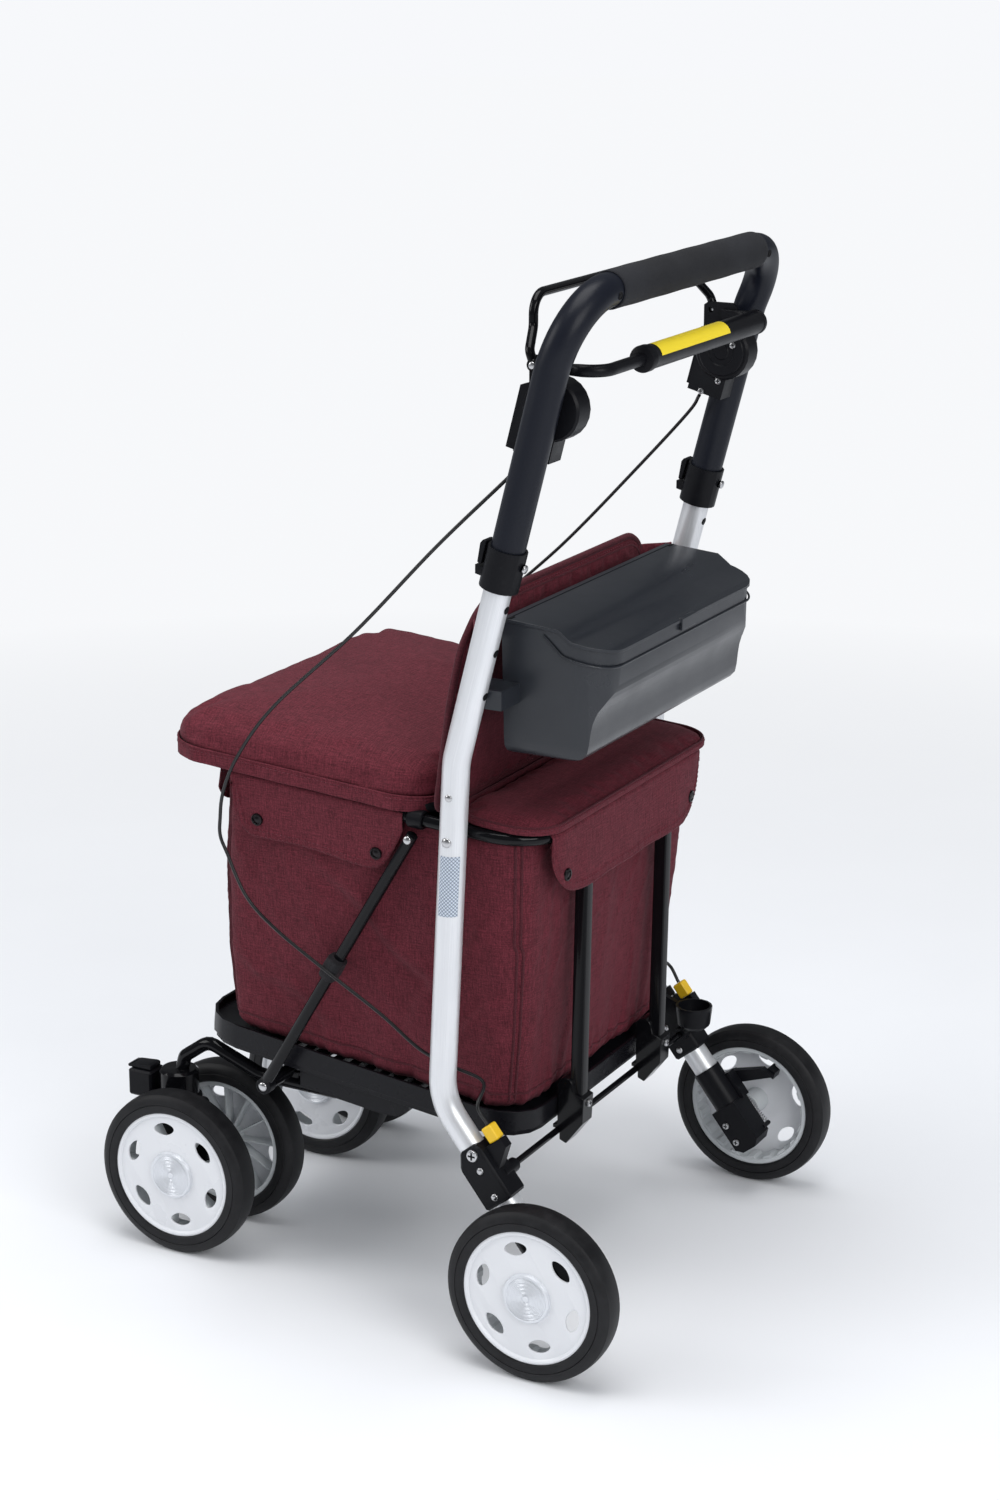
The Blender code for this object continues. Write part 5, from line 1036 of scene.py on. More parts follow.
class Look(Enum):
    """The finishes of the rollator, one for each kind of surface that the photograph shows."""

    SILVER = Drawn("silver", rgb(0.80, 0.81, 0.83), 0.30, metallic=0.55, tint=rgb(0.68, 0.69, 0.715))
    HANDLE = Moulded("black_tube", rgb(0.0075, 0.0090, 0.0150), 0.36, grain=900.0, depth=0.00005, coat=0.06,
                     coat_roughness=0.26, dust=0.02, scuff=0.05, specular=0.17)
    GLOSS = Moulded("gloss_black", rgb(0.004, 0.004, 0.005), 0.15, grain=500.0, depth=0.00003, coat=0.16,
                    coat_roughness=0.06, dust=0.01, scuff=0.04, specular=0.12)
    PLASTIC = Moulded("black_plastic", rgb(0.0060, 0.0062, 0.0080), 0.34, grain=1700.0, depth=0.00010,
                      dust=0.02, scuff=0.06, specular=0.13)
    TRAY = Moulded("tray_plastic", rgb(0.006, 0.006, 0.008), 0.28, grain=1400.0, depth=0.00012, dust=0.04,
                   scuff=0.12, specular=0.18)
    GREY = Moulded("grey_plastic", rgb(0.0165, 0.0190, 0.0245), 0.32, grain=2100.0, depth=0.00009,
                   dust=0.05, scuff=0.12, dust_colour=rgb(0.09, 0.09, 0.10), specular=0.50)
    FOAM = Foam("foam", rgb(0.0085, 0.0090, 0.0115), 0.88)
    RIM = Moulded("rim", rgb(0.72, 0.73, 0.755), 0.30, grain=800.0, depth=0.00005, dust=0.08, scuff=0.10,
                  dust_colour=rgb(0.55, 0.55, 0.56))
    # Painted shade: the rim's inner side is the same white plastic painted grey as the shade inside the
    # wheel, with more dust.
    RIM_BACK_SHADED = Moulded("rim_inside_painted_shade", rgb(0.56, 0.585, 0.60), 0.42, grain=600.0, depth=0.00008, dust=0.2,
                       scuff=0.2, dust_colour=rgb(0.35, 0.35, 0.36))
    CAP = Drawn("hub_cap", rgb(0.78, 0.80, 0.84), 0.30, metallic=0.45, lines_u=3.0, lines_v=2300.0,
                line_depth=0.00006, tint=rgb(0.66, 0.68, 0.71))
    TYRE = Rubber("tyre", rgb(0.0065, 0.0065, 0.0078), 0.50)
    CLOTH = Cloth("burgundy", rgb(0.100, 0.0125, 0.0215), 0.86, dark=rgb(0.036, 0.0030, 0.0065),
                  pale=rgb(0.185, 0.026, 0.042), sheen=0.05)
    TRIM = Cloth("burgundy_trim", rgb(0.062, 0.0070, 0.0130), 0.80, dark=rgb(0.032, 0.0035, 0.0070),
                 pale=rgb(0.115, 0.016, 0.027), threads=1700.0, slub=0.4, own_map=True, sheen=0.1)
    THREAD = Cloth("burgundy_thread", rgb(0.095, 0.013, 0.023), 0.7, dark=rgb(0.05, 0.006, 0.011),
                   pale=rgb(0.16, 0.030, 0.045), threads=3000.0, slub=0.3, depth=0.0001, own_map=True,
                   sheen=0.1)
    WEBBING = Cloth("black_webbing", rgb(0.010, 0.010, 0.012), 0.75, dark=rgb(0.004, 0.004, 0.005),
                    pale=rgb(0.024, 0.024, 0.028), threads=1500.0, slub=0.3, own_map=True, sheen=0.06)
    YELLOW = Moulded("yellow", rgb(0.80, 0.50, 0.015), 0.42, grain=1200.0, depth=0.00006, dust=0.1,
                     scuff=0.15, dust_colour=rgb(0.35, 0.28, 0.10))
    LABEL = Moulded("yellow_label", rgb(0.86, 0.66, 0.02), 0.40, grain=900.0, depth=0.00003, dust=0.08,
                    scuff=0.2, dust_colour=rgb(0.35, 0.28, 0.10))
    STEEL = Drawn("steel", rgb(0.62, 0.62, 0.63), 0.22, lines_u=900.0, lines_v=900.0,
                  tint=rgb(0.45, 0.45, 0.46))
    # Painted shade: this near-black stands in for the shade inside the height holes, screw drives and lid
    # notches; it is also the handle plugs' own black.
    SHADE_AND_BLACK = Moulded("painted_shade_and_black", rgb(0.004, 0.004, 0.005), 0.65, grain=900.0, depth=0.00005, dust=0.05,
                   scuff=0.0, specular=0.2)
    SNAP = Drawn("dark_snap", rgb(0.035, 0.032, 0.034), 0.22, lines_u=900.0, lines_v=900.0,
                 tint=rgb(0.02, 0.018, 0.019))
    CABLE = Moulded("cable", rgb(0.006, 0.006, 0.007), 0.34, grain=1200.0, depth=0.00006, coat=0.15,
                    coat_roughness=0.2, dust=0.06, scuff=0.06, specular=0.4)
    PATCH = Reflector("reflective_band", rgb(0.62, 0.68, 0.76), 0.4)


MADE: dict[Look, bpy.types.Material] = {}


def finish(look: Look) -> bpy.types.Material:
    """The material of a look, built the first time that it is asked for."""
    if look not in MADE:
        MADE[look] = look.value.build()
    return MADE[look]


def dress(piece: bpy.types.Object, *looks: Look) -> bpy.types.Object:
    """Gives a piece its materials, in the order of its face numbers."""
    piece.data.materials.clear()
    for look in looks:
        piece.data.materials.append(finish(look))
    return piece


def mount(shell: Shell, name: str, body: str, slot: str, *looks: Look, node: str = "",
          sharp: float = 35.0) -> bpy.types.Object:
    """Builds a shell in its finishes and settles it.

    Args:
        shell: its faces.
        name: the piece's name.
        body: the body that carries it.
        slot: the record's material slot.
        looks: its finishes, in the order of its face numbers.
        node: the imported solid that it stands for, if it does.
        sharp: the angle in degrees from which an edge stays sharp.

    Returns:
        The piece.
    """
    nodes = (node,) if node else ()
    return settle(shell.build(name, [finish(look) for look in looks], sharp), body, slot, *nodes)


def take_over(node: str, look: Look, body: str, slot: str, bevel: float, sharp: float = 32.0) -> None:
    """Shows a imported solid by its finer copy, in a finish, with its edges eased by a width."""
    settle(dress(refined(node, bevel, sharp), look), body, slot)


# Camera, light and floor

@dataclass
class Studio:
    """Camera at the photograph's angle, a pale floor and soft light."""

    place: Point = (2.4751, 1.3815, 1.3539)
    azimuth: float = 118.29
    elevation: float = 16.65
    lens: float = 72.64
    long_side: float = 36.0
    matt_level: float = 0.60
    mirrored_level: float = 0.16
    fade_from: float = 0.7
    fade_to: float = 2.6
    lamps: tuple[tuple[str, Point, float, float], ...] = (("top box", (0.3, 0.1, 3.2), 2.0, 50.0),
                                                          ("left box", (1.6, -2.4, 2.0), 1.6, 30.0),
                                                          ("right box", (1.4, 2.5, 1.8), 1.6, 34.0))

    def camera(self) -> None:
        """Puts the camera where the photograph was taken from, as fitted to the wheels and handle."""
        data = bpy.data.cameras.new("camera")
        data.sensor_fit = "VERTICAL"
        data.sensor_height = self.long_side
        data.lens = self.lens
        data.clip_start, data.clip_end = 0.05, 60.0
        made = bpy.data.objects.new("camera", data)
        made.location = self.place
        made.rotation_euler = (math.radians(90.0 - self.elevation), 0.0, math.radians(self.azimuth))
        bpy.context.scene.collection.objects.link(made)
        bpy.context.scene.camera = made

    def seen(self, sheet: Sheet) -> bpy.types.NodeSocket:
        """One where a ray from the camera meets a surface, nought for light and reflections."""
        rays = sheet.add("LightPath")
        return sheet.math("MAXIMUM", rays.outputs["Is Camera Ray"], rays.outputs["Is Transmission Ray"])

    def floor(self) -> None:
        """A wide disc that keeps the object's shadow and fades to the background's white far out."""
        angle = np.linspace(0, 2 * math.pi, 65)[:-1]
        rings = np.array([0.0001, 1.0, 2.0, 4.0, 8.0, 16.0])
        points = np.stack([rings[:, None] * np.cos(angle), rings[:, None] * np.sin(angle),
                           np.zeros((len(rings), len(angle)))], -1)
        shell = grid(points, around=True)
        made = shell.build("floor", [])
        material = bpy.data.materials.new("floor")
        material.use_nodes = True
        sheet = Sheet(material.node_tree)
        shader = material.node_tree.nodes["Principled BSDF"]
        place = sheet.add("TexCoord").outputs["Object"]
        reach = sheet.add("VectorMath", operation="LENGTH")
        sheet.put(reach.inputs[0], place)
        mottle = sheet.span(sheet.noise(place, 3.0, 3.0), 0.3, 0.7)
        tone = sheet.blend(mottle, rgb(0.830, 0.838, 0.860), rgb(0.850, 0.858, 0.880))
        sheet.fill(shader, Base_Color=tone, Roughness=0.55, Specular_IOR_Level=0.15)
        glow = sheet.add("Emission")
        sheet.fill(glow, Color=rgb(0.93, 0.94, 0.96))
        far = sheet.span(reach.outputs["Value"], self.fade_from, self.fade_to)
        share = sheet.math("MULTIPLY", far, self.seen(sheet))
        mix = sheet.add("MixShader")
        for socket, value in zip(mix.inputs, (share, shader.outputs[0], glow.outputs[0])):
            sheet.put(socket, value)
        sheet.put(material.node_tree.nodes["Material Output"].inputs["Surface"], mix.outputs[0])
        made.data.materials.append(material)

    def sky(self) -> None:
        """A surround that the camera sees white, and that lights pieces less: shiny ones least."""
        world = bpy.data.worlds.new("surround")
        world.use_nodes = True
        bpy.context.scene.world = world
        sheet = Sheet(world.node_tree)
        around = world.node_tree.nodes["Background"]
        white = sheet.add("Background")
        sheet.fill(white, Color=rgb(0.93, 0.94, 0.965), Strength=1.0)
        glossy = sheet.add("LightPath").outputs["Is Glossy Ray"]
        level = sheet.math("MULTIPLY_ADD", glossy, self.mirrored_level - self.matt_level, self.matt_level)
        sheet.fill(around, Color=rgb(0.92, 0.955, 1.0), Strength=level)
        mix = sheet.add("MixShader")
        for socket, value in zip(mix.inputs, (self.seen(sheet), around.outputs[0], white.outputs[0])):
            sheet.put(socket, value)
        sheet.put(world.node_tree.nodes["World Output"].inputs["Surface"], mix.outputs[0])

    def lamp(self, name: str, place: Point, size: float, power: float) -> None:
        """A square soft box aimed at the middle of the object."""
        data = bpy.data.lights.new(name, "AREA")
        data.shape, data.size, data.energy = "SQUARE", size, power
        made = bpy.data.objects.new(name, data)
        made.location = place
        made.rotation_euler = (Vector((0.0, 0.0, 0.45)) - Vector(place)).to_track_quat("-Z", "Y").to_euler()
        bpy.context.scene.collection.objects.link(made)

    def build(self) -> None:
        """Camera, floor, surround and lamps, and the view transform."""
        bpy.context.scene.view_settings.view_transform = "Standard"
        self.camera()
        self.floor()
        self.sky()
        for lamp in self.lamps:
            self.lamp(*lamp)


# Sub-assemblies

@dataclass
class BrakeCables:
    """The two outer cables: from a housing down past the hoop to the yellow block at the leg.

    Each is cut at the tie on the strut and at the level of the hoop, so that a stretch crosses one
    joint only.
    """

    radius: float = 0.0017
    start: Point = (0.1780, 0.1730, 0.8430)
    route: tuple[Point, ...] = ((0.1900, 0.1557, 0.8224), (0.2050, 0.0950, 0.7600),
                                (0.2070, 0.0125, 0.6740), (0.2075, -0.0748, 0.5934),
                                (0.2075, -0.1157, 0.5410), (0.2075, -0.1345, 0.5010),
                                (0.2075, -0.1390, 0.4728), (0.2070, -0.1395, 0.4565),
                                (0.2060, -0.1333, 0.4404), (0.2050, -0.1135, 0.4000),
                                (0.2020, -0.0834, 0.3710), (0.1985, -0.0300, 0.3370),
                                (0.1985, 0.0300, 0.3040), (0.1960, 0.0700, 0.2760),
                                (0.1865, 0.1000, 0.2610), (0.1865, 0.1320, 0.2520))
    end_up: float = 0.1498
    end_back: float = 0.0287
    tie_y: float = -0.0310
    cuts: tuple[tuple[str, str, str], ...] = (("upper", "handle", "frame"), ("middle", "frame", "carrier"),
                                              ("lower", "carrier", "frame"))

    def line(self) -> np.ndarray:
        """Evenly spaced points of the whole left cable."""
        knots = np.array([self.start, *self.route,
                          on_leg(self.end_up + 0.020, self.end_back + 0.002, TUBE_X + 0.001),
                          on_leg(self.end_up + GAP, self.end_back, TUBE_X + 0.001)])
        return smooth_line(knots, 260)

    def build(self) -> None:
        """Makes the six stretches."""
        line = self.line()
        front = int(np.argmin(line[:, 1]))
        tie = front + int(np.argmin(np.abs(line[front:, 1] - self.tie_y)))
        for word, side in SIDES:
            spans = (0, front), (front, tie), (tie, len(line) - 1)
            for (name, first, second), (a, b) in zip(self.cuts, spans):
                path = line[a:b + 1] * np.array([side, 1.0, 1.0])
                piece = tube(path, self.radius, 14).build(f"cable_{name}_{word}", [finish(Look.CABLE)])
                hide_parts("brake_cable_" + word)
                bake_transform(piece)


@dataclass
class Wheels:
    """Six equal wheels: a tyre, a white disc with six oval holes and a cap, and a ribbed back painted grey
    as the shade inside the wheel.
    """

    width: float = 0.0303
    rim_r: float = 0.0654
    recess: float = 0.0028
    wall: float = 0.0055
    disc_t: float = 0.0032
    cap_r: float = 0.0240
    hole_ring: float = 0.0478
    rear_turn: float = 0.576
    outer_turn: float = 0.489
    inner_turn: float = 2.1
    hole_length: float = 0.0215
    hole_width: float = 0.0130
    hole_turn: float = math.radians(12.0)
    rear_x: float = 0.24985
    pitch: float = 0.0926
    trail: float = 0.0280
    sides: int = 96
    ribs: int = 12
    teeth_round: int = 20

    def tyre(self) -> Shell:
        """Tread crowned over a shoulder line, with a groove and a bead on each side wall."""
        half, tread = self.width / 2, WHEEL_R
        crown = [(tread - 0.0011 * (w / 0.0105) ** 2, w) for w in np.linspace(0.0105, -0.0105, 9)]
        left = stepped(self.rim_r, half, (-0.0004, -0.0050), (-0.0002, -0.0014), (0.0012, -0.0003),
                       (0.0045, 0.0), (0.0078, 0.0), (0.0084, -0.0007), (0.0090, -0.0001),
                       (0.0125, -0.0008))
        left += stepped(tread, half, (-0.0042, -0.0022), (-0.0024, -0.0034), (-0.0018, -0.0042))
        right = [(r, -w) for r, w in left[::-1]]
        return turned(left + crown + right, self.sides, Matrix.Identity(4))

    def rim(self, braked: bool) -> Shell:
        """Barrel, dished disc, cap, hub and ribs or brake teeth, about its own Z.

        Args:
            braked: whether the open side has the toothed ring of the brake instead of ribs.

        Returns:
            The shell, its disc first, its inner side second, its cap third.
        """
        face = self.width / 2 - self.recess
        inner = self.rim_r - self.wall
        lip = stepped(self.rim_r, face, (0.0, -0.0010), (-0.0004, 0.0010), (-0.0018, 0.0016),
                      (-0.0034, 0.0012), (-0.0052, -0.0008), (-0.0052, -0.0024), (-0.0007, -0.0030))
        parts = [turned(lip, self.sides, Matrix.Identity(4))]
        parts.append(pierced(circle(self.rim_r - 0.0040, self.sides), self.holes(), face - self.disc_t,
                             face - 0.0006, 0.0007))
        barrel = [(self.rim_r - 0.0002, face - 0.0012), (self.rim_r - 0.0002, -face + 0.0006),
                  (self.rim_r - 0.0010, -face), (inner + 0.0008, -face), (inner, -face + 0.0008),
                  (inner - 0.0002, face - 0.0020)]
        parts.append(turned(barrel, self.sides, Matrix.Identity(4)).with_finish(1))
        cap = stepped(0.0, face, (0.0, 0.0030), (0.0030, 0.0030), (0.0034, 0.0024), (0.0040, 0.0030))
        cap += [(r, face + 0.0030 + 0.0002 * math.sin(r * 5200.0))
                for r in np.linspace(0.0046, self.cap_r - 0.0045, 34)]
        cap += stepped(self.cap_r, face, (-0.0036, 0.0026), (-0.0026, 0.0032), (-0.0008, 0.0028),
                       (0.0, 0.0014), (0.0004, -0.0010)) + [(0.0, face - 0.0010)]
        parts.append(turned(cap, 64, Matrix.Identity(4)).with_finish(2))
        hub = [(0.0, -0.0140), (0.0058, -0.0140), (0.0062, -0.0136), (0.0110, -0.0136), (0.0124, -0.0126),
               (0.0130, face - 0.002), (0.0150, face - 0.0010), (0.0, face - 0.0010)]
        parts.append(turned(hub, 48, Matrix.Identity(4)).with_finish(1))
        if braked:
            parts.append(self.teeth(inner, face).with_finish(1))
        else:
            for number in range(self.ribs):
                rib = plate([(-0.0010, 0.0120), (0.0010, 0.0120), (0.0009, inner + 0.001),
                             (-0.0009, inner + 0.001)], -0.0030, face - 0.0026, 0.0003, "Z")
                turn = math.tau * (number + 0.5) / self.ribs + self.hole_turn
                parts.append(rib.moved(Matrix.Rotation(turn, 4, "Z")).with_finish(1))
        return together(parts)

    def holes(self) -> list[np.ndarray]:
        """Six slanted ovals on a ring: a long and a short half-width on cosine and sine."""
        angle = np.linspace(0, math.tau, 29)[:-1]
        made = []
        for number in range(6):
            turn = math.tau * number / 6 + self.hole_turn
            bulge = 1 + 0.10 * np.cos(2 * angle)
            oval = np.stack([self.hole_length / 2 * np.cos(angle) * bulge,
                             self.hole_ring + self.hole_width / 2 * np.sin(angle)], 1)
            cos, sin = math.cos(turn), math.sin(turn)
            made.append(oval @ np.array([[cos, sin], [-sin, cos]]))
        return made

    def teeth(self, inner: float, face: float) -> Shell:
        """The brake's ring: its inner radius swings between two values twenty times a turn."""
        count = 240
        angle = np.linspace(0, math.tau, count + 1)[:-1]
        wave = np.clip(np.cos(self.teeth_round * angle) * 2.2, -1, 1)
        near = inner - 0.0012 - 0.0011 * wave
        low, high = -face + 0.0015, face - 0.0045
        rows = [(near + 0.0006, low), (near, low + 0.0006), (near, high),
                (np.full(count, inner + 0.0008), high), (np.full(count, inner + 0.0008), low)]
        points = [np.stack([r * np.cos(angle), r * np.sin(angle), np.full(count, z)], -1) for r, z in rows]
        return grid(np.array(points), around=True, along=True)

    def build(self) -> None:
        """Places the six wheels on their bodies."""
        tyre, plain, braked = self.tyre(), self.rim(False), self.rim(True)
        spots = []
        for word, side in SIDES:
            spots.append((f"rear_{word}", side * self.rear_x, REAR_Y, side, braked, self.rear_turn))
            for which, out, turn in (("outer", 1.0, self.outer_turn), ("inner", -1.0, self.inner_turn)):
                spots.append((f"{which}_{word}", side * (CASTER_X + out * self.pitch / 2),
                              CASTER_Y + self.trail, side * out, plain, turn))
        for name, x, y, side, rim, turn in spots:
            place = Matrix.Translation((x, y, WHEEL_R)) @ Matrix.Rotation(side * math.pi / 2, 4, "Y")
            place = place @ Matrix.Rotation(turn, 4, "Z")
            body = "wheel_" + name
            mount(tyre.moved(place), f"tyre_{name}_fine", body, "tyre", Look.TYRE, node="tyre_" + name,
                  sharp=24.0)
            mount(rim.moved(place), f"rim_{name}_fine", body, "rim", Look.RIM, Look.RIM_BACK_SHADED, Look.CAP,
                  node="rim_" + name, sharp=30.0)


def pierced(outline: np.ndarray, holes: list[np.ndarray], low: float, high: float, edge: float) -> Shell:
    """A flat plate along Z with holes through it and its rims eased, filled by Blender's flat curve.

    Args:
        outline: points of (x, y) round it.
        holes: the same round each hole.
        low: its lower face.
        high: its upper face.
        edge: width of the eased rims.

    Returns:
        The closed shell, its map coordinates the places in its plane.
    """
    data = bpy.data.curves.new("pierced", "CURVE")
    data.dimensions, data.fill_mode = "2D", "BOTH"
    data.extrude, data.bevel_depth, data.bevel_resolution = (high - low) / 2 - edge, edge, 2
    data.offset = -edge
    for loop in (outline, *holes):
        spline = data.splines.new("POLY")
        spline.points.add(len(loop) - 1)
        flat = np.concatenate([loop, np.zeros((len(loop), 1)), np.ones((len(loop), 1))], 1)
        spline.points.foreach_set("co", flat.astype(np.float32).ravel())
        spline.use_cyclic_u = True
    source = bpy.data.objects.new("pierced", data)
    bpy.context.scene.collection.objects.link(source)
    mesh = bpy.data.meshes.new_from_object(source.evaluated_get(bpy.context.evaluated_depsgraph_get()))
    points = np.empty(len(mesh.vertices) * 3, np.float32)
    mesh.vertices.foreach_get("co", points)
    corners = np.empty(len(mesh.loops), np.int32)
    mesh.loops.foreach_get("vertex_index", corners)
    sizes = np.empty(len(mesh.polygons), np.int32)
    mesh.polygons.foreach_get("loop_total", sizes)
    bpy.data.objects.remove(source)
    bpy.data.curves.remove(data)
    bpy.data.meshes.remove(mesh)
    points = points.reshape(-1, 3).astype(float) + np.array([0.0, 0.0, (low + high) / 2])
    keys, index = np.unique(np.round(points / 2e-6).astype(np.int64), axis=0, return_inverse=True)
    points = keys * 2e-6
    corners = index.reshape(-1)[corners]
    return Shell(points, corners, sizes, points[corners][:, :2].copy()).outward()


@dataclass
class Frame:
    """The silver side tubes with their rivets and reflective bands, and the rod between the legs."""

    upper_bend: tuple[float, float] = (0.1164, 0.5673)
    lower_bend: tuple[float, float] = (0.0994, 0.2365)
    upper_bend_r: float = 0.080
    lower_bend_r: float = 0.062
    reach: float = 0.110
    leg_end: float = 0.0170
    rod_yz: tuple[float, float] = (0.1620, 0.1735)
    rod_half: float = 0.1955
    rod_r: float = 0.00325
    rivet_yz: tuple[float, float] = (0.1150, 0.5350)
    height_holes: tuple[float, ...] = (-0.020, -0.062, -0.104)
    bracket_screw: tuple[float, float] = (0.1400, 0.1930)
    outer_rivets: tuple[tuple[float, float], ...] = ((0.1480, 0.1790), (0.1630, 0.1560))
    inner_rivets: tuple[tuple[float, float], ...] = ((0.1420, 0.1740), (0.1580, 0.1520))
    carrier_screws: tuple[tuple[float, float], ...] = ((0.2130, 0.0780), (0.2250, 0.0620))

    def path(self, x: float) -> np.ndarray:
        """Middle line of a side tube: down the handle's slope, upright, then back along the leg."""
        corners = [on_handle(self.reach, 0.0, x), (x, *self.upper_bend), (x, *self.lower_bend),
                   on_leg(self.leg_end, 0.0, x)]
        return even(rounded(corners, [self.upper_bend_r, self.lower_bend_r], 14), 0.03)

    def side_tube(self, x: float) -> Shell:
        """One side tube: a round section with three shallow grooves of its extrusion."""
        angle = np.linspace(0, math.tau, 73)[:-1]
        groove = sum(np.exp(-((np.angle(np.exp(1j * (angle - at)))) / 0.035) ** 2)
                     for at in (0.6, 2.5, 4.4))
        radius = TUBE_R - 0.00035 * groove
        section = np.stack([radius * np.cos(angle), radius * np.sin(angle)], 1)
        return swept(self.path(x), section)

    def hardware(self, side: float) -> list[Shell]:
        """Rivet and hoop pin on the outer face, and the height holes as thin discs with rims, painted
        near-black as the shade inside the holes.
        """
        x = side * (TUBE_X + TUBE_R)
        made = [rivet((x - side * 0.0003, *self.rivet_yz), (side, 0.0, 0.0), 0.0036, 0.0018)]
        made.append(rivet((x - side * 0.0003, *HOOP_PIN), (side, 0.0, 0.0), 0.0048, 0.0024))
        # Painted shade: each hole is a flat disc whose near-black finish stands in for the shade inside it.
        disc = [(0.0, 0.0002), (0.0034, 0.0002), (0.0038, 0.0), (0.0038, -0.001), (0.0, -0.001)]
        back = tuple(np.subtract(on_handle(0, 1, 0), on_handle(0, 0, 0)))
        for up in self.height_holes:
            place = facing(on_handle(up, TUBE_R + 0.0001, side * TUBE_X), back)
            made.append(turned(disc, 20, place).with_finish(1))
        return made

    def clamp_screws(self, side: float) -> list[Shell]:
        """Rivets through both faces of a rear bracket, and the screws of its brake carrier."""
        made = []
        outwards, inwards = (1.0, 0.0, 0.0), (-1.0, 0.0, 0.0)
        outside, inside = 0.2600, 0.1500
        for yz in self.outer_rivets:
            spot = seated("rear_bracket_left", (outside, *yz), inwards)
            made.append(rivet(spot, outwards, 0.0036, 0.0018))
        spot = seated("rear_bracket_left", (outside, *self.bracket_screw), inwards)
        made += screw(spot, outwards, 0.0060, 0.0026)
        for yz in self.inner_rivets:
            spot = seated("rear_bracket_left", (inside, *yz), outwards)
            made.append(rivet(spot, inwards, 0.0036, 0.0018))
        for yz in self.carrier_screws:
            spot = seated("brake_carrier_left", (inside, *yz), outwards)
            made += screw(spot, inwards, 0.0036, 0.0018)
        return made if side > 0 else [s.mirrored() for s in made]

    def band(self, side: float) -> Shell:
        """Reflective band on the outer rear of the tube, a wrapped strip 0.2 mm proud."""
        angle = np.linspace(math.radians(-28), math.radians(62), 15)
        height = np.linspace(0.4215, 0.4795, 12)
        radius = TUBE_R + 0.0002
        points = np.stack([np.broadcast_to(TUBE_X + radius * np.cos(angle), (12, 15)),
                           0.1124 - 0.0002 + np.broadcast_to(radius * np.sin(angle), (12, 15)),
                           np.broadcast_to(height[:, None], (12, 15))], -1)
        path = self.path(TUBE_X)
        path = path[np.argsort(path[:, 2])]
        middle = np.interp(height, path[:, 2], path[:, 1])
        points[..., 1] += (middle - 0.1122)[:, None]
        shell = grid(points)
        return shell if side > 0 else shell.mirrored()

    def build(self) -> None:
        """Makes both side tubes with what is fixed to them, and dresses the rod and the clamps."""
        for word, side in SIDES:
            mount(self.side_tube(side * TUBE_X), f"side_tube_{word}_fine", "frame", "silver", Look.SILVER,
                  node="side_tube_" + word, sharp=50.0)
            for name, parts in (("tube_rivets_", self.hardware(side)),
                                ("clamp_screws_", self.clamp_screws(side))):
                mount(together(parts), name + word, "frame", "steel", Look.STEEL, Look.SHADE_AND_BLACK)
            mount(self.band(side), "reflective_band_" + word, "frame", "steel", Look.PATCH)
            for node, look, slot in (("rear_bracket_", Look.PLASTIC, "black_plastic"),
                                     ("brake_carrier_", Look.PLASTIC, "black_plastic"),
                                     ("cable_end_", Look.YELLOW, "yellow")):
                take_over(node + word, look, "frame", slot, 0.0007)
            take_over("brake_shoe_" + word, Look.PLASTIC, "brake_shoe_" + word, "black_plastic", 0.0006)
        take_over("stick_cup", Look.PLASTIC, "frame", "black_plastic", 0.0005)
        path = np.array([(-self.rod_half, *self.rod_yz), (self.rod_half, *self.rod_yz)])
        mount(tube(even(path, 0.05), self.rod_r, 20, soft=0.001), "cross_rod_fine", "frame", "gloss_black",
              Look.GLOSS, node="cross_rod")


@dataclass
class Springs:
    """The small return springs of the brake shoes."""

    start: tuple[float, float] = (0.2110, 0.1070)
    end: tuple[float, float] = (0.2440, 0.0740)
    x: float = 0.2278
    radius: float = 0.0026
    wire: float = 0.00055
    turns: int = 15

    def coil(self) -> Shell:
        """A wire round a straight line: sine and cosine of an angle that grows evenly along it."""
        first, last = np.array([self.x, *self.start]), np.array([self.x, *self.end])
        along = (last - first) / np.linalg.norm(last - first)
        side = np.array([1.0, 0.0, 0.0])
        up = np.cross(along, side)
        share = np.linspace(0, 1, self.turns * 12)
        reach = 0.0040 + share * (np.linalg.norm(last - first) - 0.0080)
        angle = share * math.tau * self.turns
        coil = first + reach[:, None] * along + self.radius * (np.cos(angle)[:, None] * side
                                                               + np.sin(angle)[:, None] * up)
        path = np.concatenate([first[None], (first + along * 0.0025)[None], coil,
                               (last - along * 0.0025)[None], last[None]])
        return tube(path, self.wire, 8)

    def build(self) -> None:
        """Makes the two springs."""
        for word, side in SIDES:
            coil = self.coil() if side > 0 else self.coil().mirrored()
            mount(coil, f"brake_spring_{word}_fine", "frame", "steel", Look.STEEL,
                  node="brake_spring_" + word)


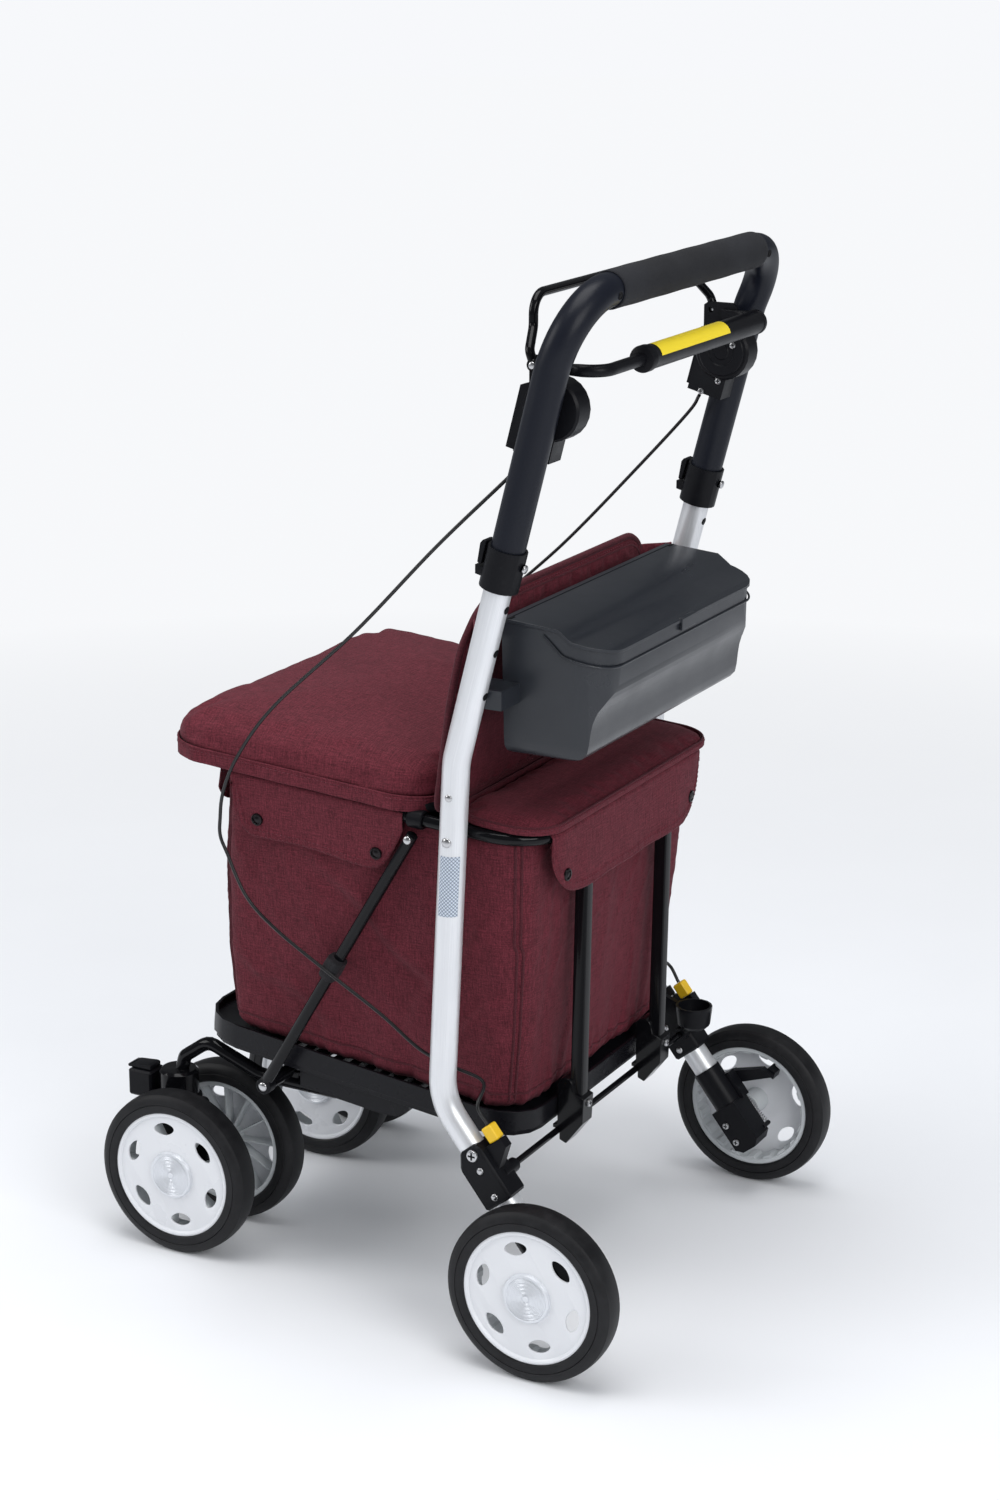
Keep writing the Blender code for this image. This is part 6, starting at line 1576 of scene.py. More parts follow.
@dataclass
class Handle:
    """The black handle tube with its foam grip, the collars at its foot, their clips and buttons."""

    radius: float = 0.0155
    knee: tuple[float, float] = (0.2115, 0.9300)
    knee_r: float = 0.060
    grip_yz: tuple[float, float] = (0.2360, 0.9897)
    bend_r: float = 0.052
    grip_r: float = 0.0176
    grip_half: float = 0.1518
    start: float = 0.0063
    button_up: float = 0.0220
    button_back: float = 0.0206
    plug: Point = (0.1585, 0.2511, 0.9864)

    def path(self) -> np.ndarray:
        """Middle line: up one side, across behind, down the other."""
        corners = [on_handle(self.start, 0, TUBE_X), (TUBE_X, *self.knee), (TUBE_X, *self.grip_yz),
                   (-TUBE_X, *self.grip_yz), (-TUBE_X, *self.knee), on_handle(self.start, 0, -TUBE_X)]
        return even(rounded(corners, [self.knee_r, self.bend_r, self.bend_r, self.knee_r], 14), 0.03)

    def grip(self) -> Shell:
        """Foam sleeve: nearly round, a little fuller in the middle, its ends rolled in."""
        share = np.linspace(-1, 1, 61)
        along = share * (self.grip_half - 0.0016)
        wave = 0.00035 * np.sin((share + 1) * math.pi * 5.0) * 0.4
        radius = self.grip_r - 0.00035 + wave + 0.00015 * (1 - share ** 2)
        inner = self.radius + 0.0004
        profile = [(inner, -self.grip_half), (self.grip_r - 0.0014, -self.grip_half),
                   (self.grip_r - 0.0006, -self.grip_half + 0.0006)]
        profile += list(zip(radius, along))
        profile += [(r, -z) for r, z in profile[:3][::-1]]
        return turned(profile, 64, facing((0.0, *self.grip_yz), (1.0, 0.0, 0.0)))

    def build(self) -> None:
        """Makes the tube and the grip, and refines the small hardware."""
        mount(tube(self.path(), self.radius, 56), "handle_tube_fine", "handle", "black_tube", Look.HANDLE,
              node="handle_tube")
        mount(self.grip(), "handle_grip_fine", "handle", "foam", Look.FOAM, node="handle_grip")
        plug = [(0.0, 0.0004), (0.0022, 0.0004), (0.0026, 0.0009), (0.0034, 0.0006), (0.0036, -0.0004),
                (0.0, -0.0005)]
        back = tuple(np.subtract(on_handle(0, 1, 0), on_handle(0, 0, 0)))
        for word, side in SIDES:
            take_over("collar_" + word, Look.PLASTIC, "handle", "black_plastic", 0.0008)
            take_over("clip_" + word, Look.PLASTIC, "clip_" + word, "black_plastic", 0.0010)
            spot = on_handle(self.button_up, self.button_back, side * TUBE_X)
            head = rivet(spot, back, 0.0041, 0.0018)
            button = "snap_button_" + word
            mount(head, button + "_fine", button, "steel", Look.STEEL, node=button)
            place = facing((side * self.plug[0], *self.plug[1:]), (0.0, 0.98, -0.21))
            mount(turned(plug, 24, place), "handle_plug_" + word, "handle", "black_plastic", Look.SHADE_AND_BLACK)


@dataclass
class BrakeControls:
    """The two housings, the sprung bail that both hands reach, and the parking bar behind."""

    cap_yz: tuple[float, float] = (0.2005, 0.8890)
    cap_r: float = 0.0280
    in_x: float = 0.1660
    bail_x: float = 0.1868
    bail_r: float = 0.0042
    bail_pivot: tuple[float, float] = (0.1830, 0.9264)
    bail_ankle: tuple[float, float] = (0.1785, 0.9385)
    bail_knee: tuple[float, float] = (0.1720, 0.9560)
    bail_top: tuple[float, float] = (0.1720, 0.9840)
    bail_top_x: float = 0.1670
    park_x: float = 0.1780
    park_pivot: tuple[float, float] = (0.2020, 0.9250)
    park_y: float = 0.2450
    park_z: float = 0.9230
    band_t: float = 0.0040
    band_h: float = 0.0100
    bar_r: float = 0.0056
    sleeve_r: float = 0.0112
    sleeve_from: float = -0.1500
    sleeve_to: float = 0.0955
    label_from: float = -0.0660
    label_to: float = 0.0800
    screws: tuple[tuple[float, float], ...] = ((0.2130, 0.8960), (0.1970, 0.8600), (0.1790, 0.8490))

    def bail(self) -> Shell:
        """One rod bent up from each pivot and across the handle."""
        corners = [(self.bail_x, *self.bail_pivot), (self.bail_x, *self.bail_ankle),
                   (self.bail_top_x, *self.bail_knee), (self.bail_top_x, *self.bail_top)]
        corners += [(-x, y, z) for x, y, z in corners[::-1]]
        path = rounded(corners, [0.010, 0.010, 0.018, 0.018, 0.010, 0.010], 10)
        parts = [tube(even(path, 0.03), self.bail_r, 24, soft=0.0015)]
        for side in (1, -1):
            parts.append(turned([(0.0, 0.0040), (0.0046, 0.0040), (0.0056, 0.0032), (0.0058, 0.0),
                                 (0.0056, -0.0034), (0.0046, -0.0040), (0.0, -0.0040)], 28,
                                facing((side * self.bail_x, *self.bail_pivot), (side, 0.0, 0.0))))
        return together(parts)

    def band(self) -> Shell:
        """A bar bent in a U: pressed flat and upright at its two ends, round behind the handle.

        The section at each point is flat plus (round minus flat) times a share that rises from 0
        to 1 over 14 mm. The flat one is a superellipse: the signs of cosine and sine times their
        sizes to the power 0.35.
        """
        middle = self.park_x - self.band_t / 2
        y = self.park_y - self.band_t / 2
        corners = [(middle, 0.1962, self.park_z), (middle, y, self.park_z), (-middle, y, self.park_z),
                   (-middle, 0.1962, self.park_z)]
        path = even(rounded(corners, [0.020, 0.020], 12), 0.004)
        length = lengths(path)
        share = np.clip((np.minimum(length, length[-1] - length) - 0.014) / 0.014, 0, 1)[:, None, None]
        share = share * share * (3 - 2 * share)
        angle = np.linspace(0, math.tau, 33)[:-1]
        cos, sin = np.cos(angle), np.sin(angle)
        flat = np.stack([np.sign(cos) * np.abs(cos) ** 0.35 * self.band_t / 2,
                         np.sign(sin) * np.abs(sin) ** 0.35 * self.band_h / 2], 1)
        section = flat + (circle(self.bar_r, 32) - flat) * share
        side, up = level_frames(path)
        return grid(path[:, None] + side[:, None] * section[..., :1] + up[:, None] * section[..., 1:],
                    around=True, caps=True)

    def sleeve(self) -> Shell:
        """Slim plastic tube over the band, with a collar at its left end and eased ends."""
        profile = [(0.0, self.sleeve_to + 0.004)]
        profile += stepped(self.sleeve_r, self.sleeve_to, (-0.0006, 0.004), (0.0006, 0.0032),
                           (0.0010, 0.002), (0.0010, -0.006), (0.0003, -0.0066), (0.0, -0.0080))
        profile += stepped(self.sleeve_r, self.sleeve_from, (0.0, 0.0060), (0.0006, 0.0052),
                           (0.0006, 0.0012), (-0.0012, 0.0))
        profile += [(0.0, self.sleeve_from)]
        return turned(profile, 56,
                      facing((0.0, self.park_y - self.band_t / 2, self.park_z), (1.0, 0.0, 0.0)))

    def label(self) -> Shell:
        """Plain yellow sticker wrapped over the top and rear of the sleeve; the words are left off."""
        across = np.linspace(self.label_from, self.label_to, 30)
        angle = np.linspace(math.radians(8), math.radians(100), 16)
        radius = self.sleeve_r + 0.00018
        y = self.park_y - self.band_t / 2 + radius * np.cos(angle)
        z = self.park_z + radius * np.sin(angle)
        return grid(np.stack(np.broadcast_arrays(across[:, None], y, z), -1))

    def housing_details(self, side: float) -> list[Shell]:
        """Ribbed face disc towards the middle, and the screws of a housing."""
        x = self.in_x
        disc = [(0.0, 0.0012), (0.0070, 0.0012), (0.0080, 0.0004), (0.0130, 0.0004), (0.0138, 0.0014),
                (0.0225, 0.0014), (0.0236, 0.0006), (0.0240, -0.0006), (0.0, -0.0006)]
        parts = [turned(disc, 48, facing((x, *self.cap_yz), (-1.0, 0.0, 0.0)))]
        for y, z in self.screws:
            spot = seated("brake_housing_left", (0.1500, y, z), (1.0, 0.0, 0.0))
            lift = 0.0012 if math.hypot(y - self.cap_yz[0], z - self.cap_yz[1]) < 0.024 else 0.0
            # The screw heads take the second finish and their drives the third, near-black as painted shade
            # in the recess.
            parts += [s.with_finish(s.finishes[0] + 1)
                      for s in screw((spot[0] - lift, y, z), (-1.0, 0.0, 0.0), 0.0032, 0.0016)]
        return parts if side > 0 else [s.mirrored() for s in parts]

    def build(self) -> None:
        """Makes the bars and refines the housings."""
        for word, side in SIDES:
            take_over("brake_housing_" + word, Look.PLASTIC, "handle", "black_plastic", 0.0009)
            mount(together(self.housing_details(side)), "housing_face_" + word, "handle", "black_plastic",
                  Look.PLASTIC, Look.STEEL, Look.SHADE_AND_BLACK)
        mount(self.bail(), "brake_bail_fine", "brake_bail", "gloss_black", Look.GLOSS, node="brake_bail")
        mount(self.band(), "parking_bar_fine", "parking_bar", "black_plastic", Look.PLASTIC,
              node="parking_bar")
        mount(self.sleeve(), "parking_sleeve_fine", "parking_bar", "black_plastic", Look.PLASTIC,
              node="parking_sleeve")
        mount(self.label(), "brake_label", "parking_bar", "yellow", Look.LABEL)
        rivets = [rivet((side * self.park_x, *self.park_pivot), (side, 0.0, 0.0), 0.0030, 0.0012)
                  for side in (1, -1)]
        pins = [rivet((side * (self.bail_x + out * 0.0040), *self.bail_pivot), (side * out, 0.0, 0.0),
                      0.0034, 0.0014) for side in (1, -1) for out in (1, -1)]
        mount(together(pins), "bail_pins", "brake_bail", "steel", Look.STEEL)
        mount(together(rivets), "parking_rivets", "parking_bar", "steel", Look.STEEL)


@dataclass
class Carrier:
    """Hoop, struts and rear bars that hold the bag over the tray."""

    front_y: float = -0.1600
    rear_y: float = 0.1860
    corner: float = 0.050
    strut_top: Point = (0.1945, 0.0640, 0.4870)
    strut_foot: Point = (0.1780, -0.1150, 0.1970)
    strut_r: float = 0.0057
    clip_r: float = 0.0092
    clip_l: float = 0.0160
    bar_x: float = 0.0860
    pin_r: float = 0.0030
    cross_tube: tuple[float, float] = (-0.1140, 0.1965)
    bar_screw: tuple[float, float] = (0.1919, 0.2050)
    tie_z: float = 0.3375

    def hoop(self) -> Shell:
        """A round bar in a rounded rectangle that falls towards the rear, with its two pins."""
        turns = np.linspace(0, 1, 13) * math.pi / 2
        path = []
        for number, (sx, sy) in enumerate(((1, 1), (-1, 1), (-1, -1), (1, -1))):
            centre = (sx * (HOOP_X - self.corner),
                      (self.rear_y if sy > 0 else self.front_y) - sy * self.corner)
            angle = turns + number * math.pi / 2
            path.append(np.stack([centre[0] + self.corner * np.cos(angle),
                                  centre[1] + self.corner * np.sin(angle)], 1))
        flat = np.concatenate(path)
        loop = np.concatenate([flat, flat[:1]])
        flat = even(lifted(loop, 0.0), 0.03)[:-1, :2]
        parts = [tube(lifted(flat, hoop_z(flat[:, 1])), HOOP_R, 28, closed=True)]
        for side in (1, -1):
            pin = np.array([(side * HOOP_X, *HOOP_PIN), (side * (TUBE_X + TUBE_R), *HOOP_PIN)])
            parts.append(tube(pin, self.pin_r, 16))
            parts.append(turned([(0.0, 0.0115), (0.0066, 0.0115), (0.0078, 0.0105), (0.0078, 0.0075),
                                 (0.0, 0.0075)], 28,
                                facing((side * (HOOP_X - 0.002), *HOOP_PIN), (side, 0.0, 0.0))))
        return together(parts)

    def strut(self, side: float) -> Shell:
        """Diagonal bar with a clip on the hoop, an eye on the cross tube and pressed flat ends."""
        top, foot = np.array(self.strut_top), np.array(self.strut_foot)
        along = (top - foot) / np.linalg.norm(top - foot)
        parts = [tube(even(np.array([foot, top - along * 0.002]), 0.05), self.strut_r, 28, soft=0.001)]
        y = self.strut_top[1]
        axis = np.array([0.0, 1.0, HOOP_SLOPE])
        at = np.array([HOOP_X, y, hoop_z(y)])
        clip = [(HOOP_R + 0.0004, -self.clip_l / 2), (self.clip_r - 0.0012, -self.clip_l / 2),
                (self.clip_r, -self.clip_l / 2 + 0.0012), (self.clip_r, self.clip_l / 2 - 0.0012),
                (self.clip_r - 0.0012, self.clip_l / 2), (HOOP_R + 0.0004, self.clip_l / 2)]
        parts.append(turned(clip, 40, facing(tuple(at), tuple(axis))).with_finish(1))
        foot_x = self.strut_foot[0]
        eye = [(0.0, 0.0062), (0.0070, 0.0062), (0.0082, 0.0050), (0.0082, -0.0050), (0.0070, -0.0062),
               (0.0, -0.0062)]
        parts.append(turned(eye, 32,
                            facing((foot_x - 0.0005, *self.cross_tube), (1.0, 0.0, 0.0))).with_finish(1))
        made = together(parts)
        return made if side > 0 else made.mirrored()

    def strut_hardware(self, side: float) -> Shell:
        """Rivets at both ends of a strut."""
        top, foot = np.array(self.strut_top), np.array(self.strut_foot)
        out = np.array([1.0, 0.0, 0.08])
        at = top + (foot - top) * 0.022
        parts = [rivet(tuple(at + out * self.strut_r * 0.93), tuple(out), 0.0042, 0.0022)]
        parts.append(rivet((foot[0] + 0.0055, *self.cross_tube), (1.0, 0.0, 0.0), 0.0048, 0.0024))
        made = together(parts)
        return made if side > 0 else made.mirrored()

    def tie(self, side: float) -> Shell:
        """A black hook-and-loop band round the strut and the cable, its end lapped over."""
        top, foot = np.array(self.strut_top), np.array(self.strut_foot)
        at = top + (foot - top) * ((top[2] - self.tie_z) / (top[2] - foot[2]))
        along = (top - foot) / np.linalg.norm(top - foot)
        turn = facing(tuple(at + np.array([0.0026, 0.0, 0.0])), tuple(along))
        rows = []
        for height, size in ((-0.0118, -0.0012), (-0.0112, 0.0), (-0.0040, 0.0004), (0.0040, 0.0004),
                             (0.0112, 0.0), (0.0118, -0.0012)):
            flat = oblong(0.0190 + 2 * size, 0.0172 + 2 * size, 0.0070, 6)
            rows.append(lifted(flat, height))
        parts = [grid(np.array(rows), around=True, caps=True).moved(turn)]
        lap = plate(oblong(0.0130, 0.0200, 0.0016, 3), 0.0, 0.0012, 0.0003, "Z")
        parts.append(lap.moved(turn @ Matrix.Translation((0.0092, 0.0020, 0.0))
                               @ Matrix.Rotation(math.pi / 2, 4, "Y")
                               @ Matrix.Rotation(math.pi / 2, 4, "Z")))
        made = together(parts)
        return made if side > 0 else made.mirrored()

    def build(self) -> None:
        """Makes the hoop and struts, and refines the rear bars."""
        mount(self.hoop(), "bag_hoop_fine", "carrier", "gloss_black", Look.GLOSS, node="bag_hoop")
        for word, side in SIDES:
            mount(self.strut(side), f"side_strut_{word}_fine", "carrier", "gloss_black", Look.GLOSS,
                  Look.PLASTIC, node="side_strut_" + word)
            mount(self.strut_hardware(side), "strut_rivets_" + word, "carrier", "steel", Look.STEEL)
            mount(self.tie(side), "cable_tie_" + word, "carrier", "black_plastic", Look.WEBBING)
            take_over("rear_strut_" + word, Look.GLOSS, "carrier", "black_plastic", 0.0008)
            screws = screw((side * self.bar_x, *self.bar_screw), (0.0, 1.0, 0.15), 0.0036, 0.0018)
            mount(together(screws), "rear_strut_screws_" + word, "carrier", "steel", Look.STEEL, Look.SHADE_AND_BLACK)


class Undercarriage:
    """Tray, front frame, caster forks and the latches that lock their swivel."""

    def build(self) -> None:
        """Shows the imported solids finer."""
        take_over("tray", Look.TRAY, "carrier", "black_plastic", 0.0007)
        take_over("front_frame", Look.GLOSS, "carrier", "gloss_black", 0.0005, 40.0)
        for word, _ in SIDES:
            take_over("caster_fork_" + word, Look.PLASTIC, "fork_" + word, "black_plastic", 0.0012)
            take_over("swivel_lock_" + word, Look.PLASTIC, "lock_" + word, "black_plastic", 0.0009)


@dataclass
class Block:
    """A cushion's plan and profile: rounded rectangles stacked over a sloping ground.

    levels holds pairs of height over the ground and how far the outline is drawn in there.
    """

    half: float
    front: float
    rear: float
    corner: float
    lift: float
    levels: tuple[tuple[float, float], ...]

    def ground(self, y: np.ndarray | float) -> np.ndarray | float:
        """Height of the face that the cushion rests on: a set lift over the hoop's middle line."""
        return hoop_z(y) + self.lift

    def plan(self, inward: float) -> np.ndarray:
        """The rounded rectangle, drawn in by a distance."""
        return oblong(2 * (self.half - inward), self.rear - self.front - 2 * inward,
                      max(self.corner - inward, 0.006), 10, (0.0, (self.front + self.rear) / 2))

    def ring(self, inward: float, height: float) -> np.ndarray:
        """A loop of points round the plan.

        Args:
            inward: how far the outline is drawn in.
            height: distance over the ground.

        Returns:
            The points, at even steps along the straights.
        """
        flat = self.plan(inward)
        loop = np.concatenate([flat, flat[:1]])
        loop = even(lifted(loop, 0.0), 0.008)[:-1, :2]
        return lifted(loop, self.ground(loop[:, 1]) + height)

    def shell(self) -> Shell:
        """The closed stack, its profile read off finely between the given levels."""
        heights, insets = np.array(self.levels).T
        way = np.concatenate([[0], np.cumsum(np.hypot(np.diff(heights), np.diff(insets)))])
        fine = np.linspace(0, way[-1], 40)
        rows = []
        for height, inward in zip(np.interp(fine, way, heights), np.interp(fine, way, insets)):
            flat = self.plan(inward)
            rows.append(lifted(flat, self.ground(flat[:, 1]) + height))
        return grid(np.array(rows), around=True, caps=True)


@dataclass
class Stuffing:
    """Blows a cover up by cloth simulation, from a start shape that is a little too small.

    The cover is cut into even cells, held where it is sewn or rests, and pushed out by an inner
    pressure. Each point's way is then held to a reach, so that the cover stays in its place.
    """

    voxel: float = 0.005
    pressure: float = 4.0
    reach: float = 0.008
    loose: float = 0.0
    stiffness: float = 12.0
    ease: int = 4
    frames: int = 20

    def cells(self, shell: Shell, name: str) -> bpy.types.Mesh:
        """The start shape as an even net of four-cornered cells, smoothed a little.

        Args:
            shell: the closed start shape.
            name: the mesh's name.

        Returns:
            The net.
        """
        start = shell.build(name, [])
        remesh = start.modifiers.new("cells", "REMESH")
        remesh.mode, remesh.voxel_size, remesh.use_smooth_shade = "VOXEL", self.voxel, True
        mesh = bpy.data.meshes.new_from_object(start.evaluated_get(bpy.context.evaluated_depsgraph_get()))
        bm = bmesh.new()
        bm.from_mesh(mesh)
        for _ in range(self.ease):
            bmesh.ops.smooth_vert(bm, verts=bm.verts, factor=0.5, use_axis_x=True, use_axis_y=True,
                                  use_axis_z=True)
        bm.to_mesh(mesh)
        bm.free()
        bpy.data.objects.remove(start)
        mesh.name = name
        return mesh

    def blow(self, shell: Shell, name: str, held: Callable[[np.ndarray], np.ndarray]) -> bpy.types.Object:
        """The padded piece.

        Args:
            shell: the closed start shape.
            name: the piece's name.
            held: gives each of an array of points a share from 0, free, to 1, held.

        Returns:
            The piece, at the origin and with no simulation left on it.
        """
        mesh = self.cells(shell, name)
        piece = bpy.data.objects.new(name, mesh)
        bpy.context.scene.collection.objects.link(piece)
        before = np.empty(len(mesh.vertices) * 3, np.float32)
        mesh.vertices.foreach_get("co", before)
        before = before.reshape(-1, 3).astype(float)
        group = piece.vertex_groups.new(name="held")
        share = np.clip(held(before), 0, 1)
        for level in np.unique(np.round(share, 1)):
            if level > 0:
                group.add(np.nonzero(np.round(share, 1) == level)[0].tolist(), float(level), "REPLACE")
        cloth = piece.modifiers.new("cloth", "CLOTH")
        cloth.settings.quality = 6
        cloth.settings.tension_stiffness = cloth.settings.compression_stiffness = self.stiffness
        cloth.settings.bending_stiffness = 0.4
        cloth.settings.use_pressure = True
        cloth.settings.uniform_pressure_force = self.pressure
        cloth.settings.shrink_min = -self.loose
        cloth.settings.effector_weights.gravity = 0.0
        cloth.settings.vertex_group_mass = "held"
        cloth.collision_settings.use_collision = False
        cloth.point_cache.frame_start, cloth.point_cache.frame_end = 1, self.frames
        for step in range(1, self.frames + 1):
            bpy.context.scene.frame_set(step)
        blown = piece.evaluated_get(bpy.context.evaluated_depsgraph_get())
        after = np.empty(len(before) * 3, np.float32)
        blown.data.vertices.foreach_get("co", after)
        way = after.reshape(-1, 3).astype(float) - before
        far = np.linalg.norm(way, axis=1, keepdims=True)
        after = before + way * np.tanh(far / self.reach) * self.reach / np.maximum(far, 1e-9)
        piece.modifiers.remove(cloth)
        bpy.context.scene.frame_set(1)
        mesh.vertices.foreach_set("co", after.astype(np.float32).ravel())
        LOG.info("%s blown up by %.1f mm at most, %.1f mm on average", name, far.max() * 1000,
                 far.mean() * 1000)
        piece.vertex_groups.clear()
        mesh.update()
        mesh.shade_smooth()
        finer = piece.modifiers.new("finer", "SUBSURF")
        finer.levels = finer.render_levels = 1
        return piece


def stitches(path: np.ndarray, out: np.ndarray, pitch: float = 0.0046, radius: float = 0.00038) -> Shell:
    """A row of thread stitches on a surface: short bars that dip in at both ends.

    Args:
        path: the points that the row follows.
        out: the direction away from the surface, one for all or one a point.
        pitch: distance from stitch to stitch.
        radius: of the thread.

    Returns:
        The closed shells as one.
    """
    length = lengths(path)
    out = np.broadcast_to(out, path.shape)
    share = np.array([0.0, 0.15, 0.5, 0.85, 1.0])
    lift = np.array([-0.9, 0.1, 0.5, 0.1, -0.9])[:, None] * radius
    made = []
    for start in np.arange(0.2 * pitch, length[-1] - 0.8 * pitch, pitch):
        at = start + share * 0.70 * pitch
        line = read_off(path, length, at)
        away = read_off(out, length, at)
        made.append(swept(line + away * lift, circle(radius, 6), np.array([0.5, 0.9, 1.0, 0.9, 0.5])))
    return together(made)


def snap(place: Point, direction: Point, radius: float = 0.0062) -> Shell:
    """A ringed press stud: a raised ring round a low dome."""
    profile = [(0.0, 0.0017), (radius * 0.34, 0.0015), (radius * 0.52, 0.0008), (radius * 0.64, 0.0008),
               (radius * 0.74, 0.0020), (radius * 0.90, 0.0018), (radius, 0.0006), (radius, -0.0006),
               (0.0, -0.0006)]
    return turned(profile, 32, facing(place, direction))


@dataclass
class Flap:
    """A cloth flap that starts on the hoop and hangs over its outer side.

    edge is the free edge as pairs of the place along the hoop and the height. out gives how far
    out the cloth hangs for a place and a height. across swaps the sides: False for a flap on the
    hoop's left side, True for one on its front or rear.
    """

    name: str
    edge: tuple[tuple[float, float], ...]
    out: Callable[[np.ndarray, np.ndarray], np.ndarray]
    top: Callable[[np.ndarray], np.ndarray]
    across: bool
    sign: float
    snaps: tuple[tuple[float, float], ...] = ()
    snap_radius: float = 0.0062
    thick: float = 0.0012
    hem: float = 0.0080
    wrap_r: float = 0.0069
    wrap: float = math.radians(38.0)

    def outline(self) -> np.ndarray:
        """The free edge, smoothed and evenly spaced."""
        knots = np.array(self.edge)
        return smooth_line(lifted(knots, 0.0), 150)[:, :2]

    def rise(self, along: np.ndarray, z: np.ndarray) -> np.ndarray:
        """How far the turned hem lifts the cloth: a step within the hem's width of the edge."""
        edge = self.outline()
        far = np.sqrt((along[..., None] - edge[:, 0]) ** 2 + (z[..., None] - edge[:, 1]) ** 2).min(-1)
        step = np.clip((self.hem - far) / 0.0012 + 0.5, 0, 1)
        roll = np.exp(-(far / 0.0016) ** 2)
        crinkle = 0.0003 * np.sin(along * 700.0 + 3 * np.sin(along * 190.0))
        return 0.0006 * step - 0.0004 * roll + crinkle * step

    def place(self, along: np.ndarray, z: np.ndarray) -> np.ndarray:
        """Points of the cloth's middle surface for places along the hoop and heights."""
        top = self.top(along)
        off = self.out(along, np.minimum(z, top)) + self.rise(along, z)
        turn = np.arcsin(np.clip((z - top) / self.wrap_r, 0, 0.99))
        off = self.sign * (off - self.wrap_r * (1 - np.cos(turn)))
        return np.stack([along, off, z] if self.across else [off, along, z], -1)

    def cloth(self) -> np.ndarray:
        """Rows of points from the start on top of the hoop down to the free edge."""
        edge = self.outline()
        along, low = edge[:, 0], edge[:, 1]
        backwards = np.diff(along) * (along[-1] - along[0]) <= 0
        along = along + np.concatenate([[0], np.cumsum(np.where(backwards, 1e-7, 0))])
        top = self.top(along)
        angles = np.linspace(self.wrap, 0, 6)[:-1, None]
        over = top[None] + self.wrap_r * np.sin(angles)
        share = np.linspace(0, 1, 34)[:, None]
        down = top[None] + (np.minimum(low, top - 0.0004) - top)[None] * share
        z = np.concatenate([over, down])
        return self.place(np.broadcast_to(along, z.shape), z)

    def face(self, along: float, z: float) -> tuple[np.ndarray, np.ndarray]:
        """A point on the outer face, and the direction away from it."""
        h = 0.001
        p = self.place(np.array([along, along + h, along]), np.array([z, z, z + h]))
        away = np.cross(p[1] - p[0], p[2] - p[0])
        away /= np.linalg.norm(away)
        away *= 1.0 if away[1 if self.across else 0] * self.sign > 0 else -1.0
        return p[0] + away * self.thick / 2, away

    def seams(self) -> list[Shell]:
        """Two rows of stitches along the hem."""
        edge = self.outline()
        loop = np.concatenate([edge, [[edge[-1, 0], edge[-1, 1] + 0.03], [edge[0, 0], edge[0, 1] + 0.03]]])
        made = []
        for depth in (0.0018, self.hem - 0.0012):
            line = inset(loop, depth)[3:len(edge) - 3]
            keep = line[:, 1] < self.top(line[:, 0]) - 0.001
            faces = [self.face(a, z) for a, z in line[keep]]
            made.append(stitches(np.array([p for p, _ in faces]), np.array([n for _, n in faces])))
        return made

    def build(self, mirror: bool, body: str) -> bpy.types.Object:
        """Makes the flap with its stitches and snaps.

        Args:
            mirror: whether it is the twin on the other side of the middle plane.
            body: the body that it rides on.

        Returns:
            The cloth.
        """
        points = self.cloth()
        shell = grid(points)
        parts = self.seams()
        faces = [self.face(*at) for at in self.snaps]
        studs = [snap(tuple(p), tuple(n), self.snap_radius) for p, n in faces]
        if mirror:
            shell = shell.mirrored()
            parts, studs = [s.mirrored() for s in parts], [s.mirrored() for s in studs]
        cloth = shell.build(self.name, [finish(Look.CLOTH)], 60.0)
        thick = cloth.modifiers.new("cloth thickness", "SOLIDIFY")
        thick.thickness, thick.offset, thick.use_even_offset = self.thick, 0.0, True
        settle(cloth, body, "burgundy")
        extra = [mount(together(parts), self.name + "_stitches", body, "burgundy", Look.THREAD)]
        if studs:
            look = Look.SNAP if self.snap_radius > 0.005 else Look.STEEL
            extra.append(mount(together(studs), self.name + "_snaps", body, "steel", look))
        return cloth


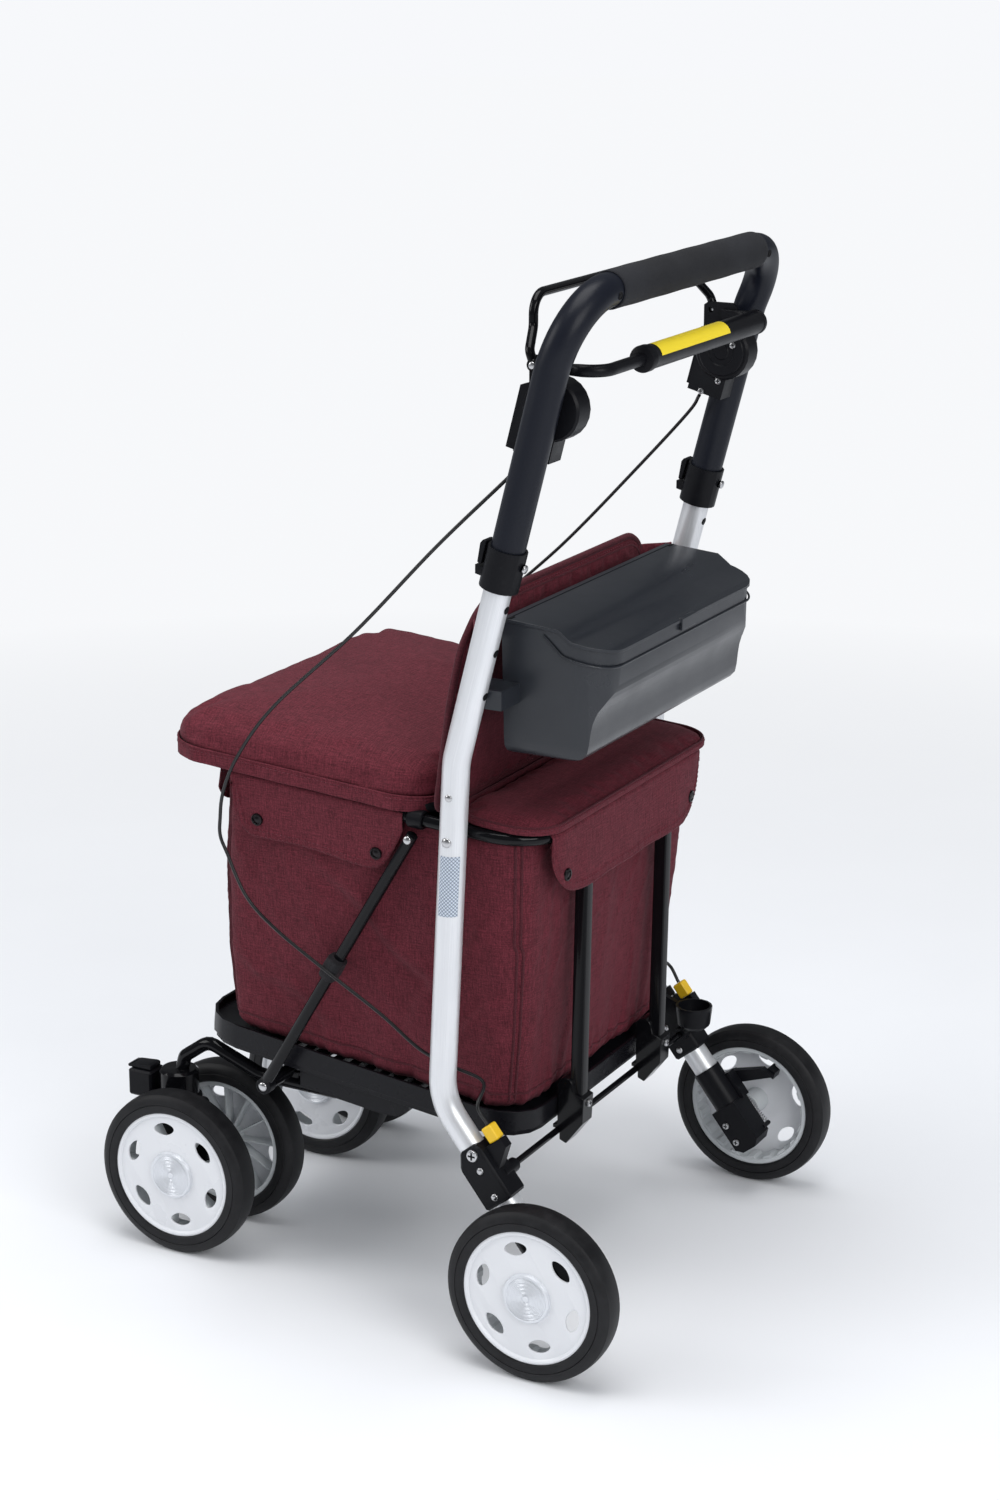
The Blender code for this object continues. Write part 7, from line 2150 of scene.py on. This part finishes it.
@dataclass
class Bag:
    """The bag under the seat: four walls that belly and crease, a floor and piped corners."""

    low_half: float = 0.155
    spread: float = 0.029
    low_front: float = -0.172
    front_lean: float = 0.016
    low_rear: float = 0.150
    rear_lean: float = 0.0235
    corner: float = 0.030
    base: float = 0.2262
    base_slope: float = -0.1100
    under_hoop: float = 0.0063
    rows: int = 110
    columns: int = 420
    bulge: tuple[tuple[float, float], ...] = ((0.0, -0.006), (0.035, 0.0), (0.30, 0.0035), (0.65, 0.0035),
                                              (0.96, 0.0), (1.0, -0.0015))

    def ring(self, share: float) -> np.ndarray:
        """The plan at a share of the height, as evenly spaced points."""
        swell = float(np.interp(share, *np.array(self.bulge).T))
        half = self.low_half + self.spread * share + swell
        front = self.low_front + self.front_lean * share - swell
        rear = self.low_rear + self.rear_lean * share + swell
        flat = oblong(2 * half, rear - front, self.corner, 12, (0.0, (front + rear) / 2))
        return even_loop(flat, self.columns)

    def creases(self, p: np.ndarray, share: np.ndarray, around: np.ndarray) -> np.ndarray:
        """How far the cloth stands out of its plain form.

        Long folds are a sine of the way round whose phase drifts with the height. The hem at the
        floor gathers in short waves that die out over 45 mm. Slanting folds are bell curves across
        straight lines, and the fine creases are sharp crests, one minus the size of a slow sine.

        Args:
            p: the points.
            share: the share of the height of each.
            around: the way round of each, from 0 to 1.

        Returns:
            The distance outwards, in metres.
        """
        way = around * math.tau
        long = np.sin(17 * way + 2.2 * np.sin(3 * way + 1.0) + 2.5 * share)
        long = long + 0.6 * np.sin(29 * way + 3.0 * share + 1.7 * np.sin(5 * way))
        made = 0.0012 * long * (0.35 + 0.65 * np.abs(2 * share - 1) ** 1.5)
        gather = np.sin(61 * way + 2.0 * np.sin(7 * way))
        gather = gather + 0.7 * np.sin(97 * way + 1.0 + 1.5 * np.sin(11 * way))
        made += 0.0012 * gather * np.exp(-(share / 0.10) ** 2) * (0.6 + 0.6 * (p[..., 1] > 0.1))
        top = np.exp(-((1 - share) / 0.08) ** 2)
        made += 0.0007 * np.sin(73 * way + 2.0 * np.sin(9 * way)) * top
        x, y, z = p[..., 0], p[..., 1], p[..., 2]
        for (y0, z0), (y1, z1), tall, wide in (((-0.060, 0.455), (0.110, 0.300), 0.0040, 0.0085),
                                                ((0.150, 0.420), (0.020, 0.262), 0.0030, 0.0070),
                                                ((-0.150, 0.330), (-0.020, 0.262), 0.0028, 0.0090),
                                                ((0.152, 0.330), (0.070, 0.270), 0.0028, 0.0050),
                                                ((-0.150, 0.400), (-0.090, 0.470), 0.0014, 0.0070)):
            along = np.array([y1 - y0, z1 - z0])
            long_r = np.linalg.norm(along)
            along = along / long_r
            far = (y - y0) * -along[1] + (z - z0) * along[0]
            far = far + 0.004 * np.sin(((y - y0) * along[0] + (z - z0) * along[1]) * 60.0)
            at = ((y - y0) * along[0] + (z - z0) * along[1]) / long_r
            fade = np.exp(-((at - 0.5) / 0.42) ** 4) * (np.abs(x) > 0.12)
            made += (tall * np.exp(-(far / wide) ** 2) - 0.6 * tall
                     * np.exp(-((far + 1.7 * wide) / wide) ** 2)) * fade
        for x0, slope, tall, wide in ((0.108, 0.05, 0.0026, 0.0070), (0.062, -0.04, 0.0022, 0.0060),
                                      (-0.064, 0.06, 0.0022, 0.0060), (-0.108, -0.05, 0.0024, 0.0070),
                                      (0.005, 0.03, 0.0014, 0.0100), (0.135, -0.10, 0.0016, 0.0050)):
            far = x - x0 - slope * (z - 0.34) - 0.003 * np.sin(z * 45.0 + x0 * 60)
            fade = (y > 0.10) * (0.5 + 0.5 * np.sin(z * 21.0 + x0 * 40.0)) ** 0.5
            made += tall * np.exp(-(far / wide) ** 2) * fade
        for a, b, c, tall in ((41.0, 63.0, 37.0, 0.0004), (-57.0, 44.0, 71.0, 0.0003),
                              (83.0, -71.0, 52.0, 0.0002)):
            phase = a * x + b * y + c * z + 1.6 * np.sin(17 * y + 23 * z) + 1.2 * np.sin(29 * x - 13 * z)
            made += tall * (1 - np.abs(np.sin(phase))) ** 4 * 2
        return made

    def surface(self) -> np.ndarray:
        """Rows of points from the floor's middle out and up to the hoop."""
        shares = np.linspace(0, 1, self.rows) ** 0.9
        flat = np.array([self.ring(s) for s in shares])
        share = np.broadcast_to(shares[:, None], flat.shape[:2])
        low = self.base + self.base_slope * flat[..., 1]
        z = low + (hoop_z(flat[..., 1]) - self.under_hoop - low) * share
        p = np.concatenate([flat, z[..., None]], -1)
        around = np.broadcast_to((np.arange(self.columns) / self.columns)[None], share.shape)
        ahead = np.roll(flat, -1, 1) - np.roll(flat, 1, 1)
        ahead /= np.linalg.norm(ahead, axis=-1, keepdims=True)
        normal = np.stack([ahead[..., 1], -ahead[..., 0]], -1)
        swell = self.creases(p, share, around) * np.clip((1 - share) / 0.03, 0, 1) ** 0.5
        corner = np.exp(-(self.from_seam(flat, share) / 0.006) ** 2)
        p[..., :2] += normal * (swell * (1 - 0.6 * corner) - 0.0014 * corner)[..., None]
        return p

    def from_seam(self, flat: np.ndarray, share: np.ndarray) -> np.ndarray:
        """Distance in plan from the nearest corner seam."""
        swell = np.interp(share, *np.array(self.bulge).T)
        pull = self.corner * (1 - math.sqrt(0.5))
        x = self.low_half + self.spread * share + swell - pull
        rear = self.low_rear + self.rear_lean * share + swell - pull
        front = self.low_front + self.front_lean * share - swell + pull
        y = np.where(flat[..., 1] > 0, rear, front)
        return np.hypot(np.abs(flat[..., 0]) - x, flat[..., 1] - y)

    def seams(self, p: np.ndarray) -> list[Shell]:
        """Double piping down each corner, a row of stitches beside it and the hem at the floor."""
        made = []
        middle = p.mean((0, 1))
        far = self.from_seam(p[..., :2], np.linspace(0, 1, self.rows)[:, None] ** 0.9
                             * np.ones((1, self.columns)))
        for sx in (1, -1):
            for sy in (1, -1):
                there = (np.sign(p[..., 0]) == sx) & (np.sign(p[..., 1] - middle[1]) == sy)
                spot = np.where(there, far, 9.0).argmin(1)
                away = np.tile((sx * 0.707, sy * 0.707, 0.0), (self.rows, 1))
                for shift in (-1, 1):
                    line = p[np.arange(self.rows), (spot + shift) % self.columns] + away * 0.0008
                    for _ in range(3):
                        line[1:-1] = (line[:-2] + 2 * line[1:-1] + line[2:]) / 4
                    made.append(tube(line[2:-1], 0.0013, 10))
                row = p[np.arange(self.rows), (spot + 4) % self.columns] + away * 0.0005
                made.append(stitches(row[3:-2], away[3:-2]).with_finish(1))
        hem = p[5].copy()
        out = np.concatenate([hem[:, :2] / np.linalg.norm(hem[:, :2], axis=1, keepdims=True),
                              np.zeros((len(hem), 1))], 1)
        made.append(tube(hem + out * 0.0006, 0.0014, 10, closed=True))
        return made

    def build(self) -> None:
        """Makes the bag and its seams."""
        p = self.surface()
        middle = p[0].mean(0)
        floor = np.array([middle + (p[0] - middle) * s for s in (0.02, 0.35, 0.7, 0.9)])
        shell = grid(np.concatenate([floor, p]), around=True)
        cloth = shell.build("bag_fine", [finish(Look.CLOTH)], 70.0)
        thick = cloth.modifiers.new("cloth thickness", "SOLIDIFY")
        thick.thickness, thick.offset = 0.0016, 0.0
        settle(cloth, "carrier", "burgundy", "bag")
        mount(together(self.seams(p)), "bag_seams", "carrier", "burgundy", Look.TRIM, Look.THREAD)


@dataclass
class SoftGoods:
    """Seat cushion, rear cover, back pad, flaps and bag, in melange cloth with piping and stitches."""

    cushion: Block = field(default_factory=lambda: Block(0.1962, -0.2115, 0.0820, 0.046, 0.0171,
                                                         ((0.0, 0.0010), (0.002, 0.0), (0.0190, 0.0),
                                                          (0.0240, 0.0008), (0.0275, 0.0035),
                                                          (0.0300, 0.0100), (0.0325, 0.0230),
                                                          (0.0362, 0.0480), (0.0410, 0.0950),
                                                          (0.0440, 0.1300))))
    cover: Block = field(default_factory=lambda: Block(0.1855, 0.0950, 0.1940, 0.038, 0.0068,
                                                       ((0.0, 0.003), (0.002, 0.0), (0.005, 0.0005),
                                                        (0.0075, 0.004), (0.0092, 0.012), (0.0100, 0.024),
                                                        (0.0102, 0.034))))
    pad_low: float = 0.5100
    pad_high: float = 0.7055
    pad_thick: float = 0.0090
    front_top: float = 0.5147
    rear_top: float = 0.4900
    pad_outline: tuple[tuple[float, float], ...] = ((0.0, 0.1950), (0.55, 0.1955), (0.80, 0.1880),
                                                    (0.94, 0.1670), (1.0, 0.1450))

    def seat(self) -> None:
        """The seat cushion with its bound hem, piping and stitches."""
        block = self.cushion

        def held(p: np.ndarray) -> np.ndarray:
            """Held where it rests and where the hem is sewn on."""
            return (p[:, 2] - block.ground(p[:, 1]) < 0.0060).astype(float)

        stuffing = Stuffing(voxel=0.005, reach=0.0050, loose=0.03, ease=2)
        piece = stuffing.blow(block.shell(), "seat_cushion_fine", held)
        settle(dress(piece, Look.CLOTH), "seat", "burgundy", "seat_cushion")
        band = block.ring(-0.0012, -0.0035)
        out = self.outwards(band)
        way = np.arange(len(band)) * 1.0
        wave = out * (0.0004 * np.sin(way * 0.9) + 0.0003 * np.sin(way * 0.37 + 1.0))[:, None]
        parts = [swept(band + wave, oblong(0.0024, 0.0138, 0.0010, 4), closed=True, level=True)]
        parts.append(tube(block.ring(-0.0016, 0.0040), 0.0010, 10, closed=True))
        parts.append(stitches(band + wave + out * 0.0013 + np.array([0, 0, 0.0046]), out).with_finish(2))
        mount(together(parts), "seat_hem", "seat", "burgundy", Look.CLOTH, Look.TRIM, Look.THREAD)
        take_over("seat_board", Look.PLASTIC, "seat", "black_plastic", 0.0008)

    def outwards(self, loop: np.ndarray) -> np.ndarray:
        """Level directions away from the inside of a loop that runs the way of oblong."""
        ahead = np.roll(loop, -1, 0) - np.roll(loop, 1, 0)
        out = np.stack([ahead[:, 1], -ahead[:, 0], np.zeros(len(loop))], 1)
        return out / np.linalg.norm(out, axis=1, keepdims=True)

    def rear_cover(self) -> None:
        """The thin padded cover behind the seat, with its stitched hem."""
        block = self.cover

        def held(p: np.ndarray) -> np.ndarray:
            """Held where it lies on the hoop."""
            return (p[:, 2] - block.ground(p[:, 1]) < 0.0025).astype(float)

        stuffing = Stuffing(voxel=0.0035, reach=0.0030, loose=0.03)
        piece = stuffing.blow(block.shell(), "rear_cover_fine", held)
        settle(dress(piece, Look.CLOTH), "carrier", "burgundy", "rear_cover")
        band = block.ring(-0.0006, 0.0032)
        parts = [swept(band, oblong(0.0022, 0.0062, 0.0010, 4), closed=True, level=True)]
        out = self.outwards(band)
        parts.append(stitches(band + out * 0.0012 + np.array([0, 0, 0.0016]), out).with_finish(2))
        parts.append(tube(block.ring(-0.0002, 0.0070), 0.0011, 10, closed=True).with_finish(1))
        mount(together(parts), "rear_cover_hem", "carrier", "burgundy", Look.CLOTH, Look.TRIM,
              Look.THREAD)

    def pad_y(self, z: np.ndarray | float) -> np.ndarray | float:
        """Where the back pad's middle lies at a height: it leans back with the tubes."""
        return 0.0885 + 0.1450 * (z - 0.515)

    def pad_edge(self, inward: float, count: int = 240) -> np.ndarray:
        """A loop of points round the back pad, drawn in by a distance."""
        tall = self.pad_high - self.pad_low
        side = [(half, self.pad_low + share * tall) for share, half in self.pad_outline]
        side = [(side[0][0] - 0.006, side[0][1]), (side[0][0], side[0][1] + 0.006)] + side[1:]
        loop = np.array(side + [(-x, z) for x, z in side[::-1]])
        loop = inset(loop, inward)
        flat = even_loop(loop, count)
        for _ in range(4):
            flat = (np.roll(flat, 1, 0) + 2 * flat + np.roll(flat, -1, 0)) / 4
        return np.stack([flat[:, 0], self.pad_y(flat[:, 1]), flat[:, 1]], 1)

    def back_pad(self) -> None:
        """The back pad, bound with a double edge, and its tabs to the side tubes."""
        rows = []
        half = self.pad_thick / 2
        for inward, off in ((0.090, -half), (0.050, -half), (0.020, -half), (0.008, -half * 0.9),
                            (0.0015, -half * 0.75), (0.0, 0.0), (0.0015, half * 0.75), (0.008, half * 0.9),
                            (0.020, half), (0.050, half), (0.090, half)):
            rows.append(self.pad_edge(min(inward, 0.085)) + np.array([0.0, off, 0.0]))

        def held(p: np.ndarray) -> np.ndarray:
            """Held along the bound edge."""
            edge = self.pad_edge(0.0015, 160)
            far = np.sqrt(((p[:, None, ::2] - edge[None, :, ::2]) ** 2).sum(-1)).min(1)
            return (far < 0.0065).astype(float)

        shell = grid(np.array(rows), around=True, caps=True)
        piece = Stuffing(voxel=0.004, reach=0.0035, loose=0.04, ease=2).blow(shell, "back_pad_fine", held)
        settle(dress(piece, Look.CLOTH), "frame", "burgundy", "back_pad")
        edge, inner = self.pad_edge(0.0005), self.pad_edge(0.0085)
        parts = [tube(edge, 0.0034, 14, closed=True)]
        for off in (-1.0, 1.0):
            away = np.array([0.0, off, 0.0])
            parts.append(tube(inner + away * (half * 0.92), 0.0012, 8, closed=True))
            parts.append(stitches(self.pad_edge(0.0055) + away * (half * 0.85), away).with_finish(1))
        mount(together(parts), "back_pad_binding", "frame", "burgundy", Look.TRIM, Look.THREAD)
        for word, side in SIDES:
            mount(together(self.pad_loop(side)), "back_pad_loop_" + word, "frame", "burgundy",
                  Look.CLOTH, Look.THREAD)

    def pad_loop(self, side: float) -> list[Shell]:
        """Two short tabs that fasten the pad to the inner front of a side tube."""
        made = []
        for up in (-0.1420, -0.0560):
            middle = np.array(on_handle(up, 0.0, 0.0))
            face = self.pad_y(middle[2]) + self.pad_thick / 2
            path = np.array([(side * 0.1960, middle[1] - 0.0090, middle[2]),
                             (side * 0.1925, middle[1] - 0.0105, middle[2]),
                             (side * 0.1840, (face + middle[1]) / 2 - 0.0050, middle[2]),
                             (side * 0.1740, face - 0.0005, middle[2]),
                             (side * 0.1640, face - 0.0008, middle[2])])
            path = smooth_line(path, 14)
            made.append(swept(path, oblong(0.0018, 0.0200, 0.0008, 3), level=True))
        return made

    def flaps(self) -> None:
        """The two side flaps, the front flap and the rear flap, each over its side of the hoop."""
        side = Flap("side_flap_left",
                    ((-0.1352, 0.5070), (-0.1345, 0.4960), (-0.1305, 0.4745), (-0.1265, 0.4655),
                     (-0.1200, 0.4590), (-0.1100, 0.4550), (-0.0620, 0.4528), (-0.0320, 0.4500),
                     (-0.0060, 0.4462), (0.0140, 0.4442), (0.0225, 0.4455), (0.0290, 0.4500),
                     (0.0350, 0.4570), (0.0450, 0.4735), (0.0515, 0.4870)),
                    self.side_out, hoop_z, False, 1.0, ((-0.1080, 0.4730), (0.0220, 0.4600)))
        for mirror, word in ((False, "left"), (True, "right")):
            side.name = "side_flap_" + word
            side.build(mirror, "carrier")
        half = self.front_edge()
        front = Flap("front_flap", tuple((-x, z) for x, z in half) + tuple(half[::-1]),
                     self.front_out, lambda a: self.front_top + 0.0 * a, True, -1.0,
                     ((0.1300, 0.4830), (-0.1300, 0.4830)), 0.0042)
        front.build(False, "carrier")
        rear = Flap("rear_flap",
                    ((-0.1590, 0.4840), (-0.1575, 0.4680), (-0.1500, 0.4500), (-0.1360, 0.4365),
                     (-0.1180, 0.4300), (-0.0900, 0.4285), (-0.0450, 0.4292), (0.0, 0.4285),
                     (0.0450, 0.4292), (0.0900, 0.4285), (0.1180, 0.4300), (0.1360, 0.4365),
                     (0.1500, 0.4500), (0.1575, 0.4680), (0.1590, 0.4840)),
                    self.rear_out, lambda a: self.rear_top + 0.0 * a, True, 1.0,
                    ((0.1350, 0.4500), (-0.1350, 0.4500)))
        rear.build(False, "carrier")

    def front_edge(self) -> list[tuple[float, float]]:
        """Half of the front flap's free edge, from its top outer corner to the middle."""
        return [(0.1580, 0.5060), (0.1560, 0.4960), (0.1500, 0.4810), (0.1400, 0.4710), (0.1250, 0.4665),
                (0.0900, 0.4655), (0.0400, 0.4660)]

    def side_out(self, a: np.ndarray, z: np.ndarray) -> np.ndarray:
        """How far out a side flap hangs: it leans in below the hoop, with a slow wave along it."""
        below = hoop_z(a) - z
        lean = 0.1934 - 0.0042 * np.clip(below / 0.05, 0, 1.3)
        return lean + 0.0014 * np.clip(below / 0.05, 0, 1) * np.sin(a * 46.0 + 1.0 + 14.0 * below)

    def front_out(self, a: np.ndarray, z: np.ndarray) -> np.ndarray:
        """How far forward the front flap hangs: it stands off the hoop lower down, less at its ends."""
        drop = np.clip((self.front_top - z) / 0.03, 0, 1)
        out = 0.1669 + 0.0009 + 0.010 * drop ** 1.3 - 0.05 * np.clip(np.abs(a) - 0.1365, 0, 1)
        return out + 0.0010 * np.sin(a * 38.0) * drop

    def rear_out(self, a: np.ndarray, z: np.ndarray) -> np.ndarray:
        """How far back the rear flap hangs: round the hoop's corners, and held off by the two bars."""
        past = np.clip((np.abs(a) - 0.1365) / 0.0568, 0, 0.9)
        hoop = 0.1360 + 0.0569 * np.sqrt(1 - past ** 2)
        drop = np.clip((self.rear_top - z) / 0.06, 0, 1)
        beside = np.clip((np.abs(a) - 0.100) / 0.040, 0, 1)
        between = np.clip((0.072 - np.abs(a)) / 0.05, 0, 1)
        wave = 0.0009 * np.sin(a * 52.0 + 0.6) * drop
        held = 0.0014 * drop - 0.0052 * beside * drop - 0.0012 * between * drop
        return hoop + held + wave * (beside + between)

    def build(self) -> None:
        """Makes every soft piece."""
        self.seat()
        self.rear_cover()
        self.back_pad()
        self.flaps()
        Bag().build()


@dataclass
class Organizer:
    """The moulded box behind the seat with its hinged lid."""

    half: float = 0.1715
    bead_r: float = 0.0011

    def bead(self) -> Shell:
        """A raised line round the body under the lid's lip, climbing to the hinge at both ends."""
        corners = [(self.half, 0.1850, 0.6838), (self.half, 0.2040, 0.6660),
                   (self.half - 0.0005, 0.2455, 0.6552), (-self.half + 0.0005, 0.2455, 0.6552),
                   (-self.half, 0.2040, 0.6660), (-self.half, 0.1850, 0.6838)]
        path = even(rounded(corners, [0.014, 0.036, 0.036, 0.014], 14), 0.006)
        return tube(path, self.bead_r, 12, soft=0.0004)

    def notch_shades(self) -> Shell:
        """Two thin near-black blocks, painted shade in the notches where the lid's ends meet the hinge
        strip.
        """
        return together([box((middle - 0.0045, 0.1488, 0.6905), (middle + 0.0045, 0.1520, 0.6948), 0.0004)
                         for middle in (0.1660, -0.1660)])

    def build(self) -> None:
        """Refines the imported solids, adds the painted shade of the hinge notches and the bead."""
        take_over("organizer_body", Look.GREY, "frame", "grey_plastic", 0.0022)
        take_over("organizer_lid", Look.GREY, "organizer_lid", "grey_plastic", 0.0010)
        mount(self.notch_shades(), "organizer_notch_shades", "frame", "grey_plastic", Look.SHADE_AND_BLACK)
        mount(self.bead(), "organizer_bead", "frame", "grey_plastic", Look.GREY)


def main() -> None:
    """Builds the studio and every sub-assembly in order."""
    logging.basicConfig(level=logging.INFO, format="%(name)s: %(message)s")
    Studio().build()
    for part in (BrakeCables(), Wheels(), Frame(), Springs(), Handle(), BrakeControls(), Carrier(),
                 Undercarriage(), SoftGoods(), Organizer()):
        LOG.info("%s", type(part).__name__)
        part.build()


if __name__ == "__main__":
    main()
